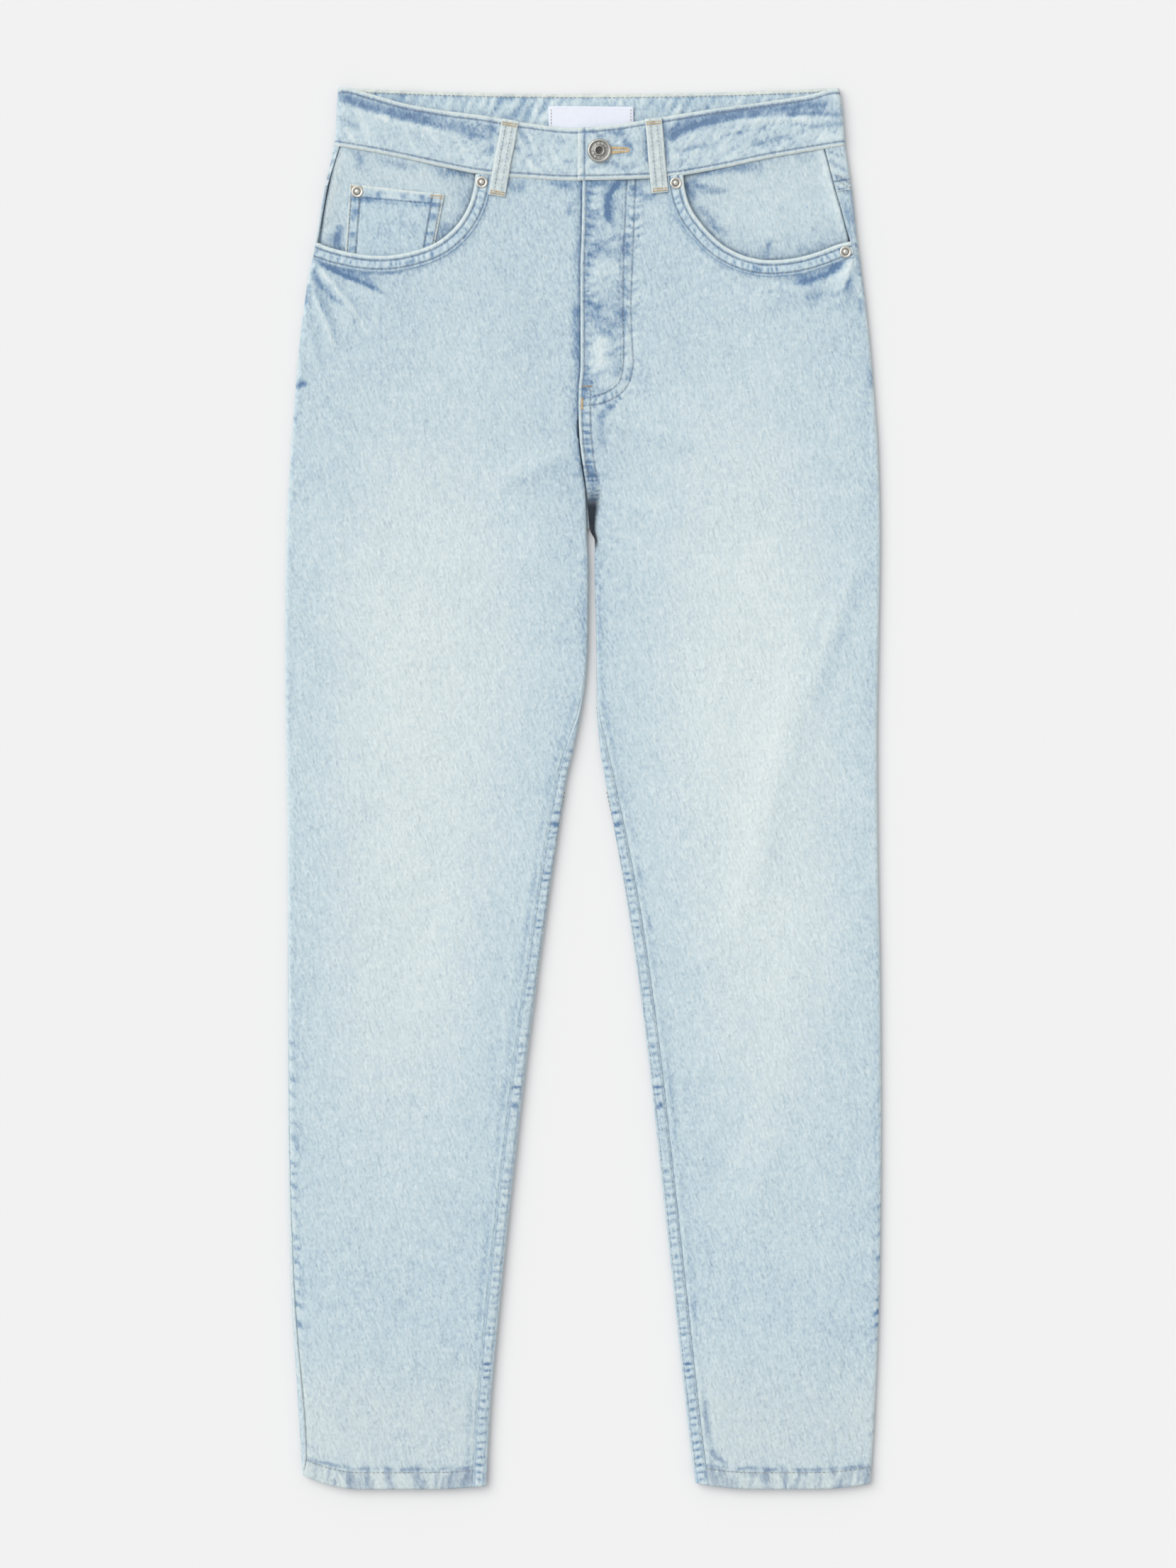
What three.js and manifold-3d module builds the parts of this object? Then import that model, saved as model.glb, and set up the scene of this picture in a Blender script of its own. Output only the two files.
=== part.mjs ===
// Mom jeans laid flat on their back with the front side up, in millimetres.
// +X runs towards the wearer's left leg, +Y towards the waist and +Z up off the surface they lie on.
// Every panel of denim is a thin wall. Each leg is a flattened tube: the back panel lies on the
// surface, curls up round both edges and, where the photo shows it, comes over onto the top side.
import * as THREE from "three";
import { mergeVertices } from "three/addons/utils/BufferGeometryUtils.js";
import Module from "manifold-3d";

const wasm = await Module();
wasm.setup();

// Cloth and seams
const denimWall = 1.3;
const bandWall = 2.0;
const backBandWall = 2.8; // two layers and their turnings, thick enough to hold the loops
const pocketWall = 1.0;
const labelWall = 1.0;
const loopWall = 1.2;
const seamGap = 0.3;
const layGap = 0.35;
const edgeRadius = 2.6; // half the height of a flattened leg
const bandRadius = 3.3; // half the height of the flattened waistband
const quarterTurn = (edgeRadius * Math.PI) / 2;

// Overall places
const backSeatX = 5.3; // centre back seam
const backCrotchY = 184; // the back panels part here into two legs
const backLegY = 177;
const yokeSideY = 426;
const yokeDip = 34;
const hemBottomY = -498.7;
const hemHeight = 12.6;
const hemRaise = 0.8; // the hem's turned-up layers
const bandTopY = 498.7;
const backBandDip = { top: 4.8, bottom: 3.5 };
const backBandSeamY = 457.3;

// Colours of the cloth and metal
const colours = {
  denim: 0xc7d9e0,
  denimDeep: 0xb3c8d6,
  trim: 0xc9d8da,
  label: 0xe4e6ec,
  metal: 0x8b8880,
  rivet: 0xc9c6b6,
  zip: 0xd6dbdb,
};

const clamp01 = (v) => Math.min(1, Math.max(0, v));
const lerp = (a, b, t) => a + (b - a) * t;
const smoothstep = (a, b, v) => {
  const t = clamp01((v - a) / (b - a));
  return t * t * (3 - 2 * t);
};

// A smooth curve through a table's column that never overshoots its rows (monotone cubic).
function curveOf(table, from, to) {
  const rows = [...table].sort((a, b) => a[from] - b[from]);
  const x = rows.map((r) => r[from]);
  const y = rows.map((r) => r[to]);
  const slope = x.slice(1).map((v, i) => (y[i + 1] - y[i]) / (v - x[i]));
  const tangent = x.map((_, i) => {
    const before = slope[Math.max(0, i - 1)];
    const after = slope[Math.min(slope.length - 1, i)];
    return before * after <= 0 ? 0 : (2 * before * after) / (before + after);
  });
  return (at) => {
    const v = Math.min(x[x.length - 1], Math.max(x[0], at));
    let i = 0;
    while (i < x.length - 2 && v > x[i + 1]) i += 1;
    const h = x[i + 1] - x[i];
    const t = (v - x[i]) / h;
    const rise = y[i + 1] - y[i];
    const ease = t * t * (3 - 2 * t);
    const bend = t * (1 - t) * (tangent[i] * (1 - t) - tangent[i + 1] * t) * h;
    return y[i] + rise * ease + bend;
  };
}

// Outer edges of the flat garment, a row for each section: y, wearer's right edge, wearer's left edge
const edgeTable = [
  { y: 457.3, right: -177.0, left: 186.6 },
  { y: 420, right: -185.0, left: 191.9 },
  { y: 387, right: -190.6, left: 195.4 },
  { y: 359, right: -196.2, left: 199.2 },
  { y: 319, right: -201.4, left: 203.8 },
  { y: 278, right: -205.2, left: 207.3 },
  { y: 238, right: -208.1, left: 210.0 },
  { y: 182, right: -211.0, left: 211.4 },
  { y: 107, right: -212.1, left: 210.4 },
  { y: 31, right: -211.3, left: 209.2 },
  { y: -45, right: -210.3, left: 209.8 },
  { y: -146, right: -209.9, left: 211.6 },
  { y: -247, right: -209.7, left: 212.1 },
  { y: -348, right: -207.8, left: 211.1 },
  { y: -449, right: -202.0, left: 207.3 },
  { y: -499, right: -199.2, left: 204.3 },
];

// Inner edges of the legs below the crotch
const inseamTable = [
  { y: 177, right: 2.9, left: 8.3 },
  { y: 157, right: 3.7, left: 8.3 },
  { y: 107, right: 3.3, left: 9.3 },
  { y: 82, right: 2.2, left: 9.5 },
  { y: 56, right: -1.3, left: 9.8 },
  { y: 31, right: -6.3, left: 11.8 },
  { y: 6, right: -11.9, left: 15.8 },
  { y: -45, right: -19.7, left: 25.0 },
  { y: -95, right: -27.0, left: 33.4 },
  { y: -146, right: -34.1, left: 40.7 },
  { y: -196, right: -40.7, left: 47.0 },
  { y: -247, right: -46.6, left: 52.5 },
  { y: -348, right: -57.5, left: 63.4 },
  { y: -449, right: -66.6, left: 74.2 },
  { y: -499, right: -69.0, left: 80.0 },
];

// The front panels' centre edges above the legs: level up to fold, then down by drop at end
const centreTable = {
  right: [
    { y: 440, fold: 5.0, end: 11.0, drop: 0 },
    { y: 300, fold: 5.0, end: 11.0, drop: 0 },
    { y: 285, fold: 3.0, end: 8.0, drop: 0 },
    { y: 272, fold: -1.0, end: 3.0, drop: 0 },
    { y: 262, fold: -6.0, end: -3.5, drop: 0 },
    { y: 250, fold: -5.2, end: -3.0, drop: 0.3 },
    { y: 240, fold: -4.4, end: -2.1, drop: 1.0 },
    { y: 230, fold: -3.2, end: -0.8, drop: 2.0 },
    { y: 218, fold: -1.6, end: 1.0, drop: 2.6 },
    { y: 208, fold: -0.5, end: 2.0, drop: 2.6 },
    { y: 195, fold: -0.1, end: 2.5, drop: 2.6 },
    { y: 177, fold: 0.3, end: 2.9, drop: 2.6 },
  ],
  left: [
    { y: 440, fold: 3.7, end: -0.3, drop: 0 },
    { y: 398, fold: 3.1, end: -0.9, drop: 0 },
    { y: 369, fold: 2.1, end: -1.9, drop: 0 },
    { y: 300, fold: 2.2, end: -1.8, drop: 0 },
    { y: 280, fold: 0.8, end: -3.2, drop: 0 },
    { y: 262, fold: 1.0, end: -3.1, drop: 0 },
    { y: 250, fold: 1.8, end: -2.55, drop: 0.3 },
    { y: 240, fold: 4.0, end: -1.6, drop: 0.8 },
    { y: 230, fold: 8.5, end: -0.2, drop: 1.3 },
    { y: 222, fold: 12.5, end: 1.0, drop: 2.0 },
    { y: 214, fold: 13.5, end: 2.2, drop: 2.6 },
    { y: 201, fold: 11.5, end: 3.2, drop: 2.9 },
    { y: 184, fold: 9.4, end: 4.8, drop: 2.6 },
    { y: 177, fold: 10.9, end: 8.3, drop: 2.6 },
  ],
};

// How far the back panel comes over onto the top side at each seam, measured in from the edge
const wrapTable = {
  rightOuter: [
    { y: 457, wrap: 4.0 },
    { y: 424, wrap: 1.3 },
    { y: 388, wrap: 0.3 },
    { y: 375, wrap: 0 },
    { y: -70, wrap: 0 },
    { y: -250, wrap: 1.0 },
    { y: -388, wrap: 2.6 },
    { y: -456, wrap: 4.2 },
    { y: -480, wrap: 3.4 },
    { y: -499, wrap: 0.6 },
  ],
  leftOuter: [
    { y: 457, wrap: 15.2 },
    { y: 424, wrap: 11.3 },
    { y: 389, wrap: 5.2 },
    { y: 365, wrap: 3.8 },
    { y: 344, wrap: 0.6 },
    { y: 330, wrap: 0 },
    { y: -499, wrap: 0 },
  ],
  rightInner: [
    { y: 90, wrap: 0 },
    { y: 56, wrap: 1.6 },
    { y: 31, wrap: 5.0 },
    { y: 6, wrap: 7.0 },
    { y: -95, wrap: 8.2 },
    { y: -499, wrap: 9.6 },
  ],
  leftInner: [
    { y: 80, wrap: 0 },
    { y: 56, wrap: 1.2 },
    { y: 31, wrap: 4.6 },
    { y: 6, wrap: 6.6 },
    { y: -95, wrap: 8.6 },
    { y: -499, wrap: 9.2 },
  ],
};

// The front waist seam and the front waistband's top edge, across the garment
const waistTable = [
  { x: -177, seam: 457.3, top: 497.4 },
  { x: -170, seam: 456.2, top: 498.2 },
  { x: -150, seam: 452.8, top: 493.2 },
  { x: -125, seam: 447.8, top: 486.3 },
  { x: -98, seam: 441.8, top: 481.6 },
  { x: -70, seam: 436.6, top: 478.0 },
  { x: -45, seam: 434.4, top: 473.6 },
  { x: -5, seam: 432.4, top: 469.4 },
  { x: 22, seam: 432.8, top: 471.4 },
  { x: 58, seam: 434.6, top: 477.4 },
  { x: 93, seam: 440.2, top: 483.0 },
  { x: 134, seam: 448.7, top: 488.6 },
  { x: 161, seam: 453.3, top: 492.8 },
  { x: 180, seam: 456.4, top: 497.6 },
  { x: 187, seam: 457.3, top: 497.4 },
];

// Where the hip pieces, fronts and waistband share their columns along the waist seam
const waistColumns = {
  right: [-162, -150, -138, -125, -111, -98, -87, -76.2, -60, -44, -28, -11],
  left: [162, 150, 138, 125, 111, 98, 85, 71, 58, 45, 32, 18],
};

// The flat waistband's own side edges
const bandEdgeTable = [
  { y: 457.3, right: -177.0, left: 186.6 },
  { y: 470, right: -175.7, left: 185.6 },
  { y: 485, right: -175.2, left: 184.2 },
  { y: 498.7, right: -174.2, left: 182.2 },
];

// Front pocket openings, from the side seam round to the waist seam
const pocketTable = {
  right: [
    { x: -190.4, y: 388.2 },
    { x: -182.4, y: 385.1 },
    { x: -173.0, y: 382.3 },
    { x: -159.3, y: 379.5 },
    { x: -145.8, y: 378.4 },
    { x: -132.3, y: 379.2 },
    { x: -117.4, y: 382.6 },
    { x: -105.3, y: 387.4 },
    { x: -95.7, y: 394.2 },
    { x: -87.6, y: 403.0 },
    { x: -81.6, y: 413.6 },
    { x: -78.2, y: 424.3 },
    { x: -76.2, y: 437.4 },
  ],
  left: [
    { x: 190.4, y: 388.6 },
    { x: 181.3, y: 386.4 },
    { x: 167.9, y: 381.4 },
    { x: 154.3, y: 377.4 },
    { x: 140.6, y: 375.5 },
    { x: 127.3, y: 375.5 },
    { x: 113.7, y: 378.6 },
    { x: 101.6, y: 384.6 },
    { x: 92.2, y: 392.2 },
    { x: 83.0, y: 402.7 },
    { x: 76.4, y: 413.0 },
    { x: 72.6, y: 424.5 },
    { x: 71.0, y: 437.2 },
  ],
};
const pocketLift = { height: 0.8, spread: 24, hem: 9.5, hemHeight: 0.7 };

// Creases that fan out from the pocket ends and the crotch: a soft ridge, or a trough where height
// is below zero, from (x0, y0) to (x1, y1)
const creaseTable = [
  { x0: -192, y0: 378, x1: -160, y1: 332, width: 5.0, height: 0.8 },
  { x0: -195, y0: 366, x1: -176, y1: 312, width: 4.5, height: 0.7 },
  { x0: -186, y0: 376, x1: -142, y1: 352, width: 6.0, height: -0.7 },
  { x0: -194, y0: 372, x1: -168, y1: 326, width: 4.5, height: -0.5 },
  { x0: -199, y0: 345, x1: -188, y1: 300, width: 6.0, height: 0.5 },
  { x0: 191, y0: 380, x1: 182, y1: 340, width: 5.5, height: 0.8 },
  { x0: 186, y0: 374, x1: 140, y1: 357, width: 6.0, height: -0.7 },
  { x0: 180, y0: 360, x1: 120, y1: 344, width: 7.0, height: 0.5 },
  { x0: 22, y0: 262, x1: 78, y1: 240, width: 8.0, height: 0.5 },
  { x0: -12, y0: 236, x1: -66, y1: 214, width: 9.0, height: 0.5 },
  { x0: 20, y0: 205, x1: 70, y1: 186, width: 9.0, height: 0.5 },
  { x0: -152, y0: 120, x1: -110, y1: 20, width: 22, height: 0.5 },
  { x0: 158, y0: 110, x1: 104, y1: -130, width: 15, height: 0.6 },
  { x0: -96, y0: -40, x1: -140, y1: -190, width: 20, height: -0.4 },
  { x0: 150, y0: -180, x1: 112, y1: -330, width: 20, height: 0.4 },
];

// Fly and waistband overlap
const fly = { lift: 1.6, flat: 13, fade: 42, bottomY: 262, gone: 205 };
const bandLap = { lift: 2.3, flat: 32, fade: 62, overEnd: -3.9, underEnd: 30 };
const pillowHeight = 0.8;
const inseamRidge = 0.5;

const edgeX = {
  right: curveOf(edgeTable, "y", "right"),
  left: curveOf(edgeTable, "y", "left"),
};
const inseamX = {
  right: curveOf(inseamTable, "y", "right"),
  left: curveOf(inseamTable, "y", "left"),
};
const bandEdgeX = {
  right: curveOf(bandEdgeTable, "y", "right"),
  left: curveOf(bandEdgeTable, "y", "left"),
};
const wrapOf = Object.fromEntries(
  Object.entries(wrapTable).map(([name, rows]) => [name, curveOf(rows, "y", "wrap")]),
);
const waistSeamY = curveOf(waistTable, "x", "seam");
const bandFrontTopY = curveOf(waistTable, "x", "top");
const pocketY = {
  right: curveOf(pocketTable.right, "x", "y"),
  left: curveOf(pocketTable.left, "x", "y"),
};
const centreOf = Object.fromEntries(
  Object.entries(centreTable).map(([name, rows]) => [
    name,
    {
      fold: curveOf(rows, "y", "fold"),
      end: curveOf(rows, "y", "end"),
      drop: curveOf(rows, "y", "drop"),
    },
  ]),
);
const inward = { right: 1, left: -1 }; // from a leg's outer edge towards the middle
const legLiftAtHem = {
  right: { outer: 10, inner: 2.5 },
  left: { outer: 4, inner: 4.5 },
};
const hemLiftSpan = 42;

// The hem's lower edge: level in the middle and curling up towards both sides of the leg
function hemY(side, x) {
  const outer = Math.abs(x - edgeX[side](hemBottomY));
  const inner = Math.abs(x - inseamX[side](hemBottomY));
  const lift = legLiftAtHem[side];
  const curl = (d) => (1 - clamp01(d / hemLiftSpan)) ** 2;
  return hemBottomY + lift.outer * curl(outer) + lift.inner * curl(inner);
}

// Distance from a point to a polyline of {x, y} rows
function distanceTo(points, x, y) {
  let best = Infinity;
  for (let i = 0; i < points.length - 1; i += 1) {
    const dx = points[i + 1].x - points[i].x;
    const dy = points[i + 1].y - points[i].y;
    const t = clamp01(((x - points[i].x) * dx + (y - points[i].y) * dy) / (dx * dx + dy * dy));
    best = Math.min(best, Math.hypot(x - points[i].x - t * dx, y - points[i].y - t * dy));
  }
  return best;
}

// Height that creases add: each a Gaussian across its line, tapering to both ends
function creaseHeight(x, y) {
  let sum = 0;
  for (const c of creaseTable) {
    const dx = c.x1 - c.x0;
    const dy = c.y1 - c.y0;
    const length2 = dx * dx + dy * dy;
    const along = ((x - c.x0) * dx + (y - c.y0) * dy) / length2;
    if (along < -0.2 || along > 1.2) continue;
    const t = clamp01(along);
    const off = Math.hypot(x - c.x0 - t * dx, y - c.y0 - t * dy);
    sum += c.height * Math.exp(-((off / c.width) ** 2)) * Math.sin(Math.PI * clamp01(0.1 + 0.9 * t)) ** 0.6;
  }
  return sum;
}

// Height of the top layer above the plain flattened tube
function topRelief(side, x, y) {
  const outer = edgeX[side](y);
  const inner = y > backCrotchY ? centreOf[side].fold(y) : inseamX[side](y);
  const u = clamp01((x - outer) / (inner - outer));
  const pillow = pillowHeight * (1 - (2 * u - 1) ** 4) * smoothstep(430, 330, y);
  const fromPocket = distanceTo(pocketTable[side], x, y) / pocketLift.spread;
  const pocket = pocketLift.height * Math.exp(-(fromPocket ** 2));
  const flyFade = smoothstep(fly.gone, fly.bottomY, y);
  const flyUp = side === "left" ? fly.lift * flyFade * (1 - smoothstep(fly.flat, fly.fade, x)) : 0;
  const flyQuiet = 1 - flyFade * (1 - smoothstep(20, 60, Math.abs(x)));
  return pillow * flyQuiet + pocket + flyUp + creaseHeight(x, y);
}

// Extra thickness on the outside of the top wall: the pocket's folded edge, the hem and the felled seam
function topRaise(side, x, y) {
  const pocketEdge = distanceTo(pocketTable[side], x, y) < pocketLift.hem ? pocketLift.hemHeight : 0;
  const hem = y < hemY(side, x) + hemHeight ? hemRaise : 0;
  return Math.max(pocketEdge, hem);
}

// Distance along the section from a leg's edge to a seam that lies wrap in from that edge
function arcTo(wrap) {
  const w = Math.max(0, wrap);
  return w < edgeRadius ? edgeRadius * Math.acos(1 - w / edgeRadius) : quarterTurn + w - edgeRadius;
}

// One section across a leg or hip, seen along Y. Distances start at the outer edge and run over the top.
function sectionAt(side, y) {
  const centre = centreOf[side];
  const legs = y < backLegY;
  const end = legs ? inseamX[side](y) : centre.end(y);
  const fold = legs ? end - inward[side] * edgeRadius : centre.fold(y);
  const drop = legs ? edgeRadius : centre.drop(y);
  const outer = edgeX[side](y);
  const flat = Math.abs(fold - outer) - edgeRadius;
  const innerTurn = legs ? quarterTurn : Math.hypot(end - fold, drop);
  return { side, y, outer, fold, end, drop, flat, innerTurn, total: quarterTurn + flat + innerTurn };
}

// A point and outward normal on the top of a section
function overTop(s, along) {
  const dir = inward[s.side];
  const p = Math.min(Math.max(along, 0), s.total);
  if (p < quarterTurn) {
    const a = p / edgeRadius;
    const x = s.outer + dir * edgeRadius * (1 - Math.cos(a));
    return lifted(s, x, edgeRadius * (1 + Math.sin(a)), -dir * Math.cos(a), Math.sin(a));
  }
  if (p <= quarterTurn + s.flat) {
    return lifted(s, s.outer + dir * (edgeRadius + p - quarterTurn), 2 * edgeRadius, 0, 1);
  }
  const a = (Math.PI / 2) * ((p - quarterTurn - s.flat) / s.innerTurn);
  const reach = Math.abs(s.end - s.fold);
  const x = s.fold + dir * reach * Math.sin(a);
  const z = 2 * edgeRadius - s.drop * (1 - Math.cos(a));
  const n = new THREE.Vector2(dir * s.drop * Math.sin(a), reach * Math.cos(a) + 1e-6).normalize();
  return lifted(s, x, z, n.x, n.y);
}

function lifted(s, x, z, nx, nz) {
  const share = clamp01((z - edgeRadius) / edgeRadius) ** 2;
  return { x, y: s.y, z: z + topRelief(s.side, x, s.y) * share, nx, nz };
}

// A point on the underside, and round the edges onto the top where the back panel wraps
function underneath(s, along) {
  const dir = inward[s.side];
  if (along < 0) return overTop(s, -along);
  const end = s.y > backCrotchY ? backSeatX - dir * (seamGap / 2) : s.fold;
  const flat = Math.abs(end - s.outer) - edgeRadius;
  const total = quarterTurn + flat + (s.y > backCrotchY ? 0 : quarterTurn);
  if (along > total) return overTop(s, s.total - (along - total));
  if (along < quarterTurn) {
    const a = along / edgeRadius;
    const x = s.outer + dir * edgeRadius * (1 - Math.cos(a));
    return { x, y: s.y, z: edgeRadius * (1 - Math.sin(a)), nx: -dir * Math.cos(a), nz: -Math.sin(a) };
  }
  if (along <= quarterTurn + flat) {
    return { x: s.outer + dir * (edgeRadius + along - quarterTurn), y: s.y, z: 0, nx: 0, nz: -1 };
  }
  const a = (along - quarterTurn - flat) / edgeRadius;
  const x = end + dir * edgeRadius * Math.sin(a);
  return { x, y: s.y, z: edgeRadius * (1 - Math.cos(a)), nx: dir * Math.sin(a), nz: -Math.cos(a) };
}

// A closed wall from two grids of points of the same size: outside faces first, then inside and rims
function wallFrom(outside, inside) {
  const rows = outside.length;
  const columns = outside[0].length;
  const positions = [...outside.flat(), ...inside.flat()].flatMap((p) => [p.x, p.y, p.z]);
  const at = (layer, r, c) => layer * rows * columns + r * columns + c;
  const faces = [];
  const quad = (a, b, c, d) => faces.push(a, b, c, a, c, d);
  for (let r = 0; r < rows - 1; r += 1) {
    for (let c = 0; c < columns - 1; c += 1) {
      quad(at(0, r, c), at(0, r, c + 1), at(0, r + 1, c + 1), at(0, r + 1, c));
      quad(at(1, r, c), at(1, r + 1, c), at(1, r + 1, c + 1), at(1, r, c + 1));
    }
  }
  for (let c = 0; c < columns - 1; c += 1) {
    quad(at(0, 0, c + 1), at(0, 0, c), at(1, 0, c), at(1, 0, c + 1));
    quad(at(0, rows - 1, c), at(0, rows - 1, c + 1), at(1, rows - 1, c + 1), at(1, rows - 1, c));
  }
  for (let r = 0; r < rows - 1; r += 1) {
    quad(at(0, r, 0), at(0, r + 1, 0), at(1, r + 1, 0), at(1, r, 0));
    quad(at(0, r + 1, columns - 1), at(0, r, columns - 1), at(1, r, columns - 1), at(1, r + 1, columns - 1));
  }
  const geometry = new THREE.BufferGeometry();
  geometry.setAttribute("position", new THREE.Float32BufferAttribute(positions, 3));
  geometry.setIndex(faces);
  if (volumeOf(geometry) < 0) {
    for (let i = 0; i < faces.length; i += 3) [faces[i + 1], faces[i + 2]] = [faces[i + 2], faces[i + 1]];
    geometry.setIndex(faces);
  }
  return geometry;
}

function volumeOf(geometry) {
  const p = geometry.getAttribute("position");
  const index = geometry.index.array;
  const [a, b, c] = [new THREE.Vector3(), new THREE.Vector3(), new THREE.Vector3()];
  let sum = 0;
  for (let i = 0; i < index.length; i += 3) {
    a.fromBufferAttribute(p, index[i]);
    b.fromBufferAttribute(p, index[i + 1]);
    c.fromBufferAttribute(p, index[i + 2]);
    sum += a.dot(b.cross(c)) / 6;
  }
  return sum;
}

// Solids that a boolean joins or cuts
function solidOf(geometry) {
  const bare = geometry.clone();
  bare.deleteAttribute("normal");
  bare.deleteAttribute("uv");
  const merged = mergeVertices(bare, 1e-4);
  return new wasm.Manifold(
    new wasm.Mesh({
      numProp: 3,
      vertProperties: merged.attributes.position.array,
      triVerts: new Uint32Array(merged.index.array),
    }),
  );
}

function geometryOf(solid) {
  const mesh = solid.getMesh();
  const geometry = new THREE.BufferGeometry();
  geometry.setAttribute("position", new THREE.BufferAttribute(new Float32Array(mesh.vertProperties), 3));
  geometry.setIndex(new THREE.BufferAttribute(new Uint32Array(mesh.triVerts), 1));
  return geometry;
}

function cutFrom(geometry, cutters) {
  return geometryOf(cutters.reduce((left, cutter) => left.subtract(solidOf(cutter)), solidOf(geometry)));
}

// An upright prism with this outline from z0 to z1
function prism(outline, z0, z1) {
  const shape = new THREE.Shape(outline.map((p) => new THREE.Vector2(p.x, p.y)));
  const geometry = new THREE.ExtrudeGeometry(shape, { depth: z1 - z0, bevelEnabled: false });
  return geometry.translate(0, 0, z0);
}

const frontRows = [
  435, 408, 381, 352, 326, 304, 285, 270, 258, 246, 236, 226, 214, 203, 193, 184, 177, 150, 115, 80, 66,
  52, 25, -20, -95, -180, -265, -350, -420, -462, -486, -487, -498.7,
];
const frontTop = frontRows[0];
const blendY = 285; // rows above this one follow the pocket opening and waist seam
const hemBlendY = -462;
const turnColumns = 3;
const shortTurn = 4;
const rimStrip = 0.8; // the narrow first column beside a back panel's seam
const underSteps = 4;
const ridgeTopY = 60; // the inseam stands up below here

// The front panel's stretch of a section: its two seams and the flat between its turned edges
function frontStretch(side, y) {
  const s = sectionAt(side, y);
  const start = arcTo(wrapOf[`${side}Outer`](Math.min(y, pocketTable[side][0].y))) + seamGap / 2;
  const end = s.total - (y < backLegY ? arcTo(wrapOf[`${side}Inner`](y)) : 0) - seamGap / 2;
  const flatStart = start + Math.max(quarterTurn - start, shortTurn);
  const flatEnd = end - Math.max(end - quarterTurn - s.flat, shortTurn);
  return { s, start, end, flatStart, flatEnd };
}

// Where the front panel's columns stand, as shares across its flat, and how high each one reaches
function frontColumns(side) {
  const opening = pocketTable[side];
  const across = (x, y) => {
    const { s, flatStart, flatEnd } = frontStretch(side, y);
    return (Math.abs(x - s.outer) - edgeRadius + quarterTurn - flatStart) / (flatEnd - flatStart);
  };
  const list = [{ share: 0, top: opening[0].y }];
  opening.slice(2, -1).forEach((p) => list.push({ share: across(p.x, p.y), top: p.y }));
  const corner = opening[opening.length - 1];
  const waist = waistColumns[side].filter((x) => Math.abs(x) <= Math.abs(corner.x));
  waist.forEach((x) => list.push({ share: across(x, frontTop), top: waistSeamY(x) - seamGap / 2 }));
  list.push({ share: 1, top: waistSeamY(sectionAt(side, frontTop).fold) - seamGap / 2 });
  return list;
}

// Height of a row in a column that reaches up to top
const frontRowY = (row, top) =>
  row > blendY ? blendY + ((top - blendY) * (row - blendY)) / (frontTop - blendY) : row;

function frontPanel(side) {
  const columns = frontColumns(side);
  const shares = columns.map((c) => c.share);
  const outside = [];
  const inside = [];
  for (const row of frontRows) {
    const outerLine = [];
    const innerLine = [];
    const count = shares.length + 2 * turnColumns;
    for (let c = 0; c < count; c += 1) {
      const flatIndex = Math.min(shares.length - 1, Math.max(0, c - turnColumns));
      const y = frontRowY(row, columns[flatIndex].top);
      const { s, start, end, flatStart, flatEnd } = frontStretch(side, y);
      const last = turnColumns + shares.length - 1;
      let along = lerp(flatStart, flatEnd, shares[flatIndex]);
      if (c < turnColumns) along = lerp(start, flatStart, c / turnColumns);
      if (c > last) along = lerp(flatEnd, end, (c - last) / turnColumns);
      const point = overTop(s, along);
      if (row < hemBlendY) {
        const bottom = hemY(side, point.x);
        point.y = hemBlendY + ((row - hemBlendY) * (bottom - hemBlendY)) / (hemBottomY - hemBlendY);
      }
      const raise = topRaise(side, point.x, point.y) * clamp01(point.nz);
      outerLine.push({ x: point.x + point.nx * raise, y: point.y, z: point.z + point.nz * raise });
      innerLine.push({ x: point.x - point.nx * denimWall, y: point.y, z: point.z - point.nz * denimWall });
    }
    outside.push(outerLine);
    inside.push(innerLine);
  }
  return wallFrom(outside, inside);
}

// The yoke seam falls in a V from the sides to the centre back
const yokeSeamY = (x) => {
  const half = (edgeX.left(yokeSideY) - edgeX.right(yokeSideY)) / 2;
  return yokeSideY - yokeDip * (1 - clamp01(Math.abs(x - backSeatX) / half));
};
const fromBandMiddle = (x) => {
  const [right, left] = [bandEdgeX.right(backBandSeamY), bandEdgeX.left(backBandSeamY)];
  return (2 * x - right - left) / (left - right);
};
const backBandBottomY = (x) => backBandSeamY - backBandDip.bottom * (1 - fromBandMiddle(x) ** 2);
const backBandTopY = (x) => bandTopY - backBandDip.top * (1 - clamp01(fromBandMiddle(x) ** 2));

// Patch pockets on the back, shown from below: centre, size and the tilt of each
const backPocket = {
  offset: 101,
  topY: 345,
  width: 134,
  side: 112,
  point: 138,
  narrowing: 8,
  tilt: 4,
  wall: 1.2,
  recess: 1.55,
};

function backPocketOutline(side, grow) {
  const half = backPocket.width / 2 + grow;
  const narrow = half - backPocket.narrowing;
  const dir = -inward[side];
  const tilt = THREE.MathUtils.degToRad(backPocket.tilt) * dir;
  const corners = [
    [-half, grow],
    [-narrow, -backPocket.side - grow],
    [0, -backPocket.point - grow],
    [narrow, -backPocket.side - grow],
    [half, grow],
  ];
  return corners.map(([x, y]) => ({
    x: backSeatX + dir * backPocket.offset + x * Math.cos(tilt) - y * Math.sin(tilt),
    y: backPocket.topY + x * Math.sin(tilt) + y * Math.cos(tilt),
  }));
}

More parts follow.
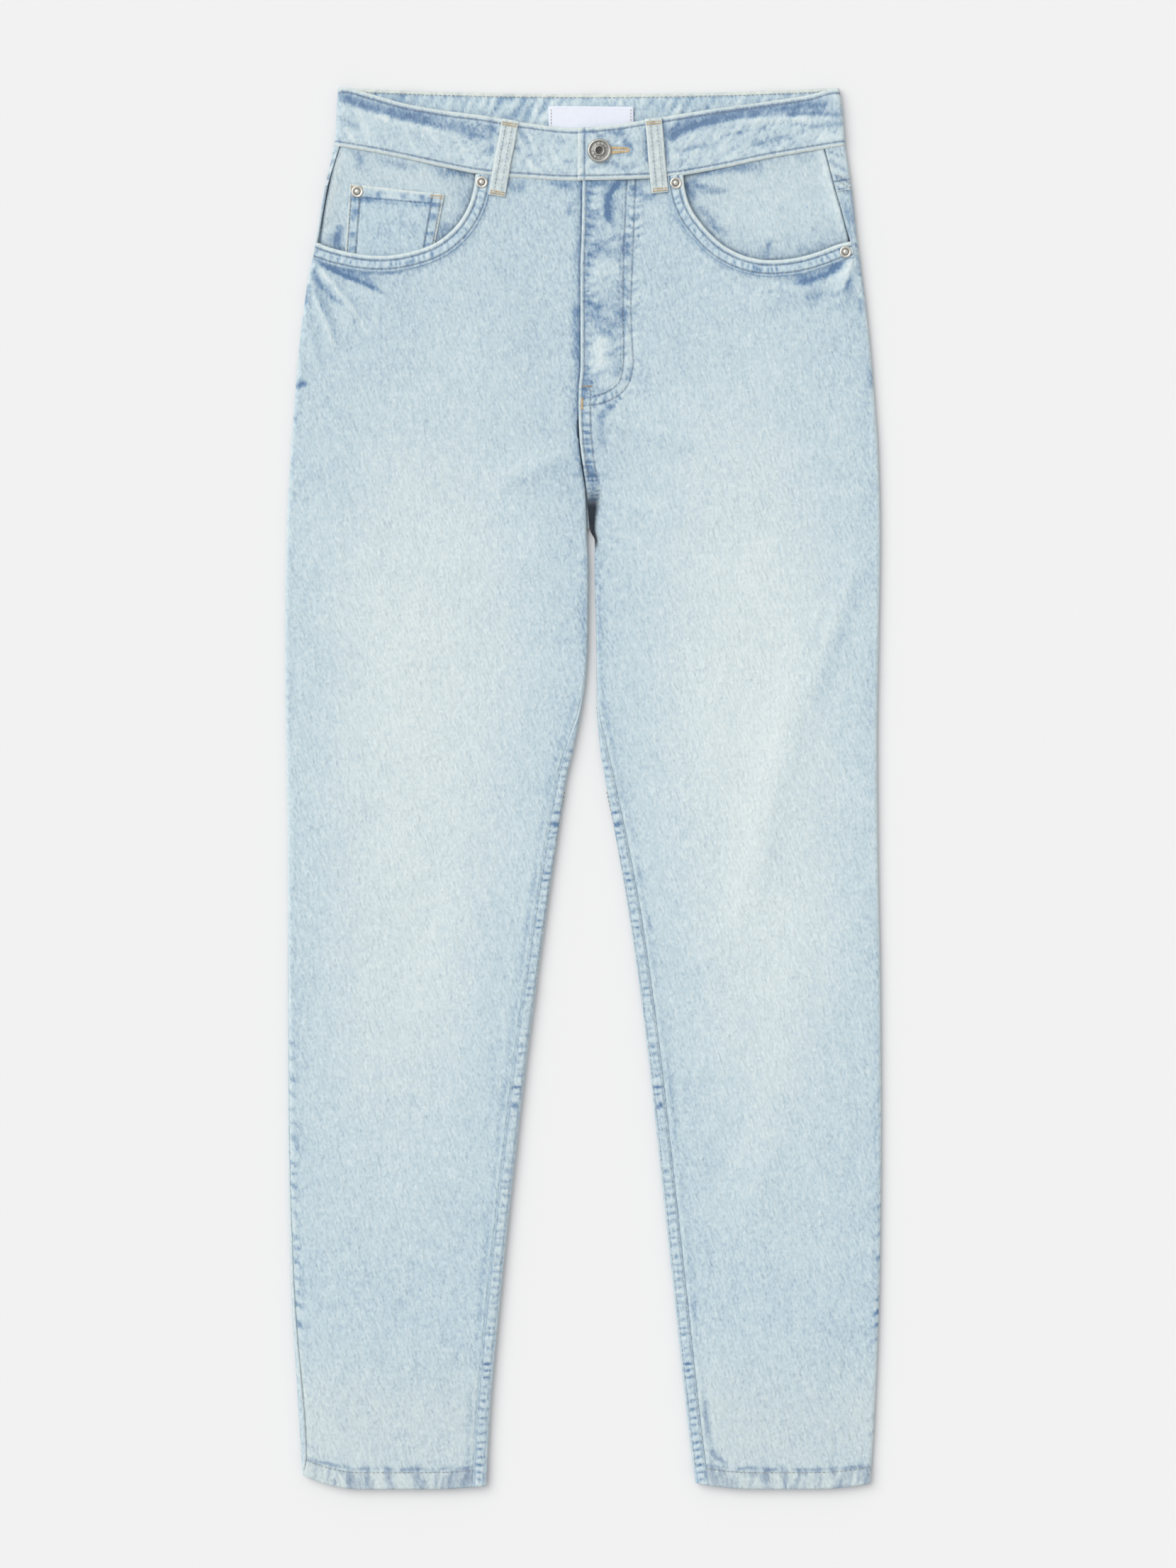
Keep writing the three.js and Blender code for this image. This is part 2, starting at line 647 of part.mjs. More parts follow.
// Belt loops: two on the front and three on the back, each a strip from (x0, y0) down to (x1, y1)
const loopWidth = 12;
const loopTable = [
  { name: "belt_loop_front_right", face: "front", x0: -51.8, y0: 474.9, x1: -61.4, y1: 420.9 },
  { name: "belt_loop_front_left", face: "front", x0: 49.7, y0: 475.9, x1: 54.8, y1: 423.1 },
  { name: "belt_loop_back_right", face: "back", x0: -124, y0: 495, x1: -126, y1: 447 },
  { name: "belt_loop_back_centre", face: "back", x0: 5.3, y0: 492.5, x1: 5.3, y1: 445 },
  { name: "belt_loop_back_left", face: "back", x0: 134, y0: 495, x1: 136, y1: 447 },
];

function loopOutline(loop, grow) {
  const along = new THREE.Vector2(loop.x1 - loop.x0, loop.y1 - loop.y0).normalize();
  const across = new THREE.Vector2(-along.y, along.x).multiplyScalar(loopWidth / 2 + grow);
  const point = (x, y, sign, ahead) => ({
    x: x + sign * across.x + ahead * grow * along.x,
    y: y + sign * across.y + ahead * grow * along.y,
  });
  return [
    point(loop.x0, loop.y0, 1, -1),
    point(loop.x1, loop.y1, 1, 1),
    point(loop.x1, loop.y1, -1, 1),
    point(loop.x0, loop.y0, -1, -1),
  ];
}
const backLoops = loopTable.filter((loop) => loop.face === "back");
const loopRecess = loopWall + layGap;

// Columns round the back of a leg: the seam and turn at the outer edge, the flat, then the turn and seam
// at the inner edge, or the centre back seam above the crotch
function backAcross(side, y, flats) {
  const s = sectionAt(side, y);
  const dir = inward[side];
  const start = seamGap / 2 - arcTo(wrapOf[`${side}Outer`](y));
  const split = y > backCrotchY;
  const end = split ? backSeatX - dir * (seamGap / 2) : s.fold;
  const flat = Math.abs(end - s.outer) - edgeRadius;
  const innerWrap = split ? 0 : arcTo(wrapOf[`${side}Inner`](y));
  const finish = split ? quarterTurn + flat : 2 * quarterTurn + flat + innerWrap - seamGap / 2;
  const startTop = start < -quarterTurn ? -quarterTurn : start + rimStrip;
  const endFlat = quarterTurn + flat - (split ? seatMargin : 0);
  const endTop = split ? lerp(endFlat, finish, 0.6) : Math.min(finish - rimStrip, 3 * quarterTurn + flat);
  const list = [start, startTop];
  for (let i = 1; i < underSteps; i += 1) list.push(lerp(startTop, quarterTurn, i / underSteps));
  flats(quarterTurn, endFlat, s).forEach((f) => list.push(f));
  for (let i = 1; i < underSteps; i += 1) list.push(lerp(endFlat, endTop, i / underSteps));
  list.push(endTop, finish);
  return list;
}

// A wall along the back of a leg. Its rows are heights, or shares of the way up between two seams.
function backWall(side, rows, rowY, flats, insideLift) {
  const outside = [];
  const inside = [];
  for (const row of rows) {
    const outerLine = [];
    const innerLine = [];
    const count = backAcross(side, 0, flats).length;
    for (let c = 0; c < count; c += 1) {
      let point = underneath(sectionAt(side, yokeSideY), 0);
      let y = rowY(row, edgeX[side](yokeSideY), 0);
      for (let pass = 0; pass < 6; pass += 1) {
        point = underneath(sectionAt(side, y), backAcross(side, y, flats)[c]);
        y = rowY(row, point.x, point.nz);
      }
      point.y = y;
      if (y < hemBlendY) {
        const bottom = hemY(side, point.x);
        point.y = hemBlendY + ((y - hemBlendY) * (bottom - hemBlendY)) / (hemBottomY - hemBlendY);
      }
      const onTop = clamp01(point.nz);
      const ridge = point.y < ridgeTopY ? inseamRidge * onTop : 0;
      const raise = Math.max(ridge, point.y < hemY(side, point.x) + hemHeight ? hemRaise * onTop : 0);
      const lift = point.nz < -0.99 ? insideLift(point.x, row) : 0;
      outerLine.push({ x: point.x + point.nx * raise, y: point.y, z: point.z + point.nz * raise });
      innerLine.push({
        x: point.x - point.nx * denimWall,
        y: point.y,
        z: point.z - point.nz * denimWall + lift,
      });
    }
    outside.push(outerLine);
    inside.push(innerLine);
  }
  return wallFrom(outside, inside);
}

const seatMargin = 6;
const pocketLiftSpan = { x: 22, low: 200, high: 360 }; // where the back is thick enough to hold its pocket
const panelFlats = (from, to) => [0, 0.1, 0.3, 0.5, 0.7, 0.885, 1].map((f) => lerp(from, to, f));

function backPanel(side) {
  const sideTop = pocketTable[side][0].y;
  const seamRows = [3, 2, 1].map((n) => sideTop + n);
  const edgeRows = frontRows.map((row) => frontRowY(row, sideTop));
  const rowY = (row, x) =>
    row > sideTop ? lerp(sideTop, yokeSeamY(x) - seamGap / 2, (row - sideTop) / seamRows.length) : row;
  const lift = (x, row) => {
    const across = Math.abs(x - backSeatX);
    const within = across > pocketLiftSpan.x && Math.abs(x - edgeX[side](row)) > edgeRadius + 1;
    return within && row > pocketLiftSpan.low && row < pocketLiftSpan.high ? backPocket.recess : 0;
  };
  const wall = backWall(side, [...seamRows, ...edgeRows], rowY, panelFlats, lift);
  return cutFrom(wall, [prism(backPocketOutline(side, layGap), -1, backPocket.recess)]);
}

// Back loops cross the yoke at these places, where it is thicker to hold them
const loopHold = { half: 8, fade: 21, fromRow: 0.7 };

function yoke(side) {
  const dir = inward[side];
  const mine = backLoops.filter((loop) => loop.name.includes(side) || loop.name.includes("centre"));
  const flats = (from, to, s) => {
    const along = (x) => quarterTurn + Math.abs(x - s.outer) - edgeRadius;
    const list = [from, lerp(from, to, 0.09)];
    const sideLoop = mine.find((loop) => loop.name.includes(side)).x1;
    [-loopHold.fade, -loopHold.half, loopHold.half, loopHold.fade].forEach((d) =>
      list.push(along(sideLoop + dir * d)),
    );
    list.push(lerp(along(sideLoop), to, 0.55), along(backSeatX - dir * loopHold.fade), to);
    return list;
  };
  const holds = (x) => mine.some((loop) => Math.abs(x - loop.x1) < loopHold.half + seamGap);
  const lift = (x, row) => (row > loopHold.fromRow && holds(x) ? loopRecess : 0);
  const rowY = (row, x, nz) => {
    const top = nz > 0 ? waistSeamY(x) : backBandBottomY(x);
    return lerp(yokeSeamY(x) + seamGap / 2, top - seamGap / 2, row);
  };
  return cutFrom(
    backWall(side, [1, 0.82, 0.6, 0.3, 0], rowY, flats, lift),
    mine.map((loop) => prism(loopOutline(loop, layGap), -1, loopRecess)),
  );
}

// Height of the outside of the front waistband at x
const bandTopZ = (x, over) =>
  2 * bandRadius + (over ? bandLap.lift * (1 - smoothstep(bandLap.flat, bandLap.fade, x)) : 0);

// Half of the front waistband, from the side fold to its end at the fly
function frontBand(side) {
  const dir = inward[side];
  const over = side === "left";
  const finish = over ? bandLap.overEnd : bandLap.underEnd;
  const rows = [0, 0.12, 0.5, 0.88, 1];
  const outside = [];
  const inside = [];
  for (const row of rows) {
    const outerLine = [];
    const innerLine = [];
    const edgeAt = bandEdgeX[side](lerp(backBandSeamY, bandTopY, row));
    const place = (x, z, nx, nz) => {
      const y = lerp(waistSeamY(x) + seamGap / 2, bandFrontTopY(x), row);
      outerLine.push({ x, y, z });
      innerLine.push({ x: x - nx * bandWall, y, z: z - nz * bandWall });
    };
    for (let i = 0; i <= turnColumns; i += 1) {
      const a = lerp(seamGap / 2 / bandRadius, Math.PI / 2, i / turnColumns);
      const x = edgeAt + dir * bandRadius * (1 - Math.cos(a));
      place(x, bandRadius * (1 + Math.sin(a)), -dir * Math.cos(a), Math.sin(a));
    }
    const ending = over ? [4, finish] : [3, finish];
    [...waistColumns[side], ...ending].forEach((x) => place(x, bandTopZ(x, over), 0, 1));
    outside.push(outerLine);
    inside.push(innerLine);
  }
  const wall = wallFrom(outside, inside);
  return over ? cutFrom(wall, [buttonholeCutter()]) : wall;
}

// The back half of the waistband lies on the surface and turns up at both side folds
function backBand() {
  const shares = [0, 0.12, 0.27, 0.42, 0.58, 0.73, 0.88, 1];
  const rows = [0, 0.1, 0.5, 0.93, 1];
  const outside = [];
  const inside = [];
  for (const row of rows) {
    const outerLine = [];
    const innerLine = [];
    const y0 = lerp(backBandSeamY, bandTopY, row);
    const ends = { right: bandEdgeX.right(y0), left: bandEdgeX.left(y0) };
    const place = (x, z, nx, nz, wall) => {
      const y = lerp(backBandBottomY(x) + seamGap / 2, backBandTopY(x), row);
      outerLine.push({ x, y, z });
      innerLine.push({ x: x - nx * wall, y, z: z - nz * wall });
    };
    const turn = (side, i) => {
      const a = lerp(seamGap / 2 / bandRadius, Math.PI / 2, i / turnColumns);
      const dir = inward[side];
      const x = ends[side] + dir * bandRadius * (1 - Math.cos(a));
      place(x, bandRadius * (1 - Math.sin(a)), -dir * Math.cos(a), -Math.sin(a), bandWall);
    };
    for (let i = 0; i <= turnColumns; i += 1) turn("right", i);
    const margin = bandRadius + 5;
    shares.forEach((f) => place(lerp(ends.right + margin, ends.left - margin, f), 0, 0, -1, backBandWall));
    for (let i = turnColumns; i >= 0; i -= 1) turn("left", i);
    outside.push(outerLine);
    inside.push(innerLine);
  }
  return cutFrom(
    wallFrom(outside, inside),
    backLoops.map((loop) => prism(loopOutline(loop, layGap), -1, loopRecess)),
  );
}

// The hip piece behind each front pocket: it lies lower than the front and rises to meet the waistband
const hipPiece = {
  wall: 1.2,
  top: 2.9,
  rise: 1.8,
  riseSpan: 30,
  sideSpan: 12,
  sideGap: 0.5,
  under: 8,
  past: 12,
};

// Where its outer edge meets the side seam
const hipSeamX = (side, y) => {
  const wrap = Math.max(wrapOf[`${side}Outer`](y), edgeRadius);
  return edgeX[side](y) + inward[side] * (wrap + hipPiece.sideGap);
};

function hipTopZ(side, x, y) {
  const corner = pocketTable[side][pocketTable[side].length - 1];
  const outside = Math.max(0, Math.abs(x) - Math.abs(corner.x));
  const waist = (1 - smoothstep(0, hipPiece.riseSpan, waistSeamY(x) - y)) * smoothstep(4, 26, outside);
  const fromSide = Math.abs(x - hipSeamX(side, y));
  const sideSeam = (1 - smoothstep(0, hipPiece.sideSpan, fromSide)) * smoothstep(394, 412, y);
  return hipPiece.top + hipPiece.rise * Math.max(waist, sideSeam);
}

function hipPanel(side) {
  const dir = inward[side];
  const rowShares = [0, 0.1, 0.25, 0.4, 0.6, 0.8, 1];
  const corner = pocketTable[side][pocketTable[side].length - 1];
  const finish = corner.x + dir * hipPiece.past;
  const waistY = (x) => waistSeamY(x) - seamGap / 2;
  const bottomY = (x) => pocketY[side](x - dir * hipPiece.past) - hipPiece.under;
  const topStart = hipSeamX(side, backBandSeamY - 1);
  const between = (x) => Math.abs(x) >= Math.abs(corner.x) && Math.abs(x) < Math.abs(topStart);
  const columns = [topStart, topStart + dir * 6, ...waistColumns[side].filter(between), finish];
  const shares = columns.map((x) => (x - topStart) / (finish - topStart));
  const outside = [];
  const inside = [];
  for (const v of rowShares) {
    const outerLine = [];
    const innerLine = [];
    for (const u of shares) {
      let x = lerp(topStart, finish, u);
      let y = waistY(x);
      for (let pass = 0; pass < 6; pass += 1) {
        y = lerp(waistY(x), bottomY(x), v);
        x = lerp(hipSeamX(side, y), finish, u);
      }
      const z = hipTopZ(side, x, y);
      outerLine.push({ x, y, z });
      innerLine.push({ x, y, z: z - hipPiece.wall });
    }
    outside.push(outerLine);
    inside.push(innerLine);
  }
  return wallFrom(outside, inside);
}

// The coin pocket sewn to the right hip piece, from its top edge down to a hidden lower edge
const coinPocket = {
  topOuter: { x: -166.1, y: 430.0 },
  topInner: { x: -98.5, y: 422.2 },
  bottomInner: { x: -106.8, y: 379.5 },
  bottomOuter: { x: -169.9, y: 374.0 },
  hem: 9,
  hemHeight: 0.3,
};

function coinPocketPanel() {
  const columnCount = 6;
  const downShares = [0, 0.14, 0.16, 0.4, 0.7, 1];
  const outside = [];
  const inside = [];
  for (const v of downShares) {
    const outerLine = [];
    const innerLine = [];
    for (let c = 0; c <= columnCount; c += 1) {
      const u = c / columnCount;
      const x = lerp(
        lerp(coinPocket.topOuter.x, coinPocket.topInner.x, u),
        lerp(coinPocket.bottomOuter.x, coinPocket.bottomInner.x, u),
        v,
      );
      const y = lerp(
        lerp(coinPocket.topOuter.y, coinPocket.topInner.y, u),
        lerp(coinPocket.bottomOuter.y, coinPocket.bottomInner.y, u),
        v,
      );
      const base = hipTopZ("right", x, y) + layGap;
      outerLine.push({ x, y, z: base + pocketWall + (v < 0.15 ? coinPocket.hemHeight : 0) });
      innerLine.push({ x, y, z: base });
    }
    outside.push(outerLine);
    inside.push(innerLine);
  }
  return wallFrom(outside, inside);
}

// Height of whatever the front belt loops lie on
function frontTopZ(x, y) {
  const side = x < 0 ? "right" : "left";
  if (y > waistSeamY(x) && y < bandFrontTopY(x)) return bandTopZ(x, side === "left");
  return 2 * edgeRadius + topRelief(side, x, y) + topRaise(side, x, y);
}

// A front loop rests on the waistband, stands a little off it midway and comes down onto the front
function frontLoop(loop) {
  const shares = [0, 0.07, 0.3, 0.55, 0.72, 0.8, 0.88, 1];
  const along = new THREE.Vector2(loop.x1 - loop.x0, loop.y1 - loop.y0).normalize();
  const across = new THREE.Vector2(-along.y, along.x).multiplyScalar(loopWidth / 2);
  const seamShare = (loop.y0 - waistSeamY(loop.x0)) / (loop.y0 - loop.y1);
  const outside = [];
  const inside = [];
  for (const v of shares) {
    const points = [-1, 0, 1].map((s) => {
      const x = lerp(loop.x0, loop.x1, v) + s * across.x;
      const y = lerp(loop.y0, loop.y1, v) + s * across.y;
      const high = bandTopZ(x, x > 0);
      const low = frontTopZ(x, lerp(loop.y0, loop.y1, Math.max(v, seamShare + 0.03)));
      const ground = lerp(high, low, smoothstep(seamShare + 0.05, 1, v));
      return { x, y, ridge: s ? 0 : 0.3, z: Math.max(ground, v > seamShare ? low : high) + layGap };
    });
    const bow = 0.5 * Math.sin(Math.PI * v);
    outside.push(points.map((p) => ({ x: p.x, y: p.y, z: p.z + bow + loopWall + p.ridge })));
    inside.push(points.map((p) => ({ x: p.x, y: p.y, z: p.z + bow })));
  }
  return wallFrom(outside, inside);
}

// Button through the overlapping waistband end, and the slot that its post stands in
const button = { x: 11.6, y: 452.7, radius: 8.5, post: 1.5 };
const buttonhole = { eye: 2.0, slit: 0.6, endX: 29, endY: 453.2 };

function buttonholeCutter() {
  const outline = [];
  const steps = 10;
  const mouth = Math.asin(buttonhole.slit / buttonhole.eye);
  for (let i = 0; i <= steps; i += 1) {
    const a = lerp(mouth, 2 * Math.PI - mouth, i / steps);
    outline.push({ x: button.x + buttonhole.eye * Math.cos(a), y: button.y + buttonhole.eye * Math.sin(a) });
  }
  outline.push({ x: buttonhole.endX, y: buttonhole.endY - buttonhole.slit });
  outline.push({ x: buttonhole.endX, y: buttonhole.endY + buttonhole.slit });
  return prism(outline, 0, 2 * bandRadius + bandLap.lift + 5);
}

function buttonSolid() {
  const foot = 2 * bandRadius + layGap;
  const seat = 2 * bandRadius + bandLap.lift + layGap;
  const profile = [
    [0, foot],
    [button.post, foot],
    [button.post, seat],
    [button.radius - 0.8, seat + 0.1],
    [button.radius, seat + 0.8],
    [button.radius - 0.2, seat + 1.6],
    [button.radius - 1.2, seat + 2.0],
    [button.radius - 1.9, seat + 1.6],
    [button.radius - 4.6, seat + 1.7],
    [button.radius - 5.0, seat + 2.3],
    [button.radius - 5.6, seat + 2.5],
    [0, seat + 2.6],
  ].map(([r, z]) => new THREE.Vector2(r, z));
  return new THREE.LatheGeometry(profile, 24).rotateX(Math.PI / 2).translate(button.x, button.y, 0);
}

const rivet = { radius: 4.2, height: 1.4 };
const rivetTable = [
  { name: "rivet_right_waist", x: -72.0, y: 430.6, on: "front" },
  { name: "rivet_left_waist", x: 66.0, y: 430.0, on: "front" },
  { name: "rivet_left_side", x: 186.6, y: 381.0, on: "front" },
  { name: "rivet_coin_pocket", x: -160.6, y: 424.2, on: "coin" },
];

function rivetSolid(r) {
  const coinTop = hipTopZ("right", r.x, r.y) + layGap + pocketWall + coinPocket.hemHeight;
  const ground = r.on === "coin" ? coinTop : frontTopZ(r.x, r.y) + 0.2;
  const base = ground + layGap;
  const profile = [
    [0, base],
    [rivet.radius, base],
    [rivet.radius, base + 0.4],
    [rivet.radius - 0.7, base + 0.7],
    [2.1, base + 0.55],
    [1.7, base + 1.1],
    [0.9, base + rivet.height],
    [0, base + rivet.height],
  ].map(([radius, z]) => new THREE.Vector2(radius, z));
  return new THREE.LatheGeometry(profile, 14).rotateX(Math.PI / 2).translate(r.x, r.y, 0);
}

// Zip behind the fly: a closed chain on its tape, hidden between the fronts and the back
const zip = { x: 4, width: 22, top: 424, bottom: 288, base: 1.9, tape: 1.0, chain: 5, chainHeight: 0.6 };

function zipSolid() {
  const middle = (zip.top + zip.bottom) / 2;
  const long = zip.top - zip.bottom;
  const tape = new THREE.BoxGeometry(zip.width, long, zip.tape).translate(zip.x, middle, zip.base + zip.tape / 2);
  const chainTall = zip.tape + zip.chainHeight;
  const chain = new THREE.BoxGeometry(zip.chain, long - 8, chainTall).translate(
    zip.x,
    middle,
    zip.base + chainTall / 2,
  );
  return geometryOf(solidOf(tape).add(solidOf(chain)));
}

// Plain woven label inside the back of the waistband
const label = { x0: -24.7, x1: 36.0, y0: 461, y1: 485.4, tilt: -0.6 };

function labelSolid() {
  const base = backBandWall + layGap;
  const outline = [
    { x: label.x0, y: label.y0 },
    { x: label.x1, y: label.y0 + label.tilt },
    { x: label.x1, y: label.y1 + label.tilt },
    { x: label.x0, y: label.y1 },
  ];
  return prism(outline, base, base + labelWall);
}

const jeans = new THREE.Group();

function add(name, geometry, color, roughness = 0.9, metalness = 0) {
  const mesh = new THREE.Mesh(geometry, new THREE.MeshStandardMaterial({ color, roughness, metalness }));
  mesh.name = name;
  jeans.add(mesh);
}

for (const side of ["right", "left"]) {
  add(`front_${side}`, frontPanel(side), colours.denim);
  add(`back_${side}`, backPanel(side), colours.denim);
  add(`yoke_${side}`, yoke(side), colours.denim);
  add(`hip_piece_${side}`, hipPanel(side), colours.denimDeep);
  add(`waistband_front_${side}`, frontBand(side), colours.denim);
  add(`back_pocket_${side}`, prism(backPocketOutline(side, 0), 0, backPocket.wall), colours.denim);
}
add("waistband_back", backBand(), colours.denimDeep);
add("coin_pocket", coinPocketPanel(), colours.denimDeep);
for (const loop of loopTable) {
  const solid = loop.face === "front" ? frontLoop(loop) : prism(loopOutline(loop, 0), 0, loopWall);
  add(loop.name, solid, colours.trim);
}
for (const r of rivetTable) add(r.name, rivetSolid(r), colours.rivet, 0.4, 0.9);
add("button", buttonSolid(), colours.metal, 0.4, 0.9);
add("fly_zip", zipSolid(), colours.zip, 0.6, 0.2);
add("waist_label", labelSolid(), colours.label, 0.7);

export default jeans;
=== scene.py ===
import bpy
import numpy as np
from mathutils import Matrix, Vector


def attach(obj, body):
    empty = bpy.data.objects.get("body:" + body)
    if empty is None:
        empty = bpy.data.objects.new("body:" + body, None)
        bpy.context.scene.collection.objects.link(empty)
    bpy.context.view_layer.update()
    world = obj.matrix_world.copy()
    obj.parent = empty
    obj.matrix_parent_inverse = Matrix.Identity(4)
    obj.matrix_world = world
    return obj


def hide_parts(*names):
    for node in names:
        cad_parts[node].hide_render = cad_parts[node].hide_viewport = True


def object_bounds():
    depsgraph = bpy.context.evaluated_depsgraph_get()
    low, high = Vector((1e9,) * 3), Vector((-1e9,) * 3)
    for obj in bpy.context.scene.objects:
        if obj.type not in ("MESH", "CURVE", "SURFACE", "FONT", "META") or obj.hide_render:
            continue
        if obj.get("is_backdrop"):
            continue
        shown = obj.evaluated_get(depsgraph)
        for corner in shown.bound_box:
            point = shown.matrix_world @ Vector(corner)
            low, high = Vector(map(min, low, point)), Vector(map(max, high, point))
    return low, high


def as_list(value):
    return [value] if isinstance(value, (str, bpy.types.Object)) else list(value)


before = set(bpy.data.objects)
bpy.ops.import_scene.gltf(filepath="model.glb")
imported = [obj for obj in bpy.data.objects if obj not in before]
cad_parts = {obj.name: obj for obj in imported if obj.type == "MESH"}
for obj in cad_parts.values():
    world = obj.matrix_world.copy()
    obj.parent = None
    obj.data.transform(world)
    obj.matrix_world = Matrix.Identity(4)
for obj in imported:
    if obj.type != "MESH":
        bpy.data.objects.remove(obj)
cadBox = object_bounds()
print("stage: frame loaded, laying out the jeans")

mm = 0.001  # tables and formulas are in millimetres, and makePiece turns them into metres

# Thickness of the cloth, radius of the turned edges and the main heights
cut = {
    "wall": 1.3,
    "bandWall": 2.0,
    "backBandWall": 2.8,
    "edgeRadius": 2.6,
    "bandRadius": 3.3,
    "layGap": 0.35,
    "seatX": 5.3,
    "crotchY": 184.0,
    "legY": 177.0,
    "hemY": -498.7,
    "hemHeight": 12.6,
    "hemRaise": 0.8,
    "hemBlend": -462.0,  # leg rows are level above this height
    "bandTopY": 498.7,
    "backBandSeamY": 457.3,
}
edgeRadius = cut["edgeRadius"]
quarterTurn = edgeRadius * np.pi / 2
sides = ("right", "left")  # the wearer's own
inward = {"right": 1.0, "left": -1.0}  # from a leg's outer edge towards the middle
# How far the stitched rows lie from their edge or seam, for their grooves, drawn stitches and sewn thread
rowAt = {
    "hem": 11.9, "fell": (1.3, 7.4), "pocket": (3.6, 9.6), "belowFly": 8.5,
    "flyEdge": (2.7, 2.4),  # above and below the fly's lower tack
    "bandTop": 3.7, "bandSeam": 3.2, "bandEnd": 5.0, "backBandTop": 3.4, "backBandSeam": 2.8, "loop": 2.4,
    "yoke": (1.6, 7.6), "seat": (1.8, 7.8), "coinHem": 8.6, "coinSide": (1.6, 8.0), "patchHem": 14.0,
    "patchSide": (2.0, 8.0),
}

# y, wearer's right edge, wearer's left edge of the flat garment
edgeRows = [
    (457.3, -177.0, 186.6), (420, -185.0, 191.9), (387, -190.6, 195.4), (359, -196.2, 199.2),
    (319, -201.4, 203.8), (278, -205.2, 207.3), (238, -208.1, 210.0), (182, -211.0, 211.4),
    (107, -212.1, 210.4), (31, -211.3, 209.2), (-45, -210.3, 209.8), (-146, -209.9, 211.6),
    (-247, -209.7, 212.1), (-348, -207.8, 211.1), (-449, -202.0, 207.3), (-499, -199.2, 204.3),
]
# y, inner edge of the right leg, inner edge of the left leg
legRows = [
    (177, 2.9, 8.3), (157, 3.7, 8.3), (107, 3.3, 9.3), (82, 2.2, 9.5), (56, -1.3, 9.8),
    (31, -6.3, 11.8), (6, -11.9, 15.8), (-45, -19.7, 25.0), (-95, -27.0, 33.4), (-146, -34.1, 40.7),
    (-196, -40.7, 47.0), (-247, -46.6, 52.5), (-348, -57.5, 63.4), (-449, -66.6, 74.2), (-499, -69.0, 80.0),
]
# y, fold, end, drop: the fronts' centre edges run level to fold, then sink by drop at end
centreRows = {
    "right": [
        (440, 5.0, 11.0, 0), (300, 5.0, 11.0, 0), (285, 3.0, 8.0, 0), (272, -1.0, 3.0, 0),
        (262, -6.0, -3.5, 0), (250, -5.2, -3.0, 0.3), (240, -4.4, -2.1, 1.0), (230, -3.2, -0.8, 2.0),
        (218, -1.6, 1.0, 2.6), (208, -0.5, 2.0, 2.6), (195, -0.1, 2.5, 2.6), (177, 0.3, 2.9, 2.6),
    ],
    "left": [
        (440, 3.7, -0.3, 0), (398, 3.1, -0.9, 0), (369, 2.1, -1.9, 0), (300, 2.2, -1.8, 0),
        (280, 0.8, -3.2, 0), (262, 1.0, -3.1, 0), (250, 1.8, -2.55, 0.3), (240, 4.0, -1.6, 0.8),
        (230, 8.5, -0.2, 1.3), (222, 12.5, 1.0, 2.0), (214, 13.5, 2.2, 2.6), (201, 11.5, 3.2, 2.9),
        (184, 9.4, 4.8, 2.6), (177, 10.9, 8.3, 2.6),
    ],
}
# y, how far the back comes over onto the top side at each seam
wrapRows = {
    "rightOuter": [(457, 4.0), (424, 1.3), (388, 0.3), (375, 0), (-70, 0), (-250, 1.0), (-388, 2.6),
                   (-456, 4.2), (-480, 3.4), (-499, 0.6)],
    "leftOuter": [(457, 15.2), (424, 11.3), (389, 5.2), (365, 3.8), (344, 0.6), (330, 0), (-499, 0)],
    "rightInner": [(90, 0), (56, 1.6), (31, 5.0), (6, 7.0), (-95, 8.2), (-499, 9.6)],
    "leftInner": [(80, 0), (56, 1.2), (31, 4.6), (6, 6.6), (-95, 8.6), (-499, 9.2)],
}
# x, height of the front waist seam, height of the front waistband's top edge
waistRows = [
    (-177, 457.3, 497.4), (-170, 456.2, 498.2), (-150, 452.8, 493.2), (-125, 447.8, 486.3),
    (-98, 441.8, 481.6), (-70, 436.6, 478.0), (-45, 434.4, 473.6), (-5, 432.4, 469.4), (22, 432.8, 471.4),
    (58, 434.6, 477.4), (93, 440.2, 483.0), (134, 448.7, 488.6), (161, 453.3, 492.8), (180, 456.4, 497.6),
    (187, 457.3, 497.4),
]
# y, right and left side fold of the waistband
bandEdgeRows = [(457.3, -177.0, 186.6), (470, -175.7, 185.6), (485, -175.2, 184.2), (498.7, -174.2, 182.2)]
# The front pocket openings, from the side seam round to the waist seam
pocketRows = {
    "right": [(-190.4, 388.2), (-182.4, 385.1), (-173.0, 382.3), (-159.3, 379.5), (-145.8, 378.4),
              (-132.3, 379.2), (-117.4, 382.6), (-105.3, 387.4), (-95.7, 394.2), (-87.6, 403.0),
              (-81.6, 413.6), (-78.2, 424.3), (-76.2, 437.4)],
    "left": [(190.4, 388.6), (181.3, 386.4), (167.9, 381.4), (154.3, 377.4), (140.6, 375.5),
             (127.3, 375.5), (113.7, 378.6), (101.6, 384.6), (92.2, 392.2), (83.0, 402.7), (76.4, 413.0),
             (72.6, 424.5), (71.0, 437.2)],
}
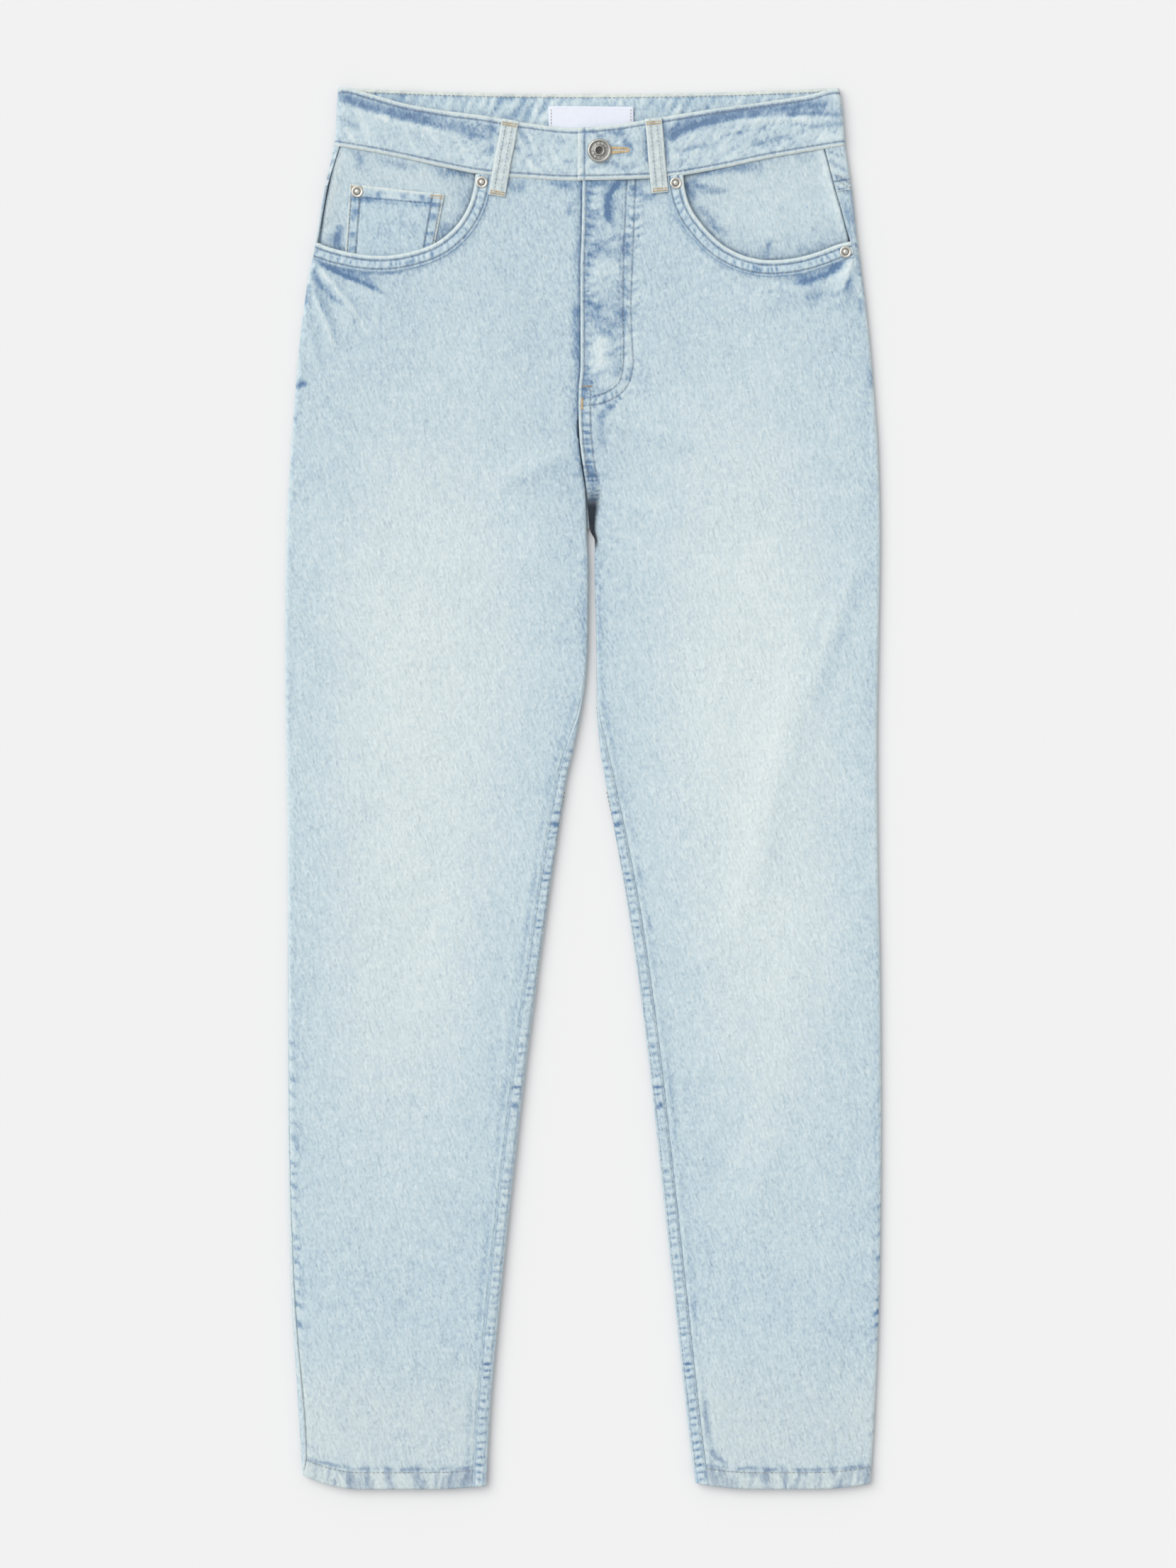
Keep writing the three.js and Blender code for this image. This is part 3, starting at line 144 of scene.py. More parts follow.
# x0, y0, x1, y1, width, height of the creases that the solids have too
creaseRows = [
    (-192, 378, -160, 332, 5.0, 0.8), (-195, 366, -176, 312, 4.5, 0.7), (-186, 376, -142, 352, 6.0, -0.7),
    (-194, 372, -168, 326, 4.5, -0.5), (-199, 345, -188, 300, 6.0, 0.5), (191, 380, 182, 340, 5.5, 0.8),
    (186, 374, 140, 357, 6.0, -0.7), (180, 360, 120, 344, 7.0, 0.5), (22, 262, 78, 240, 8.0, 0.5),
    (-12, 236, -66, 214, 9.0, 0.5), (20, 205, 70, 186, 9.0, 0.5), (-152, 120, -110, 20, 22, 0.5),
    (158, 110, 104, -130, 15, 0.6), (-96, -40, -140, -190, 20, -0.4), (150, -180, 112, -330, 20, 0.4),
]
hemCurl = {"right": (10.0, 2.5), "left": (4.0, 4.5), "span": 42.0}  # lift at the outer and the inner corner


# 3t^2 - 2t^3 with t running from 0 at low to 1 at high
def smoothStep(low, high, value):
    t = np.clip((value - low) / (high - low), 0, 1)
    return t * t * (3 - 2 * t)


# a + (b - a) t
def blend(a, b, t):
    return a + (b - a) * t


# exp(-(distance / width)^2)
def bell(distance, width):
    return np.exp(-((distance / width) ** 2))


# Monotone cubic through a table: y = y0 + rise (3t^2 - 2t^3) + t (1 - t) (m0 (1 - t) - m1 t) h
def curveThrough(rows, source=0, target=1):
    table = np.array(sorted(rows, key=lambda r: r[source]), float)
    xs, ys = table[:, source], table[:, target]
    slope = np.diff(ys) / np.diff(xs)
    before, after = np.r_[slope[:1], slope], np.r_[slope, slope[-1:]]
    same = before * after > 0
    tangent = np.where(same, 2 * before * after / np.where(same, before + after, 1), 0)

    def at(value):
        v = np.clip(value, xs[0], xs[-1])
        i = np.clip(np.searchsorted(xs, v) - 1, 0, len(xs) - 2)
        h = xs[i + 1] - xs[i]
        t = (v - xs[i]) / h
        bend = t * (1 - t) * (tangent[i] * (1 - t) - tangent[i + 1] * t) * h
        return ys[i] + (ys[i + 1] - ys[i]) * t * t * (3 - 2 * t) + bend

    return at


# Lattice noise from -1 to 1: seeded corner values blended by 6t^5 - 15t^4 + 10t^3
def softNoise(x, y, size, seed):
    lattice = np.random.RandomState(seed).uniform(-1, 1, (128, 128))
    gx, gy = np.broadcast_arrays(np.asarray(x) / size, np.asarray(y) / size)
    ix, iy = np.floor(gx).astype(int), np.floor(gy).astype(int)
    fx, fy = gx - ix, gy - iy
    fx, fy = fx ** 3 * (fx * (fx * 6 - 15) + 10), fy ** 3 * (fy * (fy * 6 - 15) + 10)
    corner = lambda dx, dy: lattice[(ix + dx) % 128, (iy + dy) % 128]
    return blend(blend(corner(0, 0), corner(1, 0), fx), blend(corner(0, 1), corner(1, 1), fx), fy)


# Three octaves of softNoise, each half the size and half the strength of the one before
def layeredNoise(x, y, size, seed):
    return sum(softNoise(x, y, size / 2 ** k, seed + k) / 2 ** k for k in range(3)) / 1.75


# Catmull-Rom curve through points, resampled at equal spacing
def smoothPath(points, spacing):
    p = np.asarray(points, float)
    padded = np.vstack([2 * p[0] - p[1], p, 2 * p[-1] - p[-2]])
    t = np.linspace(0, 1, 16, endpoint=False)[:, None, None]
    a, b, c, d = padded[:-3], padded[1:-2], padded[2:-1], padded[3:]
    curve = 0.5 * (2 * b + (c - a) * t + (2 * a - 5 * b + 4 * c - d) * t ** 2 + (3 * b - a - 3 * c + d) * t ** 3)
    curve = np.vstack([curve.transpose(1, 0, 2).reshape(-1, p.shape[1]), p[-1:]])
    return evenPath(curve, spacing)


# Distance travelled at each point: the running sum of the steps
def pathLength(path):
    return np.r_[0, np.cumsum(np.linalg.norm(np.diff(path, axis=0), axis=1))]


# The same path with points at equal spacing, between its own by straight lines
def evenPath(path, spacing):
    length = pathLength(path)
    at = np.linspace(0, length[-1], max(2, int(round(length[-1] / spacing)) + 1))
    return np.column_stack([np.interp(at, length, path[:, k]) for k in range(path.shape[1])])


# Unit vectors to the left of a path's direction
def pathNormals(path):
    step = np.gradient(path[:, :2], axis=0)
    step /= np.linalg.norm(step, axis=1)[:, None]
    return np.column_stack([-step[:, 1], step[:, 0]])


# For each point: distance to the path, distance travelled along it, and +1 or -1 for its left or right
def nearPath(path, x, y):
    path = np.asarray(path, float)
    start, step = path[:-1, :2], np.diff(path[:, :2], axis=0)
    length = np.maximum(np.hypot(step[:, 0], step[:, 1]), 1e-9)
    travelled = np.r_[0, np.cumsum(length)[:-1]]
    dx, dy = np.ravel(x)[:, None] - start[:, 0], np.ravel(y)[:, None] - start[:, 1]
    t = np.clip((dx * step[:, 0] + dy * step[:, 1]) / length ** 2, 0, 1)
    offX, offY = dx - t * step[:, 0], dy - t * step[:, 1]
    away = np.hypot(offX, offY)
    best = np.argmin(away, axis=1)
    pick = (np.arange(len(best)), best)
    side = np.sign(step[best, 0] * offY[pick] - step[best, 1] * offX[pick])
    shape = np.shape(x)
    return away[pick].reshape(shape), (travelled[best] + (t * length)[pick]).reshape(shape), side.reshape(shape)


# A mark along a path: a ragged bell across it that fades in and out towards its ends
def streak(x, y, points, width, fadeIn=0.15, fadeOut=0.35, rag=0.35, seed=3):
    path = smoothPath(points, 4.0)
    reach = 3 * width
    near = (x > path[:, 0].min() - reach) & (x < path[:, 0].max() + reach)
    near &= (y > path[:, 1].min() - reach) & (y < path[:, 1].max() + reach)
    result = np.zeros(np.shape(x))
    if near.any():
        away, along, _ = nearPath(path, x[near], y[near])
        t = along / pathLength(path)[-1]
        away = away * (1 + rag * layeredNoise(x[near], y[near], 2.2 * width, seed))
        result[near] = bell(away, width) * smoothStep(-1e-6, fadeIn, t) * smoothStep(1.000001, 1 - fadeOut, t)
    return result


# The marks of a table of rows (path, width, ...), each with the rest of its row
def streaks(x, y, table, seed=None, **fading):
    for points, width, *rest in table:
        yield streak(x, y, points, width, seed=seed or int(width * 10), **fading), *rest


# Seam pucker from -1 to 1: sin(2 pi (s / period + drift)), leaning with the distance from the seam
def pucker(along, away, period, reach, seed, lean=0.5):
    drift = 0.5 * softNoise(along, 0 * along, period * 1.6, seed) + lean * away / period
    strength = 0.7 + 0.45 * softNoise(along, away, period * 2.3, seed + 1)
    return np.sin(2 * np.pi * (along / period + drift)) * strength * bell(away, reach)


# Short slanting cracks where the folded band rubbed: noise stretched along a slant
def crackle(x, y, slant, size, seed):
    p, q = x * np.cos(slant) + y * np.sin(slant), -x * np.sin(slant) + y * np.cos(slant)
    return layeredNoise(p / 3.2, q, size, seed)


# Distance to the nearest of several stitched rows; its sign changes only where it crosses a row
def nearestRow(*distances):
    d = np.stack(np.broadcast_arrays(*distances))
    away = np.abs(d).min(0)
    return {"row": away * np.where(d < 0, -1, 1).prod(0), "rowShare": smoothStep(3.2, 1.6, away)}


# Distances to the rows that lie rowAt from the edge or seam that distance is measured from
def rowsFrom(key, distance):
    return [distance - d for d in np.atleast_1d(rowAt[key])]


# How far a cut edge rolls down: (1 - smoothStep)^2 over reach
def edgeRoll(rim, reach):
    return (1 - smoothStep(0, reach, rim)) ** 2


sideEdge = {"right": curveThrough(edgeRows, 0, 1), "left": curveThrough(edgeRows, 0, 2)}
legEdge = {"right": curveThrough(legRows, 0, 1), "left": curveThrough(legRows, 0, 2)}
bandEdge = {"right": curveThrough(bandEdgeRows, 0, 1), "left": curveThrough(bandEdgeRows, 0, 2)}
centreCurve = {s: {n: curveThrough(centreRows[s], 0, k + 1) for k, n in enumerate(("fold", "end", "drop"))}
               for s in sides}
wrapCurve = {name: curveThrough(rows) for name, rows in wrapRows.items()}
waistSeam, bandTop = curveThrough(waistRows, 0, 1), curveThrough(waistRows, 0, 2)
openingPath = {s: smoothPath(pocketRows[s], 1.6) for s in sides}


# Height of the hem's lower edge: level, curling up as (1 - d / span)^2 towards both edges of the leg
def hemLine(side, x):
    outer = np.abs(x - sideEdge[side](cut["hemY"]))
    inner = np.abs(x - legEdge[side](cut["hemY"]))
    curl = lambda d: (1 - np.clip(d / hemCurl["span"], 0, 1)) ** 2
    return cut["hemY"] + hemCurl[side][0] * curl(outer) + hemCurl[side][1] * curl(inner)


# 1 on the turned-up hem and 0 above it, where up is the height over hemLine
def hemShare(up):
    return smoothStep(cut["hemHeight"] + 0.35, cut["hemHeight"] - 0.35, up)


# Leg rows stretched near the bottom so that they end on hemLine: low + (y - low) (hem - low) / (flat hem - low)
def downToHem(side, x, y):
    low = cut["hemBlend"]
    return np.where(y < low, low + (y - low) * (hemLine(side, x) - low) / (cut["hemY"] - low), y)


# Each crease is a Gaussian across its line, tapering by sin^0.6 to both ends
def creaseHeight(x, y):
    total = np.zeros(np.shape(x))
    for x0, y0, x1, y1, width, height in creaseRows:
        dx, dy = x1 - x0, y1 - y0
        t = np.clip(((x - x0) * dx + (y - y0) * dy) / (dx * dx + dy * dy), 0, 1)
        off = np.hypot(x - x0 - t * dx, y - y0 - t * dy)
        total += height * bell(off, width) * np.sin(np.pi * np.clip(0.1 + 0.9 * t, 0, 1)) ** 0.6
    return total


form = {"pillow": 0.8, "pocket": 0.8, "pocketSpread": 24.0, "flyLift": 1.6, "flyFlat": 13, "flyFade": 42,
        "flyBottom": 262, "flyGone": 205, "sag": 0.22}


# Height above the plain flattened tube: a pillow 1 - (2u - 1)^4 across the leg, a swell along the pocket
# opening, the fly's extra layers, the creases, and the slack of cloth laid down by hand
def topRelief(side, x, y):
    outer = sideEdge[side](y)
    inner = np.where(y > cut["crotchY"], centreCurve[side]["fold"](y), legEdge[side](y))
    u = np.clip((x - outer) / (inner - outer), 0, 1)
    flyFade = smoothStep(form["flyGone"], form["flyBottom"], y)
    quiet = 1 - flyFade * (1 - smoothStep(20, 60, np.abs(x)))
    pillow = form["pillow"] * (1 - (2 * u - 1) ** 4) * smoothStep(430, 330, y) * quiet
    pocket = form["pocket"] * bell(nearPath(openingPath[side][::4], x, y)[0], form["pocketSpread"])
    lift = form["flyLift"] * flyFade * (1 - smoothStep(form["flyFlat"], form["flyFade"], x)) * (side == "left")
    slack = form["sag"] * layeredNoise(x, y * 0.7, 62, 11) * smoothStep(0, 0.12, u) * smoothStep(1, 0.88, u)
    return pillow + pocket + lift + creaseHeight(x, y) + slack


# Distance along a section from a leg's edge to a seam that lies wrap in from it
def arcTo(wrap):
    w = np.maximum(wrap, 0)
    return np.where(w < edgeRadius, edgeRadius * np.arccos(np.clip(1 - w / edgeRadius, -1, 1)),
                    quarterTurn + w - edgeRadius)


# A leg's or hip's level cross-section at y: its outer edge, fold and end in x, and lengths along its top
def sectionAt(side, y):
    legs = y < cut["legY"]
    end = np.where(legs, legEdge[side](y), centreCurve[side]["end"](y))
    fold = np.where(legs, end - inward[side] * edgeRadius, centreCurve[side]["fold"](y))
    drop = np.where(legs, edgeRadius, centreCurve[side]["drop"](y))
    outer = sideEdge[side](y)
    flat = np.abs(fold - outer) - edgeRadius
    innerTurn = np.where(legs, quarterTurn, np.hypot(end - fold, drop))
    return {"side": side, "y": y, "outer": outer, "fold": fold, "end": end, "drop": drop, "flat": flat,
            "innerTurn": innerTurn, "total": quarterTurn + flat + innerTurn}


# A point over the top of a section: a quarter circle up, a level run, then an ellipse quarter down
def overTop(s, along):
    way = inward[s["side"]]
    p = np.clip(along, 0, s["total"])
    a = p / edgeRadius
    b = np.pi / 2 * np.clip((p - quarterTurn - s["flat"]) / s["innerTurn"], 0, 1)
    rising, level = p < quarterTurn, p <= quarterTurn + s["flat"]
    reach = np.abs(s["end"] - s["fold"])
    pick = lambda up, run, down: np.where(rising, up, np.where(level, run, down))
    x = pick(s["outer"] + way * edgeRadius * (1 - np.cos(a)), s["outer"] + way * (edgeRadius + p - quarterTurn),
             s["fold"] + way * reach * np.sin(b))
    z = pick(edgeRadius * (1 + np.sin(a)), 2 * edgeRadius, 2 * edgeRadius - s["drop"] * (1 - np.cos(b)))
    nx = pick(-way * np.cos(a), 0, way * s["drop"] * np.sin(b))
    nz = pick(np.sin(a), 1, reach * np.cos(b) + 1e-6)
    size = np.hypot(nx, nz)
    share = np.clip((z - edgeRadius) / edgeRadius, 0, 1) ** 2
    return x, z + topRelief(s["side"], x, s["y"]) * share, nx / size, nz / size


# Underneath: the same quarter circles turned over with a level run at z = 0, going on over the top past them
def underneath(s, along):
    y, way = s["y"], inward[s["side"]]
    split = y > cut["crotchY"]
    end = np.where(split, cut["seatX"], s["fold"])
    flat = np.abs(end - s["outer"]) - edgeRadius
    total = quarterTurn + flat + np.where(split, 0, quarterTurn)
    a, b = along / edgeRadius, (along - quarterTurn - flat) / edgeRadius
    first, level = along < quarterTurn, along <= quarterTurn + flat
    pick = lambda up, run, down: np.where(first, up, np.where(level, run, down))
    x = pick(s["outer"] + way * edgeRadius * (1 - np.cos(a)),
             s["outer"] + way * (edgeRadius + along - quarterTurn), end + way * edgeRadius * np.sin(b))
    z = pick(edgeRadius * (1 - np.sin(a)), 0, edgeRadius * (1 - np.cos(b)))
    nx, nz = pick(-way * np.cos(a), 0, way * np.sin(b)), pick(-np.sin(a), -1, -np.cos(b))
    over = (along < 0) | (along > total)
    top = overTop(s, np.where(along < 0, -along, s["total"] - (along - total)))
    return tuple(np.where(over, t, u) for t, u in zip(top, (x, z, nx, nz)))


# Heights with their own spacing in each span, from high to low
def rowsOf(spans):
    parts = [np.linspace(a, b, max(2, int(round(abs(a - b) / gap)) + 1))[:-1] for a, b, gap in spans]
    return np.r_[np.concatenate(parts), spans[-1][1]]


# Adds midpoints in the widest gaps until the count fits blocks of four
def fitToFour(table, extra=0):
    table = np.asarray(table, float)
    flat = table.ndim == 1
    table = table[:, None] if flat else table
    while (len(table) + extra - 1) % 4:
        gap = int(np.argmax(np.abs(np.diff(table[:, 0]))))
        table = np.insert(table, gap + 1, (table[gap] + table[gap + 1]) / 2, axis=0)
    return table[:, 0] if flat else table


# Four-sided faces between neighbouring rows and columns
def gridQuads(index):
    return np.stack([index[:-1, :-1], index[:-1, 1:], index[1:, 1:], index[1:, :-1]], -1).reshape(-1, 4)


# A closed wall of cloth: a fine outer grid, an inner grid of every fourth point (or of all, with step 1)
# set back along the normals, and a rim of fans between the two
def clothWall(outer, inner, step=4):
    rows, columns = outer.shape[:2]
    front = np.arange(rows * columns).reshape(rows, columns)
    inner = inner[::step, ::step]
    back = rows * columns + np.arange(inner.shape[0] * inner.shape[1]).reshape(inner.shape[:2])
    around = lambda g: np.concatenate([g[0, ::-1], g[1:, 0], g[-1, 1:], g[-2:0:-1, -1]])
    fine, coarse = around(front), around(back)
    here, after = coarse, np.roll(coarse, -1)
    strip = [np.stack([here, fine[(np.arange(len(coarse)) * step + step // 2) % len(fine)], after], -1)]
    for k in range(step):
        f0 = fine[(np.arange(len(coarse)) * step + k) % len(fine)]
        f1 = fine[(np.arange(len(coarse)) * step + k + 1) % len(fine)]
        strip.append(np.stack([f0, f1, here if k < step // 2 else after], -1))
    points = np.vstack([outer.reshape(-1, 3), inner.reshape(-1, 3)])
    return points, [gridQuads(front), gridQuads(back.T), np.vstack(strip)]


# Signed volume: the sum of a . (b x c) / 6 over the faces' triangles
def volumeOf(points, faces):
    total = 0.0
    for f in faces:
        a, b, c = points[f[:, 0]], points[f[:, 1]], points[f[:, 2]]
        total += np.einsum("ij,ij->", a, np.cross(b, c)) / 6
        if f.shape[1] == 4:
            d = points[f[:, 3]]
            total += np.einsum("ij,ij->", a, np.cross(c, d)) / 6
    return total


# Makes the mesh in metres, turned so that its faces look out, with its attributes and cloth material
def makePiece(name, points, faces, material, slot, replaced=(), marks=None, smooth=True):
    if volumeOf(points, faces) < 0:
        faces = [f[:, ::-1] for f in faces]
    mesh = bpy.data.meshes.new(name)
    mesh.vertices.add(len(points))
    mesh.vertices.foreach_set("co", np.ascontiguousarray(points * mm, np.float32).ravel())
    sizes = np.concatenate([np.full(len(f), f.shape[1]) for f in faces])
    mesh.loops.add(int(sizes.sum()))
    mesh.loops.foreach_set("vertex_index", np.concatenate([f.ravel() for f in faces]).astype(np.int32))
    mesh.polygons.add(len(sizes))
    mesh.polygons.foreach_set("loop_start", np.r_[0, np.cumsum(sizes)[:-1]].astype(np.int32))
    mesh.update(calc_edges=True)
    mesh.polygons.foreach_set("use_smooth", np.full(len(sizes), smooth))
    for label, values in (marks or {}).items():
        filled = np.zeros(len(points), np.float32)
        filled[: len(values)] = values
        filled[len(values):] = np.mean(values)
        mesh.attributes.new(label, "FLOAT", "POINT").data.foreach_set("value", filled)
    mesh.materials.append(material)
    piece = bpy.data.objects.new(name, mesh)
    bpy.context.collection.objects.link(piece)
    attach(piece, "root")
    if replaced:
        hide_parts(*replaced)
    triangles = sum(len(f) * (f.shape[1] - 2) for f in faces)
    surface = sum(p.area for p in mesh.polygons)
    print(f"  {name}: {triangles} triangles, half its surface {surface * 5000:.1f} cm2")
    return piece


# Points as one array
def stack3(x, y, z):
    return np.stack(np.broadcast_arrays(x, y, z), -1)


# Points moved by a distance along their normals, which are level in y
def offset(x, y, z, nx, nz, by, lift=0.0):
    return stack3(x + nx * by, y, z + nz * by + lift)


# A piece made of one cloth wall; marks are given on the outer grid
def wallPiece(name, outer, inner, marks, material, slot, replaced=(), step=4):
    points, faces = clothWall(outer, inner, step)
    full = {k: np.r_[np.ravel(v), np.ravel(v[::step, ::step])] for k, v in marks.items()}
    return makePiece(name, points, faces, material, slot, replaced, full)


# A 0 to 255 screen colour as the linear values that sockets take
def srgb(r, g, b):
    c = np.array([r, g, b]) / 255
    return tuple(np.where(c <= 0.04045, c / 12.92, ((c + 0.055) / 1.055) ** 2.4)) + (1.0,)


# Sets each input to its value, or links it where the value is a socket
def setInputs(made, values):
    for key, value in values.items():
        if isinstance(value, bpy.types.NodeSocket):
            made.id_data.links.new(value, made.inputs[key])
        else:
            made.inputs[key].default_value = value


# A shader node with its settings and inputs
def node(tree, kind, values=None, **settings):
    made = tree.nodes.new(kind)
    for key, value in settings.items():
        setattr(made, key, value)
    setInputs(made, values or {})
    return made


# One step of arithmetic between two sockets, or a socket and a number
def maths(operation, a, b):
    return node(a.id_data, "ShaderNodeMath", {0: a, 1: b}, operation=operation).outputs[0]


# a times b plus c
def scaled(a, b, c, clamp=False):
    made = node(a.id_data, "ShaderNodeMath", {0: a, 1: b, 2: c}, operation="MULTIPLY_ADD", use_clamp=clamp)
    return made.outputs[0]


# low + (high - low) factor for two colours
def mixColours(factor, low, high):
    return node(factor.id_data, "ShaderNodeMix", {0: factor, 6: low, 7: high}, data_type="RGBA").outputs[2]


# Noise from 0 to 1 at a place
def noiseAt(tree, place, scale, detail, roughness=0.5):
    texture = node(tree, "ShaderNodeTexNoise",
                   {"Vector": place, "Scale": scale, "Detail": detail, "Roughness": roughness})
    return texture.outputs["Fac"]


# Bleached denim. Tone runs from kept indigo at 0 to bare cream cotton at 1, and is broken up by cloudy
# wear, slubs that lean a little and a fine salt-and-pepper grain.
denimWear = {
    "ramp": [(0.0, (86, 121, 161)), (0.2, (119, 150, 182)), (0.4, (157, 181, 201)), (0.6, (190, 210, 220)),
             (0.8, (211, 226, 231)), (1.0, (226, 236, 238))],
    "cream": (224, 223, 208),
    # painted shade: the dark colour mixed in where deep hollows and the sides of folds get little light
    "hollow": (21, 30, 40),  # deep hollows and the shade beside a fold
    # scale, how much narrower than long, lean in radians, detail
    "noise": {"grain": (520.0, 0.72, 0.0, 3.0), "slub": (600.0, 0.3, 0.3, 2.0), "cloud": (165.0, 0.7, 0.0, 4.0),
              "wrinkle": (380.0, 0.42, 0.7, 3.0)},
    "relief": {"grain": 0.6, "slub": 0.7, "wrinkle": 1.5, "twill": 0.1, "groove": -0.35},
}


# The cloth's colour, bump height and roughness from its marks, shared by every denim
def denimGroup():
    tree = bpy.data.node_groups.new("bleached_denim", "ShaderNodeTree")
    inputs = {"Tone": 0.6, "Warmth": 0.0, "Row": 9.0, "Row Share": 0.0, "Hollow": 0.0, "Grain": 0.3, "Slub": 0.2,
              "Cloud": 0.15}
    for label, value in inputs.items():
        tree.interface.new_socket(label, in_out="INPUT", socket_type="NodeSocketFloat").default_value = value
    for label, kind in (("Colour", "Color"), ("Height", "Float"), ("Roughness", "Float")):
        tree.interface.new_socket(label, in_out="OUTPUT", socket_type="NodeSocket" + kind)
    given = tree.nodes.new("NodeGroupInput").outputs
    place = node(tree, "ShaderNodeTexCoord").outputs["Object"]
    part = {}
    for label, (scale, stretch, lean, detail) in denimWear["noise"].items():
        spread = node(tree, "ShaderNodeMapping", vector_type="TEXTURE",
                      values={"Vector": place, "Scale": (1, 1 / stretch, 1), "Rotation": (0, 0, lean)})
        part[label] = maths("SUBTRACT", noiseAt(tree, spread.outputs[0], scale, detail, 0.62), 0.5)
    tilt = node(tree, "ShaderNodeMapping", {"Vector": place, "Rotation": (0, 0, 1.02)})
    part["twill"] = node(tree, "ShaderNodeTexWave", {"Vector": tilt.outputs[0], "Scale": 420.0, "Distortion": 1.2,
                                                     "Detail": 1.0, "Detail Scale": 2.0}).outputs["Fac"]
    # indigo kept in the groove of every stitched row: exp(-2 distance^2)
    squared = maths("MULTIPLY", given["Row"], given["Row"])
    groove = maths("MULTIPLY", maths("EXPONENT", maths("MULTIPLY", squared, -2.0), 0.0), given["Row Share"])
    part["groove"] = groove
    tone = scaled(groove, -0.4, given["Tone"])
    # the wash breaks the blue up more than the bare cotton: 1 + 1.1 (0.66 - tone)
    uneven = maths("ADD", maths("MAXIMUM", scaled(tone, -1.1, 1.1 * 0.66), 0.0), 1.0)
    for label in ("Grain", "Slub", "Cloud"):
        tone = scaled(maths("MULTIPLY", part[label.lower()], given[label]), uneven, tone)
    ramp = node(tree, "ShaderNodeValToRGB", {"Fac": tone})
    for k, (position, colour) in enumerate(denimWear["ramp"]):
        stop = ramp.color_ramp.elements[k] if k < 2 else ramp.color_ramp.elements.new(position)
        stop.position, stop.color = position, srgb(*colour)
    colour = mixColours(given["Warmth"], ramp.outputs["Color"], srgb(*denimWear["cream"]))
    # painted shade: the painted-shade mark mixes the colour towards the dark shade colour
    colour = mixColours(given["Hollow"], colour, srgb(*denimWear["hollow"]))
    height = 0.0
    for label, weight in denimWear["relief"].items():
        height = scaled(part[label], weight, height)
    rough = scaled(part["grain"], 0.25, 0.88, clamp=True)
    setInputs(tree.nodes.new("NodeGroupOutput"), {"Colour": colour, "Height": height, "Roughness": rough})
    return tree


# A new material with its tree and its main shader
def newMaterial(name):
    material = bpy.data.materials.new(name)
    material.use_nodes = True
    return material, material.node_tree, material.node_tree.nodes["Principled BSDF"]


# Sets or links the shader's inputs, with a bump from height
def dress(shader, height, strength, distance, values):
    relief = node(shader.id_data, "ShaderNodeBump", {"Strength": strength, "Distance": distance, "Height": height})
    setInputs(shader, {**values, "Normal": relief.outputs["Normal"]})


# A denim: grain, slub and cloud are how much each breaks the tone up, bump is the relief of the weave
def denimMaterial(name, group, grain, slub, cloud, bump=0.6, sheen=0.12):
    material, tree, shader = newMaterial(name)
    marks = {"Tone": "tone", "Warmth": "warmth", "Row": "row", "Row Share": "rowShare", "Hollow": "hollow"}
    marks = {socket: node(tree, "ShaderNodeAttribute", attribute_name=label).outputs["Fac"]
             for socket, label in marks.items()}
    cloth = node(tree, "ShaderNodeGroup", node_tree=group)
    setInputs(cloth, {"Grain": grain, "Slub": slub, "Cloud": cloud, **marks})
    dress(shader, cloth.outputs["Height"], bump, 0.0012,
          {"Base Color": cloth.outputs["Colour"], "Roughness": cloth.outputs["Roughness"],
           "Specular IOR Level": 0.25, "Sheen Weight": sheen, "Sheen Roughness": 0.6})
    return material


# The piece's own mark plus noise about its middle
def markedNoise(tree, label, scale, detail, roughness, amount):
    place = node(tree, "ShaderNodeTexCoord").outputs["Object"]
    mark = node(tree, "ShaderNodeAttribute", attribute_name=label).outputs["Fac"]
    noise = noiseAt(tree, place, scale, detail, roughness)
    return noise, scaled(maths("SUBTRACT", noise, 0.5), amount, mark, clamp=True)


# Sewing thread: a twisted ply, each stitch a little lighter or browner by its own mark
def threadMaterial(name, light, dark):
    material, tree, shader = newMaterial(name)
    ply, factor = markedNoise(tree, "shade", 1900.0, 1.0, 0.5, 0.5)
    dress(shader, ply, 0.4, 0.0002, {"Base Color": mixColours(factor, srgb(*dark), srgb(*light)), "Roughness": 0.7})
    return material


# Worn metal: brighter where rubbed, darker in the recesses that the mark shows
def metalMaterial(name, bright, dull, roughness):
    material, tree, shader = newMaterial(name)
    scuff, factor = markedNoise(tree, "recess", 900.0, 4.0, 0.7, 0.7)
    dress(shader, scuff, 0.25, 0.0002,
          {"Base Color": mixColours(factor, srgb(*bright), srgb(*dull)), "Metallic": 1.0,
           "Roughness": scaled(scuff, 0.35, roughness - 0.17, clamp=True)})
    return material


# Plain woven ribbon for the waist label and the zip's tape: fine upright and level ribs
def ribbonMaterial(name, light, dark, ribs, sheen):
    material, tree, shader = newMaterial(name)
    place = node(tree, "ShaderNodeTexCoord").outputs["Object"]
    warp, weft = (node(tree, "ShaderNodeTexWave", {"Vector": place, "Scale": scale, "Distortion": 0.4},
                       bands_direction=way).outputs["Fac"] for way, scale in (("X", ribs), ("Y", ribs * 0.8)))
    ribbing = maths("MULTIPLY", warp, weft)
    factor = scaled(ribbing, 0.5, maths("MULTIPLY", noiseAt(tree, place, 260.0, 3.0), 0.6), clamp=True)
    dress(shader, ribbing, 0.2, 0.0002, {"Base Color": mixColours(factor, srgb(*dark), srgb(*light)),
                                         "Roughness": 0.55, "Sheen Weight": sheen})
    return material


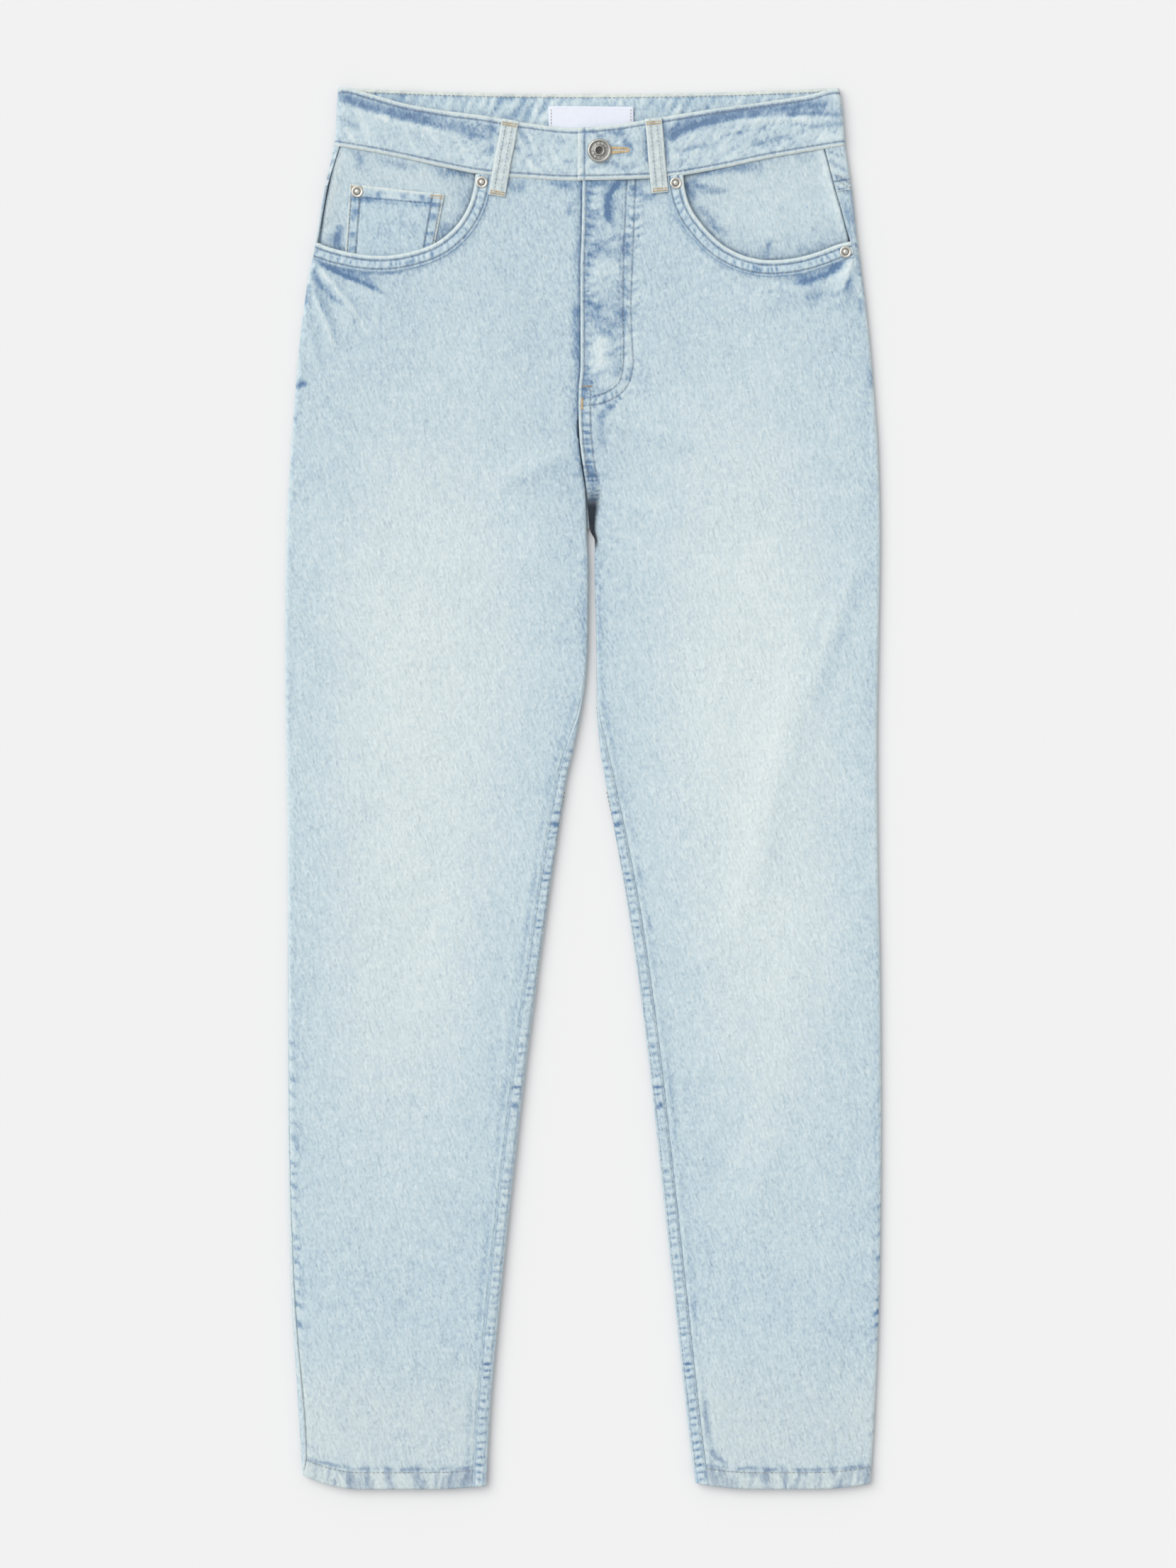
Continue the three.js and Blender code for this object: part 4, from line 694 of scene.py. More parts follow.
weave = denimGroup()
denim = denimMaterial("denim_body", weave, 0.52, 0.46, 0.2, bump=1.0)
denimInside = denimMaterial("denim_shaded", weave, 0.52, 0.44, 0.2, bump=1.0)
denimTrim = denimMaterial("denim_trim", weave, 0.5, 0.4, 0.3, bump=0.9)
thread = threadMaterial("thread_grey", (178, 175, 162), (112, 118, 122))
tanThread = threadMaterial("thread_tan", (221, 199, 160), (170, 144, 110))
buttonMetal = metalMaterial("button_metal", (184, 183, 178), (78, 78, 77), 0.4)
rivetMetal = metalMaterial("rivet_metal", (208, 206, 199), (108, 102, 94), 0.36)
labelCloth = ribbonMaterial("label_ribbon", (232, 236, 246), (216, 220, 232), 900.0, 0.2)
zipTape = ribbonMaterial("zip_tape", (224, 229, 230), (196, 204, 208), 500.0, 0.1)
print("stage: materials ready")

# The front panels
front = {"blendY": 285.0, "topRow": 435.0, "turn": 6, "short": 4.0, "tuck": 1.3, "inset": 0.9}
frontRows = fitToFour(rowsOf([(435, 300, 1.45), (300, 172, 1.45), (172, -480, 1.9), (-480, -498.7, 0.85)]))


# How far the back comes over the outer and the inner edge, as the front meets it
def seamWraps(side, y):
    return (wrapCurve[side + "Outer"](np.minimum(y, pocketRows[side][0][1])),
            np.where(y < cut["legY"], wrapCurve[side + "Inner"](y), 0))


# Where the front panel starts and ends across a section, and its flat between the two turned edges
def frontStretch(side, y):
    s = sectionAt(side, y)
    outerWrap, innerWrap = seamWraps(side, y)
    start = arcTo(outerWrap)
    end = s["total"] - np.where(y < cut["legY"], arcTo(innerWrap), 0)
    flatStart = start + np.maximum(quarterTurn - start, front["short"])
    flatEnd = end - np.maximum(end - quarterTurn - s["flat"], front["short"])
    return s, start, end, flatStart, flatEnd


# Columns as shares across the flat, and how high each reaches: along the opening, then the waist seam
def frontColumns(side):
    opening = openingPath[side]
    inset = opening - pathNormals(opening) * inward[side] * front["inset"]
    foldX = centreCurve[side]["fold"](front["topRow"])
    reach = np.abs(inset[-1, 0] - foldX)
    steps = rowsOf([(0, reach - 42, 2.1), (reach - 42, reach, 1.25)])[1:]
    waistX = inset[-1, 0] + np.sign(foldX - inset[-1, 0]) * steps
    across = np.r_[inset[:, 0], waistX]
    top = np.r_[inset[:, 1], waistSeam(waistX) + 1.0]
    s, _, _, flatStart, flatEnd = frontStretch(side, np.r_[inset[:, 1], np.full(len(waistX), front["topRow"])])
    share = (np.abs(across - s["outer"]) - edgeRadius + quarterTurn - flatStart) / (flatEnd - flatStart)
    share = np.clip(share, 0, 1)
    keep = np.r_[True, share[1:] > np.maximum.accumulate(share)[:-1] + 1e-4]
    table = np.column_stack([share[keep], top[keep]])
    table[0, 0], table[-1, 0] = 0.0, 1.0
    return fitToFour(table, 2 * front["turn"])


# Blue left by the wash in folds and beside seams: path, width, strength
frontBlue = {
    "right": [
        ([(-190, 374.4), (-177.6, 368.1), (-163.7, 361.9), (-145.7, 354.2), (-133, 346)], 1.7, 0.6),
        ([(-182, 373), (-168, 367.5), (-152, 361), (-140, 355)], 3.6, 0.24),
        ([(-192.2, 371), (-188.7, 361), (-177.6, 348.7), (-167.9, 340.3)], 2.1, 0.42),
        ([(-194, 357), (-188, 346), (-182, 333)], 2.2, 0.24),
        ([(-195.7, 360), (-197, 350), (-198, 340)], 2.6, 0.42),
        ([(-199, 338), (-202, 316), (-204, 300)], 2.6, 0.2),
        ([(-205.5, 286), (-200, 287), (-195, 289)], 2.4, 0.5),
        ([(-207, 264), (-203, 262)], 2.0, 0.3),
        ([(-209, 232), (-205, 230)], 2.0, 0.3),
        ([(-160, 368.5), (-146, 367), (-130, 367.5), (-118, 371)], 1.6, 0.34),
        ([(-60, 433), (-52, 429), (-44, 427), (-36, 428)], 3.6, 0.3),
        ([(-24, 431), (-16, 428.5), (-6, 429)], 3.0, 0.34),
        ([(-7, 418), (-10, 411), (-8, 404)], 2.6, 0.22),
        ([(-4, 347), (-5.5, 333), (-4.5, 316), (-4, 296)], 2.6, 0.26),
    ],
    "left": [
        ([(188, 377), (180, 369.5), (168, 363), (154, 359), (140, 356.5)], 2.6, 0.52),
        ([(186, 374), (172, 366.5), (158, 362), (144, 359)], 4.4, 0.3),
        ([(171, 354), (163, 349), (155, 344)], 4.0, 0.14),
        ([(190, 364), (187, 357), (181, 351), (172, 349)], 2.2, 0.32),
        ([(150, 354), (134, 353), (122, 351)], 1.8, 0.2),
        ([(197, 350), (199, 336)], 2.2, 0.3),
        ([(204, 300), (206, 280)], 2.2, 0.26),
        ([(27, 429), (21, 425), (17.4, 416), (17.6, 407), (22, 400.5), (27, 397)], 2.3, 0.62),
        ([(22, 421), (19, 412), (22, 403)], 5.0, 0.16),
        ([(1, 429.5), (14, 429), (28, 428.5), (40, 425), (50, 421)], 3.0, 0.26),
        ([(50, 431), (58, 430), (66, 433)], 3.0, 0.3),
        ([(4, 409), (9, 407), (13, 408)], 2.4, 0.2),
        ([(3, 398), (12, 395), (22, 392), (36, 388)], 4.4, 0.16),
        ([(4, 386), (14, 384), (26, 382), (38, 384)], 4.0, 0.22),
        ([(2, 345), (9, 342), (16, 341)], 2.6, 0.3),
        ([(3, 337), (12, 334), (21, 331), (29, 326)], 3.2, 0.3),
        ([(18, 343), (24, 338), (32, 333)], 2.4, 0.2),
        ([(6, 328), (16, 325), (24, 322)], 3.0, 0.2),
        ([(18, 318), (22, 308), (20, 298)], 4.0, 0.12),
        ([(54, 423), (46, 420.5), (38, 420)], 3.2, 0.26),
        ([(34, 300), (32, 292), (26, 287)], 3.0, 0.24),
        ([(30, 345), (29, 335), (31, 322)], 3.0, 0.22),
        ([(33, 392), (31, 384), (33, 374)], 3.0, 0.2),
        ([(24, 273), (15, 268), (11, 258)], 2.6, 0.42),
        ([(14, 262), (13, 250), (14, 240)], 2.0, 0.24),
        # kept blue, and painted shade on the side of the pale crease line from (198, 172) that faces away from the
        # light
        ([(205, 165), (194, 135), (182, 103), (162, 40)], 6.0, 0.1),
        ([(91, -469), (95, -476.5), (105, -481.5)], 1.7, 0.42), ([(86, -430), (88, -450), (90.5, -470)], 2.0, 0.26),
    ],
}
# Lines rubbed pale along the tops of creases: path, width, strength, height
frontPale = {
    "right": [
        ([(-189.8, 373), (-181.8, 362.6), (-170.7, 348.7), (-162.4, 337.6), (-156, 327.8), (-150, 316)], 1.2, 0.3,
         0.5),
        ([(-193.8, 363), (-190.1, 348.7), (-184.6, 334.8), (-179, 318), (-175, 306)], 1.2, 0.28, 0.45),
    ],
    "left": [
        ([(190.5, 379), (188, 366), (184, 353), (181, 342)], 1.6, 0.26, 0.5),
        ([(158, 112), (140, 40), (122, -40), (106, -132)], 9.0, 0.07, 0.0),
        ([(198, 172), (185, 138), (172, 105), (150, 40)], 4.5, 0.08, 0.3),
        ([(137, 182), (121, 166), (111, 136)], 8.0, 0.07, 0.1),
        ([(15, 322), (12, 306), (14, 292)], 7.0, 0.2, 0.1),
        ([(12, 376), (10, 362), (12, 350)], 6.0, 0.14, 0.1),
    ],
}
jStitch = {
    "outer": [(37.4, 432.3), (36.2, 400), (35.1, 369.4), (34.1, 339.1), (35.2, 313.9), (35.6, 300.7), (33, 288.9),
              (27.9, 281.3), (20.5, 276.3), (11.9, 273), (4.4, 272.1)],
    "inner": [(31, 432.3), (29.8, 400), (29, 383.5), (28.6, 339.1), (29, 313.9), (28.6, 300), (26.5, 289.6),
              (22, 284.6), (15.4, 280.5), (8.2, 278.5)],
}
jPath = {name: smoothPath(points, 2.0) for name, points in jStitch.items()}
thighShine = curveThrough([(-498, -0.02), (-420, -0.01), (-300, 0.06), (-100, 0.19), (100, 0.22), (230, 0.12),
                           (330, 0.03), (440, 0.0)])


# The left front's edge, that laps over the right one
def flyEdge(y):
    return centreCurve["left"]["end"](y)


# The cloth's own light and dark: pale down the middle of the leg, a little bluer at its edges
def legTone(side, x, y):
    outer = sideEdge[side](y)
    inner = np.where(y > cut["legY"], 6.0, legEdge[side](y))
    u = (x - outer) / (inner - outer)
    tone = 0.6 + thighShine(y) * bell(u - 0.47, 0.36) - 0.04 * bell(u - 1.02, 0.07)
    tone += 0.045 * smoothStep(-370, -450, y)
    return tone + 0.035 * layeredNoise(x, y, 44, 21) + 0.04 * layeredNoise(x, y * 0.6, 9, 27)


# Where the wear has gone down to cream cotton
def legWarmth(side, x, y):
    outer, inner = sideEdge[side](y), legEdge[side](y)
    worn = 0.5 * np.maximum(thighShine(y), 0) * bell((x - outer) / (inner - outer) - 0.45, 0.3)
    return 0.04 + worn + 0.14 * smoothStep(-370, -450, y)


# Kept blue and puckers just past the pocket hem and under the waistband
def underSeams(side, x, y):
    away, along, _ = nearPath(openingPath[side][::2], x, y)
    underBand = waistSeam(x) - y
    height = 0.1 * pucker(along, away - 13, 6.5, 5, 43) + 0.1 * pucker(x, underBand - 2, 8, 5, 46)
    tone = -0.2 * bell(away - 12.6, 1.5) * (0.8 + 0.5 * layeredNoise(along, away, 9, 41))
    tone -= 0.07 * np.clip(pucker(along, away - 14, 6.5, 6, 43), 0, 1)
    tone -= 0.16 * bell(underBand - 1.0, 3.2) * (0.7 + 0.6 * layeredNoise(x, y, 12, 45))
    return height, tone


# The left front's edge: a pale welt and a stitched groove, cracked wear on the fly, roped cells between two
# rows below it, then painted shade broken by puckers in the dip where the leg seam turns under
def flyWelt(x, y):
    inFly, e = smoothStep(200, 215, y), x - flyEdge(y)
    height = inFly * (0.35 * bell(e - 1.1, 1.2) - 0.28 * bell(e - 3.1, 0.7) + 0.16 * pucker(y, e - 3.4, 5.2, 2.6, 51))
    tone = inFly * (0.24 * bell(e - 0.9, 1.3) - 0.2 * bell(e - 4.4, 1.5) * (0.8 + softNoise(y, e, 9, 52)))
    tone -= inFly * 0.26 * smoothStep(0.1, 0.9, pucker(y, e - 6, 6.0, 5, 53, lean=0.2))
    onFly = smoothStep(2, 5, e) * smoothStep(46, 36, x) * smoothStep(262, 276, y)
    tone += 0.26 * onFly * crackle(x, y, 0.5, 3.2, 57)
    cells = pucker(y, e - 5.5, 5.2, 3.6, 64, lean=0.15)
    belowFly = smoothStep(270, 264, y) * smoothStep(214, 222, y)
    tone += belowFly * (0.12 * smoothStep(0, 0.7, cells) - 0.3 * smoothStep(0, 0.7, -cells) * bell(e - 5.5, 3.0))
    # painted shade in the dip where the leg seam turns under, broken by puckers
    dip = smoothStep(238, 224, y) * smoothStep(1.0, 4.0, centreCurve["left"]["fold"](y) + 0.8 - x)
    tone -= dip * (0.06 + 0.36 * smoothStep(-0.2, 0.6, pucker(y, x - 8, 3.6, 12, 70, lean=0.1)))
    return height + belowFly * 0.3 * cells, tone


# The double J: two sunk rows, with rungs of kept blue between them
def doubleJ(x, y):
    outer, along, _ = nearPath(jPath["outer"], x, y)
    inner = nearPath(jPath["inner"], x, y)[0]
    inJ = smoothStep(266, 272, y)
    height = 0.15 * pucker(along, outer - 3, 5.6, 3, 54) - 0.24 * bell(outer, 0.8) - 0.22 * bell(inner, 0.8)
    rungs = pucker(along, outer - 3, 6.4, 3.4, 55)
    patchy = 0.6 + 0.8 * softNoise(along, 0 * x, 19, 71)
    tone = 0.08 * smoothStep(0, 0.7, -rungs) - 0.26 * smoothStep(0.1, 0.8, rungs) * patchy
    return inJ * height, inJ * (tone - 0.035 * smoothStep(34, 28, x))


# Shade and kept blue on the right front beside the left one's lap
def besideLap(x, y):
    e, shade = flyEdge(y) - x, smoothStep(205, 230, y)
    blue = 0.4 * bell(e, 1.3) + 0.1 * bell(e - 3, 3) * (1 + layeredNoise(y, e, 14, 56))
    return -shade * 0.35 * bell(e, 2.2), -shade * blue


# Puckers that spread from the crotch
def crotchPuckers(x, y):
    share, out = smoothStep(300, 255, y) * smoothStep(150, 205, y), np.abs(x - 4) - 6
    blue = np.clip(pucker(y, out, 8.5, 12, 57, lean=0.25), 0, 1)
    return share * 0.22 * pucker(y, out, 8.5, 14, 57, lean=0.25), -share * 0.07 * blue


# The leg seams: a soft pale ridge beside the inseam, dipping under the back's felled strip, and a rolled outer
# edge with slanting dashes of kept blue
def legSeams(side, y, fromStart, fromEnd):
    inseam = smoothStep(200, 150, y) * (y < cut["legY"] + 30)
    wrapped = smoothStep(1.0, 4.0, seamWraps(side, y)[1])
    ridge = 0.28 * bell(fromEnd - 2.0, 1.3) * (1 - 0.4 * wrapped) + 0.12 * pucker(y, fromEnd - 2.4, 6.2, 3.4, 58)
    patchy = 0.6 + 0.8 * layeredNoise(y, fromEnd, 16, 59)
    tone = inseam * (0.06 * bell(fromEnd - 1.9, 0.9) - 0.16 * bell(fromEnd - 4.2, 2.2) * patchy)
    # lighter along the outer turned edge: pale wear on the fold, and painted light against the shade of the turn
    tone += 0.16 * bell(fromStart - 0.4, 2.4)
    tone -= 0.05 * bell(fromStart - 6.0, 3.0) * (0.5 + layeredNoise(y, fromStart, 22, 60))
    rolled = smoothStep(-60, -170, y) * smoothStep(-495, -430, y)
    rolled = rolled + 0.45 * smoothStep(330, 250, y) * smoothStep(-60, 60, y)
    dashes = pucker(y, fromStart, 11.0, 5.5, 65 + len(side), lean=0.6)
    strength = blend(0.46, 0.26, smoothStep(-300, -150, y)) * (0.6 + 0.7 * softNoise(y, 0 * y, 31, 66))
    tone -= rolled * strength * smoothStep(0.05, 0.6, dashes)
    return inseam * ridge + rolled * 0.25 * dashes, tone


# The turned-up hem: raised, rolled at its lower edge and sunk at its row, with roping bars and blotches of blue
def frontHem(side, x, y):
    up = y - hemLine(side, x)
    onHem = hemShare(up)
    bars = pucker(x, up - 7, 14.0, 10, 61 + len(side), lean=0.1) * (0.6 + 0.9 * softNoise(x, 0 * x, 23, 67))
    bars += 0.35 * pucker(x, up - 7, 6.0, 8, 68, lean=-0.2)
    height = cut["hemRaise"] * onHem - 0.75 * edgeRoll(up, 1.0) + 0.22 * bars * smoothStep(18, 12, up)
    tone = -smoothStep(22, 13, up) * (0.38 * smoothStep(-0.1, 0.7, bars) - 0.08 * smoothStep(0.0, 0.6, -bars))
    tone -= onHem * (0.02 + 0.22 * smoothStep(0.0, 0.4, softNoise(x, 0.35 * up, 7.5, 85)))
    broken = smoothStep(-0.5, 0.35, layeredNoise(x, 0.4 * y, 7, 63)) + 0.15
    tone -= 0.36 * bell(up - 14.2 - 0.8 * softNoise(x, 0 * x, 9, 69), 1.4) * broken
    return height - 0.25 * bell(up - rowAt["hem"], 0.7), tone


# Fine relief, tone and warmth of a front panel on top of topRelief: its own cloth, the marks, then its seams
def frontDetail(side, x, y, fromStart, fromEnd):
    tone, height = legTone(side, x, y), 0.05 * layeredNoise(x, y, 13, 31)
    # painted light and shade: each crease is lighter on the side that faces the key light, up and to the left, and
    # darker on the far side
    tone += 0.4 * (creaseHeight(x + 1.5, y - 1.5) - creaseHeight(x - 1.5, y + 1.5))
    for mark, strength in streaks(x, y, frontBlue[side]):
        tone, height = tone - strength * mark, height - 0.18 * strength * mark
    for mark, strength, lift in streaks(x, y, frontPale[side], seed=7, rag=0.2):
        tone, height = tone + strength * mark, height + lift * mark
    fly = [flyWelt(x, y), doubleJ(x, y)] if side == "left" else [besideLap(x, y)]
    for rise, shade in (underSeams(side, x, y), *fly, crotchPuckers(x, y), legSeams(side, y, fromStart, fromEnd),
                        frontHem(side, x, y)):
        tone, height = tone + shade, height + rise
    return height, tone, legWarmth(side, x, y) + 0.08 * hemShare(y - hemLine(side, x))


# Painted shade where hardly any light reaches: beside the fly's fold, in the crotch's dip, under the waistband
def frontPaintedShade(side, x, y):
    e = x - flyEdge(y)
    if side == "right":
        line = smoothStep(428, 420, y) * bell(e + 0.2, 0.9) * (0.45 + 0.4 * smoothStep(300, 215, y))
        return line * smoothStep(172, 182, y)
    fold = centreCurve["left"]["fold"](y)
    deep = smoothStep(217, 199, y) * smoothStep(166, 176, y) * smoothStep(0.8, -1.6, x - fold)
    return 0.98 * deep + 0.16 * smoothStep(232, 222, y) * smoothStep(205, 218, y) * smoothStep(0, -3, x - fold)


# The front panel's stitched rows: hem, and the fly's edge and double J on the left one
def frontStitching(side, x, y):
    none = 9.0  # a distance at which no row shows
    rows = rowsFrom("hem", y - hemLine(side, x))
    if side == "left":
        e = x - flyEdge(y)
        outer, _, outerSide = nearPath(jPath["outer"], x, y)
        inner, _, innerSide = nearPath(jPath["inner"], x, y)
        rows += [np.where((y > 218) & (np.abs(e) < 12), e - np.where(y > 276, *rowAt["flyEdge"]), none),
                 np.where((y < 284) & (y > 218) & (np.abs(e) < 15), e - rowAt["belowFly"], none),
                 np.where((y > 268) & (outer < none), outer * outerSide, none),
                 np.where((y > 274) & (inner < none), inner * innerSide, none)]
    marks = nearestRow(*rows)
    marks["rowShare"] = marks["rowShare"] * np.where(y < -470, 0.25, 0.8)
    return marks


# Height of the front panel's finished surface
def frontSurface(side, x, y):
    s = sectionAt(side, y)
    outerWrap, innerWrap = seamWraps(side, y)
    fromStart = np.abs(x - s["outer"]) - outerWrap
    fromEnd = np.abs(s["end"] - x) - innerWrap
    return 2 * edgeRadius + topRelief(side, x, y) + frontDetail(side, x, y, fromStart, fromEnd)[0]


# Columns run over the outer edge in turn steps, across the flat by share, and round the inner edge
def frontPanel(side):
    columns = frontColumns(side)
    turn, last = front["turn"], len(columns) - 1
    count = len(columns) + 2 * turn
    order = np.arange(count)
    flatIndex = np.clip(order - turn, 0, last)
    top, row = columns[flatIndex, 1][None, :], frontRows[:, None]
    squeeze = (row - front["blendY"]) / (front["topRow"] - front["blendY"])
    y = np.where(row > front["blendY"], front["blendY"] + (top - front["blendY"]) * squeeze, row)
    s, start, end, flatStart, flatEnd = frontStretch(side, y)
    outerWrap, innerWrap = seamWraps(side, y)
    startTuck = front["tuck"] * smoothStep(0.5, 2.5, outerWrap)
    endTuck = front["tuck"] * smoothStep(0.5, 2.5, innerWrap)
    share = columns[flatIndex, 0]
    along = blend(flatStart, flatEnd, share)
    into, out = np.clip(order / turn, 0, 1), np.clip((order - turn - last) / turn, 0, 1)
    along = np.where(order < turn, blend(start - startTuck, flatStart, into ** 1.3), along)
    along = np.where(order > turn + last, blend(flatEnd, end + endTuck, 1 - (1 - out) ** 1.3), along)
    x, z, nx, nz = overTop(s, along)
    y = downToHem(side, x, np.broadcast_to(y, x.shape))
    height, tone, warm = frontDetail(side, x, y, along - start, end - along)
    height = height * np.clip(nz, 0, 1)
    height -= 0.55 * smoothStep(0.9, -0.6, along - start) * smoothStep(0.5, 2.5, outerWrap)
    height -= 0.55 * smoothStep(0.9, -0.6, end - along) * smoothStep(0.5, 2.5, innerWrap)
    outer, inner = offset(x, y, z, nx, nz, height), offset(x, y, z, nx, nz, -cut["wall"])
    marks = {"tone": tone, "warmth": warm, "hollow": frontPaintedShade(side, x, y), **frontStitching(side, x, y)}
    return wallPiece(f"front_panel_{side}", outer, inner, marks, denim, "denim", (f"front_{side}",))


fronts = {side: frontPanel(side) for side in sides}

# The back panels: across from the outer seam on the top side, round underneath and up to the inner seam
back = {"sideTop": 388.2, "yokeSideY": 426.0, "yokeDip": 34.0, "fell": 0.55, "bandDip": 3.5, "bandTopDip": 4.8}
patch = {"offset": 101, "topY": 345, "half": 67, "side": 112, "point": 138, "narrowing": 8, "tilt": 4, "wall": 1.2,
         "middle": 58}
underDepth = 1.5  # room that the back leaves for a patch or a loop sewn under it
loopRows = {
    "front_right": (-51.8, 474.9, -61.4, 420.9), "front_left": (49.7, 475.9, 54.8, 423.1),
    "back_right": (-124, 495, -126, 447), "back_centre": (5.3, 492.5, 5.3, 445),
    "back_left": (134, 495, 136, 447),
}


loopShape = {"wall": 1.2, "bow": 0.5, "half": 6.0, "rib": 2.9}


# The yoke seam falls in a straight V to the centre back
def yokeSeam(x):
    half = (sideEdge["left"](back["yokeSideY"]) - sideEdge["right"](back["yokeSideY"])) / 2
    return back["yokeSideY"] - back["yokeDip"] * (1 - np.clip(np.abs(x - cut["seatX"]) / half, 0, 1))


# -1 at the waistband's right fold, 0 in its middle, 1 at its left fold
def fromBandMiddle(x):
    right, left = (bandEdge[side](cut["backBandSeamY"]) for side in sides)
    return np.clip((2 * x - right - left) / (left - right), -1, 1)


# The back waistband's lower edge dips by bandDip (1 - u^2)
def backBandBottom(x):
    return cut["backBandSeamY"] - back["bandDip"] * (1 - fromBandMiddle(x) ** 2)


# Its upper edge dips by bandTopDip (1 - u^2)
def backBandTop(x):
    return cut["bandTopY"] - back["bandTopDip"] * (1 - fromBandMiddle(x) ** 2)


# Corners of the patch pocket, closed, in the garment's own places
def patchOutline(side):
    way = -inward[side]
    half, narrow = patch["half"], patch["half"] - patch["narrowing"]
    corners = np.array([(-half, 0), (-narrow, -patch["side"]), (0, -patch["point"]), (narrow, -patch["side"]),
                        (half, 0), (-half, 0)], float)
    a = np.radians(patch["tilt"]) * way
    turned = corners @ np.array([[np.cos(a), np.sin(a)], [-np.sin(a), np.cos(a)]])
    return turned + [cut["seatX"] + way * patch["offset"], patch["topY"]]


# Distance outside (+) or inside (-) a closed outline
def outlineDistance(outline, x, y):
    away, _, _ = nearPath(outline, x, y)
    inside = np.zeros(np.shape(x), bool)
    for (x0, y0), (x1, y1) in zip(outline[:-1], outline[1:]):
        crosses = (y0 > y) != (y1 > y)
        inside ^= crosses & (x < (x1 - x0) * (y - y0) / (y1 - y0 + 1e-12) + x0)
    return np.where(inside, -away, away)


# Both ends of a belt loop, with unit vectors along and across it
def loopLine(name):
    ends = np.array(loopRows[name], float).reshape(2, 2)
    along = (ends[1] - ends[0]) / np.linalg.norm(ends[1] - ends[0])
    return ends[0], ends[1], along, np.array([-along[1], along[0]])


# Corners of a belt loop, closed
def loopOutline(name):
    a, b, _, across = loopLine(name)
    half = across * loopShape["half"]
    return np.array([a + half, b + half, b - half, a - half, a + half])


# How far the back is lifted off the table by a patch or a loop that is sewn under it
def underLift(x, y, outlines):
    lift = np.zeros(np.shape(x))
    for outline in outlines:
        lo, hi = outline.min(0) - 4, outline.max(0) + 4
        near = (x > lo[0]) & (x < hi[0]) & (y > lo[1]) & (y < hi[1])
        if near.any():
            away = outlineDistance(outline, x[near], y[near])
            lift[near] = np.maximum(lift[near], underDepth * smoothStep(2.6, 0.2, away))
    return lift


# Relief and tone of the felled seams and the underside; d is the distance from the top-side seam line,
# negative where the cloth lies underneath
def backDetail(side, x, y, onTop, fellIn, fellOut):
    tone = np.where(onTop, 0.6, legTone(side, x, y) - 0.02)
    height = 0.05 * layeredNoise(x, y, 13, 71)
    warm = np.zeros(x.shape)
    for k, (d, wide) in enumerate((fellOut, fellIn)):
        live = onTop & (wide > 0.2)
        ridge = smoothStep(-0.1, 0.9, d) * smoothStep(70, 40, y) * live
        rope = pucker(y, d - 4.2, 5.8, 3.8, 73 + k, lean=0.12)
        roped = live * smoothStep(3.5, 7.0, wide) * smoothStep(90, 50, y)
        height += back["fell"] * ridge + live * 0.25 * bell(d - 0.9, 0.8)
        height += roped * (0.42 * rope - 0.3 * sum(bell(row, 0.6) for row in rowsFrom("fell", d)))
        strength = 0.24 + 0.5 * smoothStep(-0.3, 0.5, softNoise(y, 0 * y, 27, 83)) + 0.2 * smoothStep(-330, -440, y)
        dashes = strength * smoothStep(0.1, 0.8, -rope) * bell(d - 4.6, 3.4)
        tone += roped * (0.1 * smoothStep(0.0, 0.7, rope) - dashes)
        tone -= roped * 0.12 * bell(d - 0.1, 0.7)
        tone += live * (1 - roped) * 0.16 * bell(d - 0.5, 0.9)
        warm += 0.05 * live
    beside = onTop & (y > 330)
    tone -= beside * 0.26 * smoothStep(0.0, 0.6, pucker(y, x - sideEdge[side](y), 8.5, 20, 75, lean=0.3))
    tone -= beside * 0.14 * smoothStep(0.0, 0.5, layeredNoise(x, y, 9, 76))
    up = y - hemLine(side, x)
    bars = pucker(x, up - 7, 9.5, 9, 77, lean=0.35)
    height += hemShare(up) * np.where(onTop, cut["hemRaise"] - back["fell"], 0.0)
    height += 0.2 * bars * smoothStep(18, 12, up) * ~onTop
    tone += np.where(onTop, 0, -0.2 * smoothStep(0.05, 0.6, bars) * smoothStep(22, 13, up))
    tone -= 0.28 * bell(up - 14.0, 1.2) * ~onTop
    # the seat: a double-stitched centre seam, and wear on the patch edges and below the yoke
    seat = ~onTop & (y > cut["crotchY"] - 6)
    e = np.abs(x - cut["seatX"])
    tone += seat * (0.12 * bell(e - 1, 1.4) - 0.16 * bell(e - 9, 3) + 0.06 * pucker(y, e - 5, 7, 5, 79))
    tone += ~onTop * 0.1 * bell(nearPath(patchOutline(side), x, y)[0] - 3, 3)
    tone -= ~onTop * 0.16 * bell(y - yokeSeam(x) + 3, 3) * (0.7 + layeredNoise(x, y, 14, 80))
    return height, tone, warm


